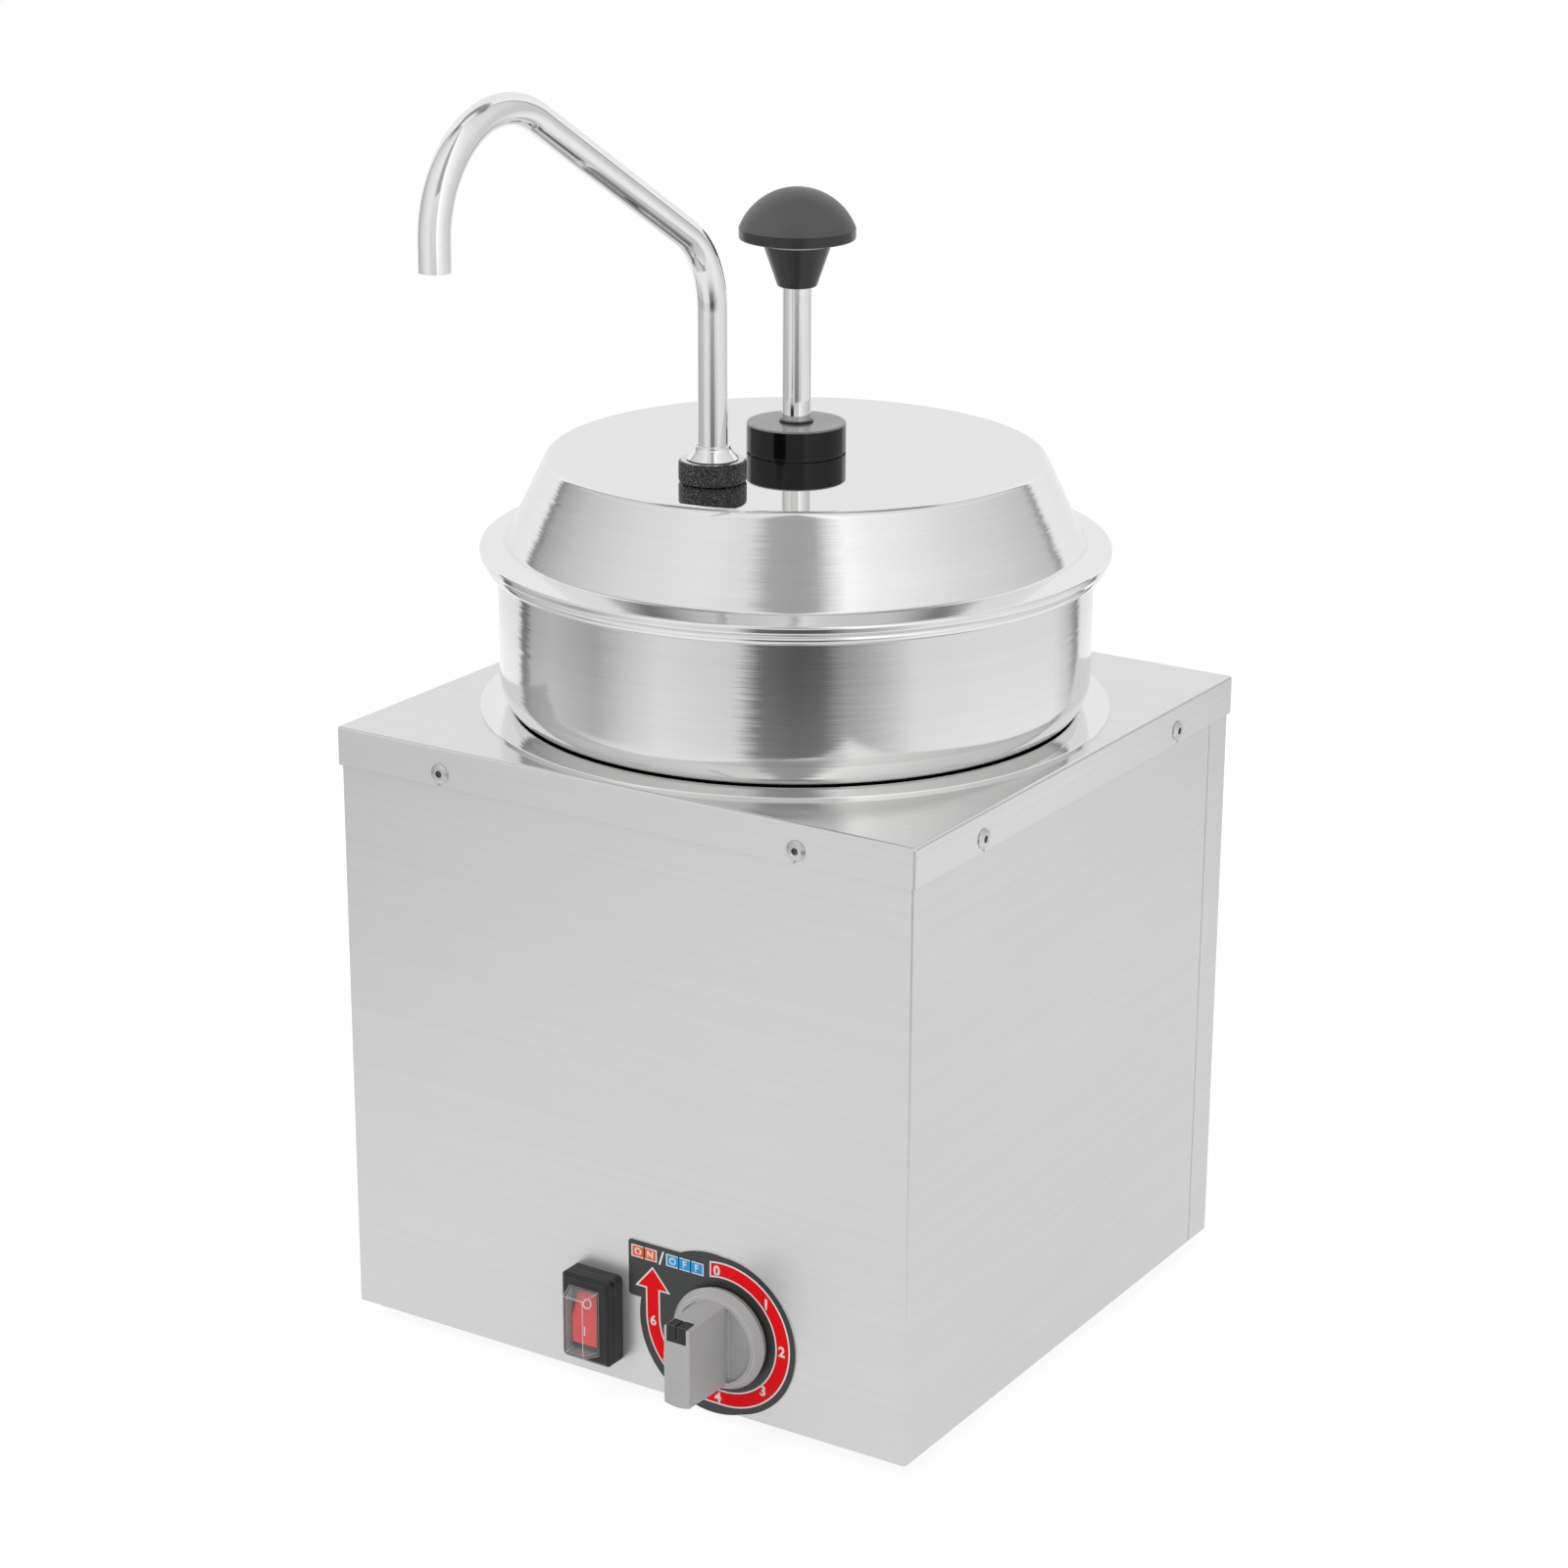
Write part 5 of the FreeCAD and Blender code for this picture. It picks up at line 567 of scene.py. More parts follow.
class Shell:
    def __init__(self, name):
        self.name = name
        self.places, self.faces, self.normals, self.finishes = [], [], [], []
        self.known = {}

    def point(self, place):
        key = tuple(round(value * rounding["weld"]) for value in place)
        if key not in self.known:
            self.known[key] = len(self.places)
            self.places.append(tuple(place))
        return self.known[key]

    def face(self, places, normals, finish=0):
        corners = [self.point(place) for place in places]
        kept = [step for step in range(len(corners)) if corners[step] != corners[step - 1]]
        if len(kept) > 2:
            self.faces.append([corners[step] for step in kept])
            self.normals += [tuple(normals[step]) for step in kept]
            self.finishes.append(finish)

    def mesh(self, *materials):
        mesh = bpy.data.meshes.new(self.name)
        mesh.from_pydata(self.places, [], self.faces)
        for material in materials:
            mesh.materials.append(finishes[material])
        mesh.polygons.foreach_set("material_index", self.finishes)
        mesh.polygons.foreach_set("use_smooth", [True] * len(self.faces))
        mesh.normals_split_custom_set(self.normals)
        mesh.update()
        return mesh


# An outline of (radius, height, round, finish) as runs: both ends, their normals on an arc, and the finish
def roundedPath(corners, closed):
    count = len(corners)
    points = [Vector(corner[:2]) for corner in corners]
    ends = []
    for index, here in enumerate(points):
        if not closed and index in (0, count - 1):
            ends.append((here, here, [], None))
            continue
        back = points[index - 1] - here
        ahead = points[(index + 1) % count] - here
        turn = math.pi - back.angle(ahead)
        room = rounding["mostShare"] * min(back.length, ahead.length)
        size = min(corners[index][2], room / math.tan(turn / 2))
        if size < rounding["leastSize"] or turn < rounding["leastTurn"]:
            ends.append((here, here, [], None))
            continue
        reach = size * math.tan(turn / 2)
        first, last = here + back.normalized() * reach, here + ahead.normalized() * reach
        centre = here + (back.normalized() + ahead.normalized()).normalized() * (size / math.cos(turn / 2))
        steps = max(2, math.ceil(turn / rounding["stepAngle"]))
        arc = []
        for step in range(steps + 1):
            angle = turn * step / steps
            spoke = (first - centre) * math.sin(turn - angle) + (last - centre) * math.sin(angle)
            arc.append(centre + spoke / math.sin(turn))
        ends.append((first, last, arc, centre))
    runs = []
    for index in range(count if closed else count - 1):
        _, start, arc, centre = ends[index]
        end = ends[(index + 1) % count][0]
        finish = corners[index][3]
        for a, b in zip(arc, arc[1:]):
            runs.append((a, b, (a - centre).normalized(), (b - centre).normalized(), finish))
        if (end - start).length > rounding["leastRun"]:
            runs.append((start, end, None, None, finish))
    return runs


def spun(flat, spoke):
    return Vector((flat.x * spoke[0], flat.x * spoke[1], flat.y))


# Spins such an outline about the Z axis of the place
def turnShell(shell, corners, closed, steps, place=Matrix.Identity(4)):
    area = sum(a[0] * b[1] - b[0] * a[1] for a, b in zip(corners, corners[1:] + corners[:1]))
    if area < 0:
        flipped = corners[::-1]
        following = [corner[3] for corner in flipped[1:] + flipped[:1]]
        corners = [(*corner[:3], finish) for corner, finish in zip(flipped, following)]
    turn = place.to_3x3()
    circle = [(math.cos(2 * math.pi * step / steps), math.sin(2 * math.pi * step / steps))
              for step in range(steps)]
    for a, b, startNormal, endNormal, finish in roundedPath(corners, closed):
        square = Vector((b.y - a.y, a.x - b.x)).normalized()
        normals = [square if normal is None else normal * math.copysign(1, normal.dot(square))
                   for normal in (startNormal, endNormal)]
        for step in range(steps):
            before, after = circle[step], circle[(step + 1) % steps]
            around = ((a, normals[0], before), (a, normals[0], after),
                      (b, normals[1], after), (b, normals[1], before))
            shell.face([place @ spun(end, spoke) for end, _, spoke in around],
                       [turn @ spun(normal, spoke) for _, normal, spoke in around], finish)


def addPiece(name, mesh, nodes, body=None, slot=None):
    piece = bpy.data.objects.new(name, mesh)
    scene.collection.objects.link(piece)
    if nodes:
        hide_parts(*nodes)
    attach(piece, body or bodyOf[nodes[0]])
    slot or slotOf[nodes[0]]
    return piece


# The lowest and the highest level of a turned node, and how far it reaches from its axis
def turnedSizes(node):
    low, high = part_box(node)
    return low.z, high.z, high.x


def turnedPiece(node, materials, corners, size, closed=True, place=Matrix.Identity(4)):
    shell = Shell(node + "_shell")
    turnShell(shell, corners, closed, sides[size], place)
    return addPiece(shell.name, shell.mesh(*materials), [node])


# Helpers for the nodes whose shape the frame already gives
softening = {
    "mergeGap": 2e-6,
    "flatAngle": 0.5,
    "bevelAngle": 38,
    "segments": 2,
    "sheetAngle": 32,                   # from here on an edge is sharp, on bent sheet and turned metal
    "mouldedAngle": 30,
    "screwAngle": 28,
}


def mergedShape(mesh):
    shape = bmesh.new()
    shape.from_mesh(mesh)
    bmesh.ops.remove_doubles(shape, verts=shape.verts, dist=softening["mergeGap"])
    return shape


def softened(piece, angle, edge=None):
    piece.data.shade_smooth()
    piece.data.set_sharp_from_angle(angle=math.radians(angle))
    if edge:
        bevel = piece.modifiers.new("edges", "BEVEL")
        bevel.width = edge
        bevel.segments = softening["segments"]
        bevel.limit_method = "ANGLE"
        bevel.angle_limit = math.radians(softening["bevelAngle"])
    weighted = piece.modifiers.new("faces", "WEIGHTED_NORMAL")
    weighted.keep_sharp = True
    return piece


# A merged copy of a node; choose gives the number of each face's material
def dressed(node, materials, choose=None, angle="sheetAngle", edge=None, ending="_shell"):
    mesh = frame["nodes"][node].data.copy()
    if "custom_normal" in mesh.attributes:
        mesh.attributes.remove(mesh.attributes["custom_normal"])
    shape = mergedShape(mesh)
    if edge:
        bmesh.ops.dissolve_limit(shape, angle_limit=math.radians(softening["flatAngle"]), verts=shape.verts,
                                 edges=shape.edges)
    shape.to_mesh(mesh)
    shape.free()
    mesh.name = node + ending
    mesh.materials.clear()
    for material in materials:
        mesh.materials.append(finishes[material])
    for face in mesh.polygons:
        face.material_index = choose(face) if choose else 0
    return softened(addPiece(node + ending, mesh, [node]), softening[angle], edge)


def repainted(material, *nodes):
    for node in nodes:
        mesh = frame["nodes"][node].data
        mesh.materials.clear()
        mesh.materials.append(finishes[material])


# The lowest and the highest corner of each separate solid in a node
def islands(node):
    shape = mergedShape(frame["nodes"][node].data)
    left = set(shape.verts)
    found = []
    while left:
        queue = [left.pop()]
        group = []
        while queue:
            corner = queue.pop()
            group.append(corner.co.copy())
            for link in corner.link_edges:
                other = link.other_vert(corner)
                if other in left:
                    left.remove(other)
                    queue.append(other)
        found.append([Vector([most(place[axis] for place in group) for axis in range(3)])
                      for most in (min, max)])
    shape.free()
    return sorted(found, key=lambda pair: tuple(round(value, 4) for value in pair[0]))


# Housing sheet metal: each side of the folded cover has its own finish, and cut edges are mill sheet
sidewaysLimit = 0.7


def onEdge(face):
    return 1 if abs(face.normal.z) > sidewaysLimit else 0


def onCover(face):
    if abs(face.normal.y) > sidewaysLimit:
        return 1
    return 2 if abs(face.normal.x) > sidewaysLimit else 0


dressed("body_wrap", ["frontSheet", "plainSheet"], onEdge)
dressed("rear_panel", ["frontSheet", "plainSheet"], onEdge)
dressed("top_cover", ["coverTop", "frontSheet", "coverSide"], onCover)
dressed("base_tray", ["plainSheet"])
dressed("corner_strips", ["plainSheet"])
print("sheet metal dressed")


# Lid: mirror-flat top, brushed cone, polished rim and a locating skirt
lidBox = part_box("lid")
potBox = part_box("inset_pot")
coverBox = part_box("top_cover")
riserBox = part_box("riser_tube")
spoutAxis = (riserBox[0] + riserBox[1]) / 2
lid = {
    "topRadius": 0.0890,
    "coneRadius": 0.1040,
    "coneFoot": 0.0049,
    "rimHeight": 0.0032,
    "topRound": 0.0040,
    "footRound": 0.0020,
    "rimRound": 0.0011,
    "innerRounds": (0.0006, 0.0012),    # under the cone's foot: at the skirt and at the cone
    "sheet": 0.0008,
    "slantShare": 0.6,                  # how far the cone's inner face lies in at its top, in sheets
    "skirtRadius": 0.1058,
    "seatGap": 0.0001,
    "fillRadius": 0.0800,
    "pumpHole": 0.0142,
    "riserHole": 0.0067,
    "holeSteps": 48,
}


def makeLid(values):
    skirtLow, top, rim = turnedSizes("lid")
    rimLow = potBox[1].z + values["seatGap"]
    sheet, fill, steps = values["sheet"], values["fillRadius"], values["holeSteps"]
    skirt, skirtInner = values["skirtRadius"], values["skirtRadius"] - values["sheet"]
    footHeight = rimLow + values["coneFoot"]
    shell = Shell("lid_shell")
    turnShell(shell, [
        (fill, top, 0, 0),
        (values["topRadius"], top, values["topRound"], 1),
        (values["coneRadius"], footHeight, values["footRound"], 2),
        (rim, rimLow + values["rimHeight"], values["rimRound"], 2),
        (rim, rimLow, values["rimRound"], 2),
        (skirt, rimLow, hemEdge, 2),
        (skirt, skirtLow, hemEdge, 2),
        (skirtInner, skirtLow, hemEdge, 2),
        (skirtInner, footHeight - sheet, values["innerRounds"][0], 1),
        (values["coneRadius"] - sheet, footHeight - sheet, values["innerRounds"][1], 1),
        (values["topRadius"] - sheet * values["slantShare"], top - sheet, values["topRound"] - sheet, 1),
        (fill, top - sheet, 0, 1)], False, sides["large"])
    holes = [(Vector((0, 0, 0)), values["pumpHole"]),
             (Vector((spoutAxis.x, spoutAxis.y, 0)), values["riserHole"])]

    def ring(centre, radius, height, count):
        angles = [2 * math.pi * step / count for step in range(count)]
        return [Vector((centre.x + radius * math.cos(angle), centre.y + radius * math.sin(angle), height))
                for angle in angles]

    for height, up in ((top, 1), (top - sheet, -1)):
        loops = [ring(Vector((0, 0, 0)), fill, height, sides["large"])]
        loops += [ring(centre, radius, height, steps) for centre, radius in holes]
        spots = [spot for loop in loops for spot in loop]
        for corners in tessellate_polygon(loops):
            places = [spots[corner] for corner in corners]
            if (places[1] - places[0]).cross(places[2] - places[0]).z * up < 0:
                places.reverse()
            shell.face(places, [Vector((0, 0, up))] * 3, 0 if up > 0 else 1)
    for centre, radius in holes:
        high, low = ring(centre, radius, top, steps), ring(centre, radius, top - sheet, steps)
        for step in range(steps):
            after = (step + 1) % steps
            inward = [(centre - high[one]).to_2d().to_3d().normalized() for one in (step, step, after, after)]
            shell.face([low[step], high[step], high[after], low[after]], inward, 1)
    addPiece("lid_shell", shell.mesh("mirror", "brushedRound", "polish"), ["lid"])


makeLid(lid)

# Inset pot: rolled rim, straight collar, 45 degree shoulder and a round-cornered floor
pot = {
    "radius": 0.1072,
    "lowRadius": 0.0970,
    "shoulder": 0.130467,               # height less radius, all along the 45 degree shoulder
    "sheet": 0.0008,
    "beadHeight": 0.0040,
    "beadRound": 0.0019,
    "beadRoot": 0.0005,
    "mouthRound": 0.0008,
    "shoulderRound": 0.0180,
    "throatRound": 0.0050,
    "floorRound": 0.0140,
}


def makePot(values):
    low, rim, bead = turnedSizes("inset_pot")
    wide, narrow, line, sheet = (values[key] for key in ("radius", "lowRadius", "shoulder", "sheet"))
    inner, lowInner, inside = wide - sheet, narrow - sheet, line + sheet * math.sqrt(2)
    turnedPiece("inset_pot", ["brushedRound", "polish"], [
        (0, low, 0, 0),
        (narrow, low, values["floorRound"], 0),
        (narrow, narrow + line, values["throatRound"], 0),
        (wide, wide + line, values["shoulderRound"], 0),
        (wide, rim - values["beadHeight"], values["beadRoot"], 1),
        (bead, rim - values["beadHeight"], values["beadRound"], 1),
        (bead, rim, values["beadRound"], 1),
        (inner, rim, values["mouthRound"], 1),
        (inner, inner + inside, values["shoulderRound"] - sheet, 0),
        (lowInner, lowInner + inside, values["throatRound"] + sheet, 0),
        (lowInner, low + sheet, values["floorRound"] - sheet, 0),
        (0, low + sheet, 0, 0)], "large", closed=False)


makePot(pot)

# Water well: a flange on the cover, a rolled lip and a deep round-cornered bowl
well = {
    "radius": 0.1010,
    "sheet": 0.0008,
    "lipRound": 0.0030,
    "hemRound": 0.0004,
    "floorRound": 0.0100,
}


def makeWell(values):
    under, top, flange = turnedSizes("water_well")
    inner, sheet = values["radius"], values["sheet"]
    outer = inner + sheet
    turnedPiece("water_well", ["polish", "brushedRound"], [
        (0, under, 0, 1),
        (outer, under, values["floorRound"] + sheet, 1),
        (outer, top - sheet, values["lipRound"] - sheet, 1),
        (flange - sheet, top - sheet, cutEdge, 0),
        (flange - sheet, coverBox[1].z, 0, 0),
        (flange, coverBox[1].z, 0, 0),
        (flange, top, values["hemRound"], 0),
        (inner, top, values["lipRound"], 1),
        (inner, under + sheet, values["floorRound"], 1),
        (0, under + sheet, 0, 1)], "large", closed=False)


makeWell(well)
print("lid, pot and well turned")


# Pump collar: its recessed foot meets its own image in the lid as one dark line
collar = {"bore": 0.01405, "web": 0.0030, "edge": 0.0006, "rodBore": 0.00605, "footHeight": 0.0005,
          "footInset": 0.0008}


def makeCollar(values):
    low, top, outer = turnedSizes("pump_collar")
    foot, under = low + values["footHeight"], top - values["web"]
    # The top face is grey and the sides gloss black: the top's lighter grey is painted sheen
    turnedPiece("pump_collar", ["glossBlack", "collarTopPaintedSheen"], [
        (values["rodBore"], top, cutEdge, 1),
        (outer, top, values["edge"], 0),
        (outer, foot, cutEdge, 0),
        (outer - values["footInset"], foot, 0, 0),
        (outer - values["footInset"], low, 0, 0),
        (values["bore"], low, cutEdge, 0),
        (values["bore"], under, cutEdge, 0),
        (values["rodBore"], under, cutEdge, 0)], "medium")


makeCollar(collar)

# Rod bush: a plain sleeve with a flange
bush = {"radius": 0.0060, "bore": 0.0053, "flangeHeight": 0.0014}


def makeBush(values):
    low, top, flange = turnedSizes("rod_bush")
    turnedPiece("rod_bush", ["bushBlack"], [
        (values["bore"], low, cutEdge, 0),
        (flange, low, hemEdge, 0),
        (flange, low + values["flangeHeight"], hemEdge, 0),
        (values["radius"], low + values["flangeHeight"], cutEdge, 0),
        (values["radius"], top, hemEdge, 0),
        (values["bore"], top, cutEdge, 0)], "small")


makeBush(bush)

# Plunger rod: thinner at its lower end, which carries the piston
rod = {"endRadius": 0.0040, "endLength": 0.0210, "edge": 0.0005}


def makeRod(values):
    low, top, radius = turnedSizes("plunger_rod")
    turnedPiece("plunger_rod", ["polish"], [
        (0, low, 0, 0),
        (values["endRadius"], low, values["edge"], 0),
        (values["endRadius"], low + values["endLength"], 0, 0),
        (radius, low + values["endLength"], values["edge"], 0),
        (radius, top, values["edge"], 0),
        (0, top, 0, 0)], "small", closed=False)


makeRod(rod)

# Pump cylinder: a tube whose flange holds a gasket up against the lid
pumpTube = {"radius": 0.0140, "wall": 0.0012, "flangeRadius": 0.0190, "flangeHeight": 0.0020,
            "gasket": 0.0015, "root": 0.0005}


def makeCylinder(values):
    low, high, _ = turnedSizes("pump_cylinder")
    outer, flange = values["radius"], values["flangeRadius"]
    flangeTop = lidBox[1].z - lid["sheet"] - values["gasket"]
    flangeLow = flangeTop - values["flangeHeight"]
    turnedPiece("pump_cylinder", ["turnedSteel"], [
        (outer - values["wall"], low, hemEdge, 0),
        (outer, low, hemEdge, 0),
        (outer, flangeLow, values["root"], 0),
        (flange, flangeLow, hemEdge, 0),
        (flange, flangeTop, hemEdge, 0),
        (outer, flangeTop, cutEdge, 0),
        (outer, high, hemEdge, 0),
        (outer - values["wall"], high, hemEdge, 0)], "small")


makeCylinder(pumpTube)

# Plunger knob: a low dome over a tapered neck, with a thin ring under the dome whose pale colour is a painted
# highlight line
plungerKnob = {
    "neckFoot": 0.0069,
    "neckTop": 0.0126,
    "neckHeight": 0.0167,
    "band": 0.0040,
    "lip": 0.0010,
    "domeSteps": 14,
    "domeRound": 0.0030,
    "bore": 0.0053,
    "socket": 0.0220,
    "ring": 0.0005,
    "ringDrop": 0.0018,
    "ringRadius": 0.0121,
    "ringProud": 0.0002,
    "fineEdge": 0.0001,
}


def makePlungerKnob(values):
    low, top, rim = turnedSizes("plunger_knob")
    under = low + values["neckHeight"]
    edge = under + values["band"]
    rise = top - edge
    sphere = (rim * rim + rise * rise) / (2 * rise)
    widest = math.asin(rim / sphere)
    angles = [widest * (1 - step / values["domeSteps"]) for step in range(1, values["domeSteps"])]
    dome = [(sphere * math.sin(angle), top - sphere + sphere * math.cos(angle), values["domeRound"], 0)
            for angle in angles]
    ringLow, side, fine = under - values["ringDrop"], values["ringRadius"], values["fineEdge"]
    ringTop, proud = ringLow + values["ring"], side + values["ringProud"]
    turnedPiece("plunger_knob", ["satinBlack", "neckBlack", "plateRim"], [
        (values["bore"], low, cutEdge, 1),
        (values["neckFoot"], low, values["lip"], 1),
        # The ring takes the pale plate rim plastic: its pale colour is a painted highlight line
        (side, ringLow, 0, 2),
        (proud, ringLow, fine, 2),
        (proud, ringTop, fine, 2),
        (side, ringTop, 0, 1),
        (values["neckTop"], under, fine, 1),
        (rim, under, values["lip"], 1),
        (rim, edge, cutEdge, 0),
        *dome,
        (0, top, 0, 0),
        (0, low + values["socket"], 0, 1),
        (values["bore"], low + values["socket"], 0, 1)], "medium")


makePlungerKnob(plungerKnob)
print("pump turned")


# Every geometry tree has a finish among its inputs, and ends in real meshes with that finish
def geometryTree(name, inputs):
    return newTree(name, "GeometryNodeTree", {**inputs, "Finish": ("Material", None)},
                   {"Geometry": "Geometry"})


def endTree(tree, geometry, given, results):
    real = addNode(tree, "GeometryNodeRealizeInstances", {"Geometry": geometry}).outputs["Geometry"]
    painted = addNode(tree, "GeometryNodeSetMaterial", {"Geometry": real, "Material": given["Finish"]})
    tree.links.new(painted.outputs["Geometry"], results["Geometry"])
    return tree


# Runs a tree on a host object and gives its result as a plain mesh
def runTree(host, tree, name, values):
    modifier = host.modifiers.new(tree.name, "NODES")
    modifier.node_group = tree
    named = {item.name: item.identifier for item in tree.interface.items_tree if item.in_out == "INPUT"}
    for key, value in values.items():
        modifier[named[key]] = value
    bpy.context.view_layer.update()
    evaluated = host.evaluated_get(bpy.context.evaluated_depsgraph_get())
    mesh = bpy.data.meshes.new_from_object(evaluated)
    mesh.name = name
    host.modifiers.remove(modifier)
    bpy.data.objects.remove(host)
    return mesh


def hostOf(name, mesh):
    host = bpy.data.objects.new(name, mesh)
    scene.collection.objects.link(host)
    return host


# Spout: one bent tube on a path whose corners carry the radius of their bend
levelGap = 1e-5                         # how far a rim's points may lie from its level
spout = {
    "radius": 0.0052,
    "wall": 0.0010,
    "slope": 30.4,
    "kneeRound": 0.0340,
    "crookRound": 0.0360,
    "kneeHeight": 0.0792,
    "tipHeight": 0.0970,
    "bendSteps": 28,
    "sides": 48,
    "sharpAngle": 40,
    "edge": 0.0002,
}


def makeTubeTree():
    tree, given, results = geometryTree("bentTube", {
        "Path": ("Geometry", None), "Radius": ("Float", 0.005), "Wall": ("Float", 0.001),
        "Sides": ("Int", 32), "Bend Steps": ("Int", 16)})
    bendSize = addNode(tree, "GeometryNodeInputNamedAttribute", {"Name": "bend"}, data_type="FLOAT")
    line = addNode(tree, "GeometryNodeMeshToCurve", {"Mesh": given["Path"]})
    bend = addNode(tree, "GeometryNodeFilletCurve", {
        "Curve": line.outputs["Curve"], "Radius": bendSize.outputs["Attribute"], "Count": given["Bend Steps"],
        "Limit Radius": True}, mode="POLY")
    join = addNode(tree, "GeometryNodeJoinGeometry")
    bore = addMath(tree, "SUBTRACT", given["Radius"], given["Wall"])
    for radius, inward in ((given["Radius"], False), (bore, True)):
        circle = addNode(tree, "GeometryNodeCurvePrimitiveCircle",
                         {"Resolution": given["Sides"], "Radius": radius})
        skin = addNode(tree, "GeometryNodeCurveToMesh", {
            "Curve": bend.outputs["Curve"], "Profile Curve": circle.outputs["Curve"]}).outputs["Mesh"]
        if inward:
            skin = addNode(tree, "GeometryNodeFlipFaces", {"Mesh": skin}).outputs["Mesh"]
        tree.links.new(skin, join.inputs["Geometry"])
    return endTree(tree, join.outputs["Geometry"], given, results)


def rimAt(shape, level):
    return [edge for edge in shape.edges if edge.is_boundary
            and all(abs(corner.co.z - level) < levelGap for corner in edge.verts)]


def makeSpout(values):
    foot = Vector((0, spoutAxis.y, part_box("spout_tube")[0].z))
    knee = Vector((0, spoutAxis.y, lidBox[1].z + values["kneeHeight"]))
    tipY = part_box("spout_tube")[0].y + values["radius"]
    turn = Vector((0, tipY, knee.z + (knee.y - tipY) * math.tan(math.radians(values["slope"]))))
    tip = Vector((0, tipY, lidBox[1].z + values["tipHeight"]))
    path = bpy.data.meshes.new("spoutPath")
    path.from_pydata([foot, knee, turn, tip], [(0, 1), (1, 2), (2, 3)], [])
    bends = path.attributes.new("bend", "FLOAT", "POINT")
    bends.data.foreach_set("value", [0, values["kneeRound"], values["crookRound"], 0])
    mesh = runTree(hostOf("spoutPath", path), makeTubeTree(), "spout_tube_shell", {
        "Radius": values["radius"], "Wall": values["wall"], "Sides": values["sides"],
        "Bend Steps": values["bendSteps"], "Finish": finishes["polish"]})
    shape = bmesh.new()
    shape.from_mesh(mesh)
    for level in (foot.z, tip.z):
        bmesh.ops.bridge_loops(shape, edges=rimAt(shape, level))
    bmesh.ops.recalc_face_normals(shape, faces=shape.faces)
    shape.to_mesh(mesh)
    shape.free()
    softened(addPiece("spout_tube_shell", mesh, ["spout_tube"]), values["sharpAngle"], values["edge"])


makeSpout(spout)
print("spout bent")

# Spout nut: a black diamond knurl with a bright turned top
spoutNut = {"teeth": 42, "stepsPerTooth": 4, "rings": 28, "knurlDepth": 0.00032, "pitch": 0.0018,
            "chamfer": 0.0008, "bore": 0.0054, "steelDepth": 0.00008, "steelFacing": 0.8, "sharpAngle": 50}


def makeKnurlTree():
    sizes = {"Radius": 0.012, "Height": 0.008, "Depth": 0.0003, "Teeth": 40.0, "Pitch": 0.0018,
             "Chamfer": 0.0008}
    tree, given, results = geometryTree("diamondKnurl", {
        **{socket: ("Float", value) for socket, value in sizes.items()}, "Steps": ("Int", 160),
        "Rings": ("Int", 24)})
    band = addNode(tree, "GeometryNodeMeshCylinder", {
        "Vertices": given["Steps"], "Side Segments": given["Rings"], "Radius": given["Radius"],
        "Depth": given["Height"]}, fill_type="NONE")
    x, y, z = separated(tree, addNode(tree, "GeometryNodeInputPosition").outputs["Position"])
    angle = addMath(tree, "MULTIPLY", addMath(tree, "ARCTAN2", y, x), given["Teeth"])
    climb = addMath(tree, "MULTIPLY", addMath(tree, "DIVIDE", z, given["Pitch"]), math.pi * 2)
    waves = []
    for way in ("ADD", "SUBTRACT"):
        phase = addMath(tree, "MULTIPLY", addMath(tree, way, angle, climb), 0.5)
        waves.append(addMath(tree, "ABSOLUTE", addMath(tree, "SINE", phase)))
    lowest = addMath(tree, "SUBTRACT", addMath(tree, "MINIMUM", *waves), 1.0)
    groove = addMath(tree, "MULTIPLY", lowest, given["Depth"])
    fromEnd = addMath(tree, "SUBTRACT", addMath(tree, "MULTIPLY", given["Height"], 0.5),
                      addMath(tree, "ABSOLUTE", z))
    slant = addMath(tree, "MAXIMUM", addMath(tree, "SUBTRACT", given["Chamfer"], fromEnd), 0.0)
    inset = addMath(tree, "MINIMUM", groove, addMath(tree, "MULTIPLY", slant, -1.0))
    share = addMath(tree, "DIVIDE", inset, given["Radius"])
    offset = combined(tree, *[addMath(tree, "MULTIPLY", side, share) for side in (x, y)])
    move = addNode(tree, "GeometryNodeSetPosition", {"Geometry": band.outputs["Mesh"], "Offset": offset})
    return endTree(tree, move.outputs["Geometry"], given, results)


def makeNut(values):
    low, top, radius = turnedSizes("spout_nut")
    height = top - low
    mesh = runTree(hostOf("nutHost", bpy.data.meshes.new("nutHost")), makeKnurlTree(), "spout_nut_shell", {
        "Radius": radius, "Height": height, "Depth": values["knurlDepth"], "Teeth": float(values["teeth"]),
        "Pitch": values["pitch"], "Chamfer": values["chamfer"],
        "Steps": values["teeth"] * values["stepsPerTooth"], "Rings": values["rings"],
        "Finish": finishes["knurlBlack"]})
    shape = bmesh.new()
    shape.from_mesh(mesh)
    for level in (height / 2, -height / 2):
        made = bmesh.ops.extrude_edge_only(shape, edges=rimAt(shape, level))["geom"]
        for corner in [one for one in made if isinstance(one, bmesh.types.BMVert)]:
            corner.co.xy = corner.co.to_2d().normalized() * values["bore"]
    bmesh.ops.bridge_loops(shape, edges=[edge for edge in shape.edges if edge.is_boundary])
    bmesh.ops.recalc_face_normals(shape, faces=shape.faces)
    shape.transform(Matrix.Translation((0, spoutAxis.y, (low + top) / 2)))
    shape.to_mesh(mesh)
    shape.free()
    mesh.materials.append(finishes["turnedSteel"])
    for face in mesh.polygons:
        if face.center.z > top - values["steelDepth"] and face.normal.z > values["steelFacing"]:
            face.material_index = len(mesh.materials) - 1
    softened(addPiece("spout_nut_shell", mesh, ["spout_nut"]), values["sharpAngle"])


makeNut(spoutNut)

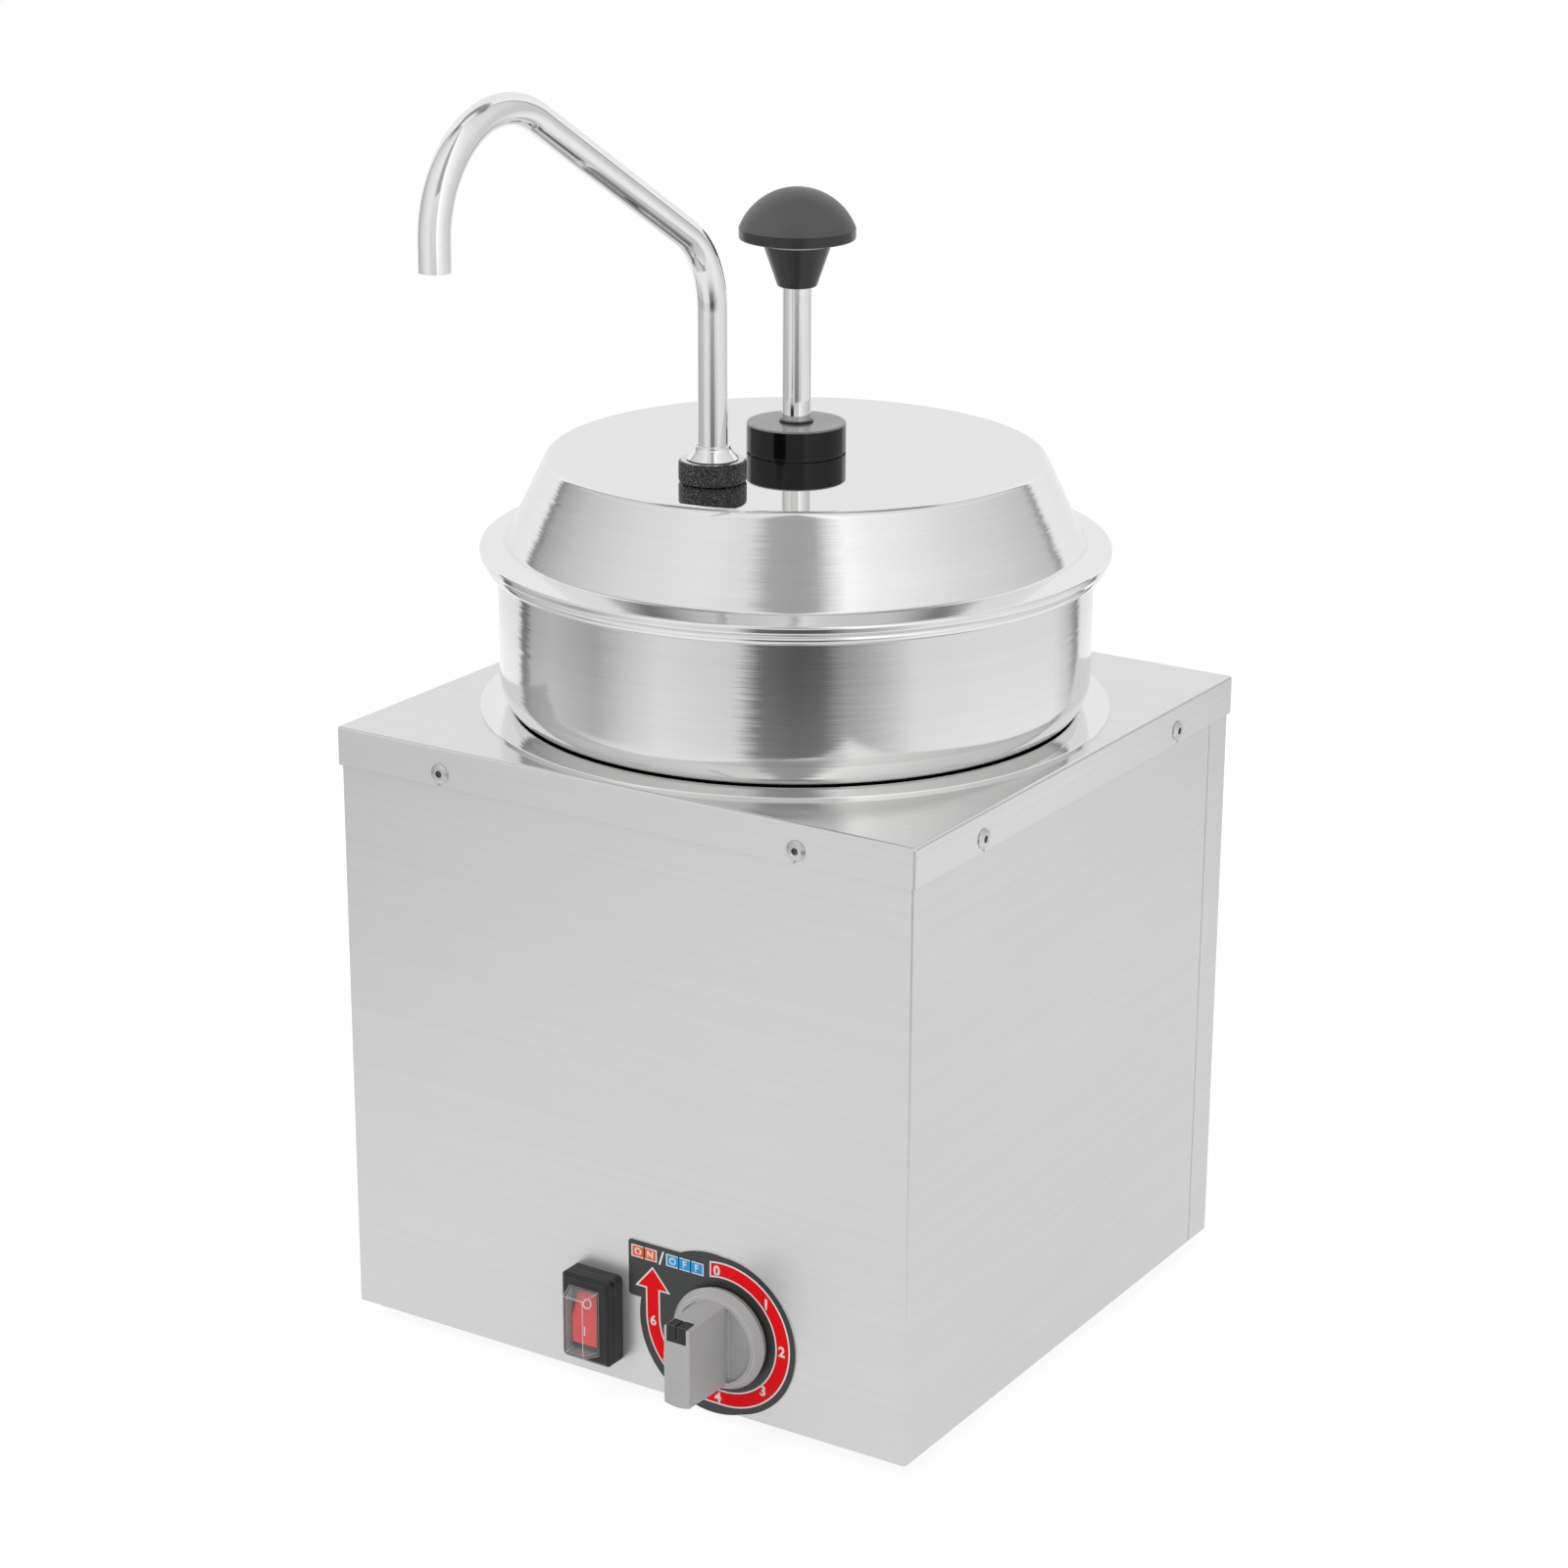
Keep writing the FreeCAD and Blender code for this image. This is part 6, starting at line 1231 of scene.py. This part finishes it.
# Spout ferrule: it flares out to its foot on the nut
ferrule = {"neck": 0.0062, "foot": 0.0004, "flare": 0.0032, "bore": 0.0053, "rise": 0.0050, "curve": 0.0024,
           "footRound": 0.0001}


def makeFerrule(values):
    low, _, wide = turnedSizes("spout_ferrule")
    foot, top = low + values["foot"], low + values["rise"]
    turnedPiece("spout_ferrule", ["polish", "darkSteel"], [
        (values["bore"], low, 0, 0),
        (wide, low, 0, 1),
        (wide, foot, values["footRound"], 0),
        (values["neck"], foot + values["flare"], values["curve"], 0),
        (values["neck"], top, hemEdge, 0),
        (values["bore"], top, cutEdge, 0)], "small", place=Matrix.Translation((0, spoutAxis.y, 0)))


makeFerrule(ferrule)
dressed("riser_tube", ["turnedSteel"])
dressed("valve_body", ["turnedSteel"])


# Return spring: a merged copy of its node with a mesh of its own; the lowest point of the cylinder and the
# plunger's travel are read, but the spring does not shorten
def makeSpring():
    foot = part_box("pump_cylinder")[0].z
    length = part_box("return_spring")[1].z - foot
    joints = frame["record"]["behaviour"]["joints"]
    press = next(joint for joint in joints if joint["name"] == "plunger_press")
    spring = dressed("return_spring", ["screwSteel"], ending="_coil")
    1 - max(press["range_m"]) / length
    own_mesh(spring)


makeSpring()
repainted("screwSteel", "cage_pins", "piston_nut")
repainted("turnedSteel", "rod_spacer", "inlet_ball", "outlet_ball")
repainted("seal", "piston_seal", "lid_gaskets")
repainted("bushBlack", "piston")
print("spout fittings made")


# Rivets: domed heads with a sunk mandrel, set where the frame has them; shares are of the sizes above them
rivets = {
    "radius": 0.00365,
    "crownRadiusShare": 0.66,
    "height": 0.0011,
    "crownHeightShare": 0.94,
    "mouthHeightShare": 0.86,
    "crownRound": 0.0012,
    "edge": 0.00035,
    "bore": 0.00125,
    "lipShare": 1.25,
    "pinShare": 0.94,
    "pinTipShare": 0.4,
    "floor": 0.00035,
    "pinEdge": 0.0002,
    "pinHeight": 0.00032,
    "fineEdge": 0.0001,
    "shankRadius": 0.0020,
    "shankDepth": 0.0040,
    "shankRound": 0.0004,
    "sharpAngle": 35,
}


def makePlacesTree():
    tree, given, results = geometryTree("fastenersOnPlaces", {
        "Places": ("Geometry", None), "Fastener": ("Object", None), "Size": ("Float", 1.0)})
    source = addNode(tree, "GeometryNodeObjectInfo", {"Object": given["Fastener"]})
    facing = addNode(tree, "GeometryNodeInputNamedAttribute", {"Name": "facing"}, data_type="FLOAT_VECTOR")
    align = addNode(tree, "FunctionNodeAlignRotationToVector",
                    {"Vector": facing.outputs["Attribute"]}, axis="Z")
    spread = addNode(tree, "GeometryNodeInstanceOnPoints", {
        "Points": given["Places"], "Instance": source.outputs["Geometry"],
        "Rotation": align.outputs["Rotation"], "Scale": given["Size"]})
    return endTree(tree, spread.outputs["Instances"], given, results)


# One turned shape at every place of (position, facing), as one plain mesh
def spreadPiece(name, tree, places, outline, material, nodes):
    shell = Shell(name + "_one")
    turnShell(shell, outline, False, sides["rivet"])
    one = bpy.data.objects.new(name + "_one", shell.mesh(material))
    one.data.attributes.remove(one.data.attributes["custom_normal"])
    one.data.set_sharp_from_angle(angle=math.radians(rivets["sharpAngle"]))
    mesh = bpy.data.meshes.new(name + "_places")
    mesh.from_pydata([place for place, _ in places], [], [])
    facing = mesh.attributes.new("facing", "FLOAT_VECTOR", "POINT")
    facing.data.foreach_set("vector", [value for _, direction in places for value in direction])
    made = runTree(hostOf(name + "_places", mesh), tree, name,
                   {"Fastener": one, "Size": 1.0, "Finish": finishes[material]})
    bpy.data.objects.remove(one)
    if "facing" in made.attributes:
        made.attributes.remove(made.attributes["facing"])
    addPiece(name, made, nodes, bodyOf["cover_rivets"], slotOf["cover_rivets"])


def rivetPlaces():
    found = []
    for low, high in islands("cover_rivets"):
        middle = (low + high) / 2
        axis = 1 if abs(middle.y) > abs(middle.x) else 0
        facing = Vector((0, 0, 0))
        facing[axis] = math.copysign(1, middle[axis])
        middle[axis] = facing[axis] * coverBox[1][axis]
        found.append((middle, facing))
    return found


def makeRivets(values):
    radius, height, bore, floor = (values[key] for key in ("radius", "height", "bore", "floor"))
    shank, depth = values["shankRadius"], -values["shankDepth"]
    crown, crownHeight = radius * values["crownRadiusShare"], height * values["crownHeightShare"]
    pin, tip = bore * values["pinShare"], floor + values["pinHeight"]
    head = [(0, depth, 0, 0), (shank, depth, values["shankRound"], 0), (shank, 0, 0, 0), (radius, 0, 0, 0),
            (radius, values["edge"], cutEdge, 0),
            (crown, crownHeight, values["crownRound"], 0),
            (bore * values["lipShare"], height, cutEdge, 0),
            (bore, height * values["mouthHeightShare"], values["fineEdge"], 0),
            (bore, floor, 0, 0), (0, floor, 0, 0)]
    mandrel = [(0, floor, 0, 0), (pin, floor, 0, 0), (pin, floor + values["pinEdge"], values["fineEdge"], 0),
               (bore * values["pinTipShare"], tip, cutEdge, 0), (0, tip, 0, 0)]
    tree, places = makePlacesTree(), rivetPlaces()
    spreadPiece("rivet_heads", tree, places, head, "rivetSteel", ["cover_rivets"])
    spreadPiece("rivet_mandrels", tree, places, mandrel, "darkSteel", [])


makeRivets(rivets)

# Feet: soft rubber, a little wider at the tray, with a sunk screw
rubberFoot = {"radius": 0.0110, "toe": 0.0090, "height": 0.0060, "recess": 0.0030, "pit": 0.0041,
              "bore": 0.0021, "edge": 0.0010, "topRound": 0.0004, "fineEdge": 0.0001}


def makeFeet(values):
    bore, pit, recess = values["bore"], values["pit"], values["recess"]
    outline = [(bore, recess, values["fineEdge"], 0), (pit, recess, hemEdge, 0), (pit, 0, hemEdge, 0),
               (values["toe"], 0, values["edge"], 0),
               (values["radius"], values["height"], values["topRound"], 0),
               (bore, values["height"], values["fineEdge"], 0)]
    shell = Shell("feet_shell")
    for low, high in islands("feet"):
        middle = (low + high) / 2
        turnShell(shell, outline, True, sides["foot"], Matrix.Translation((middle.x, middle.y, 0)))
    addPiece("feet_shell", shell.mesh("rubber"), ["feet"])


makeFeet(rubberFoot)
for node in ("foot_screws", "tray_screws", "rear_screws"):
    dressed(node, ["screwSteel"], angle="screwAngle", ending="_set")
print("rivets, feet and screws set")


# Dial: plate with its print, the thermostat knob and its pointer
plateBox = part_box("dial_plate")
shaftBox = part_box("thermostat_shaft")
dialAxis = Vector(((shaftBox[0].x + shaftBox[1].x) / 2, plateBox[0].y, (shaftBox[0].z + shaftBox[1].z) / 2))
dialPrint = {
    "frontFacing": -0.5,
    "bandRadius": 0.0247,
    "bandHalf": 0.0030,
    "bandSteps": 60,
    "outline": 0.0006,
    "startX": -0.0057,
    "leftCentre": (-0.0049, 0.0002),
    "leftRadius": 0.0249,
    "leftSteps": 30,
    "headHalf": 0.0075,
    "headLow": 0.0096,
    "headTop": 0.0185,
    "arrowX": -0.0299,
    "layer": 0.00004,
    "digitHeight": 0.0041,
    "digitWeight": 0.035,
    "digits": (("0", -0.0027, 0.0241), ("1", 0.0178, 0.0166), ("2", 0.0243, 0.0001), ("3", 0.0165, -0.0171),
               ("4", -0.0023, -0.0248), ("5", -0.0243, -0.0152), ("6", -0.0297, -0.0023)),
    "tile": (0.0049, 0.0041),
    "tileInset": 0.0001,
    "rim": (0.0004, 0.0003),            # how far a tile's pale rim stands out beside and above it
    "onTiles": ((-0.0361, 0.0229), (-0.0309, 0.0229)),
    "offTiles": ((-0.0213, 0.0228), (-0.0162, 0.0228), (-0.0111, 0.0228)),
    "letterHeight": 0.0028,
    "letterWeight": 0.03,
    "slash": ((-0.0253, 0.0255), (-0.0270, 0.0201)),
    "slashHalf": 0.0004,
    "curveSteps": 6,
    "weldGap": 1e-5,
}


def onPlate(x, z, lift):
    return Vector((dialAxis.x + x, dialAxis.y - lift, dialAxis.z + z))


# Flat inked shapes, each an outline of (x, z) from the axis of the dial, standing proud of the plate
def printedShape(name, outlines, lift, material):
    shape = bmesh.new()
    for outline in outlines:
        front = [shape.verts.new(onPlate(x, z, lift)) for x, z in outline]
        back = [shape.verts.new(onPlate(x, z, 0)) for x, z in outline]
        shape.faces.new(front)
        shape.faces.new(back[::-1])
        for step in range(len(outline)):
            shape.faces.new((front[step - 1], back[step - 1], back[step], front[step]))
    bmesh.ops.recalc_face_normals(shape, faces=shape.faces)
    bmesh.ops.triangulate(shape, faces=[face for face in shape.faces if len(face.verts) > 4])
    mesh = bpy.data.meshes.new(name)
    shape.to_mesh(mesh)
    shape.free()
    mesh.materials.append(finishes[material])
    addPiece(name, mesh, [], "housing", slotOf["dial_plate"])


def arcOf(middle, radius, first, last, steps):
    angles = [math.radians(first + (last - first) * step / steps) for step in range(steps + 1)]
    return [(middle[0] + radius * math.cos(angle), middle[1] + radius * math.sin(angle)) for angle in angles]


# The red band, from its square start at the top round to the arrow on the left
def bandOutline(values, inset):
    half = values["bandHalf"] - inset
    outer, inner = values["bandRadius"] + half, values["bandRadius"] - half
    leftOuter, leftInner = values["leftRadius"] + half, values["leftRadius"] - half
    startX = values["startX"] + inset
    firstOuter, firstInner = (math.degrees(math.acos(startX / radius)) for radius in (outer, inner))
    slant = math.atan2(values["headHalf"], values["headTop"] - values["headLow"])
    low = values["headLow"] + inset
    tip = values["headTop"] - inset / math.sin(slant)
    wide = (tip - low) * math.tan(slant)
    x = values["arrowX"]
    return [*arcOf((0, 0), outer, firstOuter, -90, values["bandSteps"]),
            *arcOf(values["leftCentre"], leftOuter, -90, -180, values["leftSteps"]),
            (x - half, low), (x - wide, low), (x, tip), (x + wide, low), (x + half, low),
            *arcOf(values["leftCentre"], leftInner, -180, -90, values["leftSteps"]),
            *arcOf((0, 0), inner, -90, firstInner, values["bandSteps"])]


def tileOutline(x, z, halfWidth, halfHeight):
    return [(x - halfWidth, z - halfHeight), (x + halfWidth, z - halfHeight),
            (x + halfWidth, z + halfHeight), (x - halfWidth, z + halfHeight)]


# Figures as one mesh: each is centred on its spot and stands a lift proud
def printedText(name, letters, height, weight, lift, material, node="dial_plate", place=onPlate):
    joined = bmesh.new()
    for letter, x, z in letters:
        curve = bpy.data.curves.new(name, "FONT")
        curve.body = letter
        curve.align_x = "CENTER"
        curve.resolution_u = dialPrint["curveSteps"]
        curve.offset = weight
        text = bpy.data.objects.new(name, curve)
        scene.collection.objects.link(text)
        bpy.context.view_layer.update()
        mesh = bpy.data.meshes.new_from_object(text.evaluated_get(bpy.context.evaluated_depsgraph_get()))
        bpy.data.objects.remove(text)
        low, high = (Vector([most(corner.co[axis] for corner in mesh.vertices) for axis in (0, 1)])
                     for most in (min, max))
        size = height / (high.y - low.y)
        middle = (low + high) / 2
        flat = bmesh.new()
        flat.from_mesh(mesh)
        bmesh.ops.remove_doubles(flat, verts=flat.verts, dist=dialPrint["weldGap"])
        made = bmesh.ops.extrude_face_region(flat, geom=flat.faces[:])["geom"]
        raised = {one for one in made if isinstance(one, bmesh.types.BMVert)}
        for corner in flat.verts:
            level = lift if corner in raised else 0
            corner.co = place(x + (corner.co.x - middle.x) * size, z + (corner.co.y - middle.y) * size, level)
        bmesh.ops.recalc_face_normals(flat, faces=flat.faces)
        flat.to_mesh(mesh)
        flat.free()
        joined.from_mesh(mesh)
        bpy.data.meshes.remove(mesh)
    mesh = bpy.data.meshes.new(name)
    joined.to_mesh(mesh)
    joined.free()
    mesh.materials.append(finishes[material])
    addPiece(name, mesh, [], bodyOf[node], slotOf[node])


def makeDialPrint(values):
    layer, half = values["layer"], values["slashHalf"]
    (topX, topZ), (lowX, lowZ) = values["slash"]
    slash = [(lowX - half, lowZ), (lowX + half, lowZ), (topX + half, topZ), (topX - half, topZ)]
    across, tall = (size / 2 for size in values["tile"])
    onTiles, offTiles = ([tileOutline(x, z, across - values["tileInset"], tall - values["tileInset"])
                          for x, z in values[key]] for key in ("onTiles", "offTiles"))
    places = [*values["onTiles"], *values["offTiles"]]
    rims = [tileOutline(x, z, across + values["rim"][0], tall + values["rim"][1]) for x, z in places]
    printedShape("dial_band_rim", [bandOutline(values, 0)], layer, "whiteInk")
    printedShape("dial_band", [bandOutline(values, values["outline"])], layer * 2, "redInk")
    printedShape("dial_tile_rims", rims + [slash], layer, "whiteInk")
    printedShape("dial_on_tiles", onTiles, layer * 2, "orangeInk")
    printedShape("dial_off_tiles", offTiles, layer * 2, "blueInk")
    printedText("dial_digits", values["digits"], values["digitHeight"], values["digitWeight"], layer * 3,
                "whiteInk")
    letters = [(letter, *place) for letter, place in zip("ONOFF", places)]
    printedText("dial_letters", letters, values["letterHeight"], values["letterWeight"], layer * 3,
                "whiteInk")


def onPlateEdge(face):
    return 0 if face.normal.y < dialPrint["frontFacing"] else 1


dressed("dial_plate", ["plateInk", "plateRim"], onPlateEdge)
makeDialPrint(dialPrint)
dressed("thermostat_knob", ["knobGrey"], angle="mouldedAngle")
dressed("knob_pointer", ["moulded"], angle="mouldedAngle")
repainted("turnedSteel", "thermostat_shaft")
dressed("thermostat_screws", ["screwSteel"], angle="screwAngle", ending="_set")
print("dial printed")


# Rocker switch: bezel, red rocker with its marks, clear cover
rockerSwitch = {"crest": 0.0050, "half": 0.0102, "tilt": 10.0, "mark": 0.0036, "layer": 0.00005,
                "edge": 0.0003}


# Places on the upper or the lower face of the resting rocker, from the middle of that face
def onRocker(end, values):
    low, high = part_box("rocker_pin")
    pivot = (low + high) / 2
    tilt = math.radians(values["tilt"])

    def place(x, z, lift):
        up = end * values["half"] / 2 + z * math.cos(tilt)
        out = values["crest"] - math.tan(tilt) * abs(up) + lift * math.cos(tilt)
        turnedUp = up * math.cos(tilt) + out * math.sin(tilt)
        turnedOut = out * math.cos(tilt) - up * math.sin(tilt)
        return Vector((pivot.x + x, pivot.y - turnedOut, pivot.z + turnedUp))

    return place


def makeRocker(values):
    dressed("switch_bezel", ["moulded"], angle="mouldedAngle")
    dressed("rocker_button", ["red"], angle="mouldedAngle", edge=values["edge"])
    dressed("switch_cover", ["clear"], angle="mouldedAngle")
    for name, mark, end in (("rocker_mark_off", "O", 1), ("rocker_mark_on", "I", -1)):
        printedText(name, [(mark, 0, 0)], values["mark"], 0, values["layer"], "whiteInk", "rocker_button",
                    onRocker(end, values))


makeRocker(rockerSwitch)
print("switch made")


# What the housing holds inside, and the fittings of its back
gland = {"edge": 0.0004}
repainted("screwSteel", "rocker_pin", "clamp_stud", "clamp_nut")
repainted("moulded", "switch_body", "thermostat_body")
repainted("brass", "switch_terminals", "block_screws", "earth_stud", "earth_nut")
repainted("ceramic", "element_terminals", "terminal_block")
repainted("element", "heating_element", "thermal_cutout")
repainted("plainSheet", "element_clamp", "bulb_clip")
repainted("copper", "capillary_bulb")
repainted("wool", "well_insulation")
dressed("cable_gland", ["moulded"], angle="screwAngle", edge=gland["edge"])
dressed("gland_locknut", ["moulded"], angle="screwAngle")
print("fittings dressed")
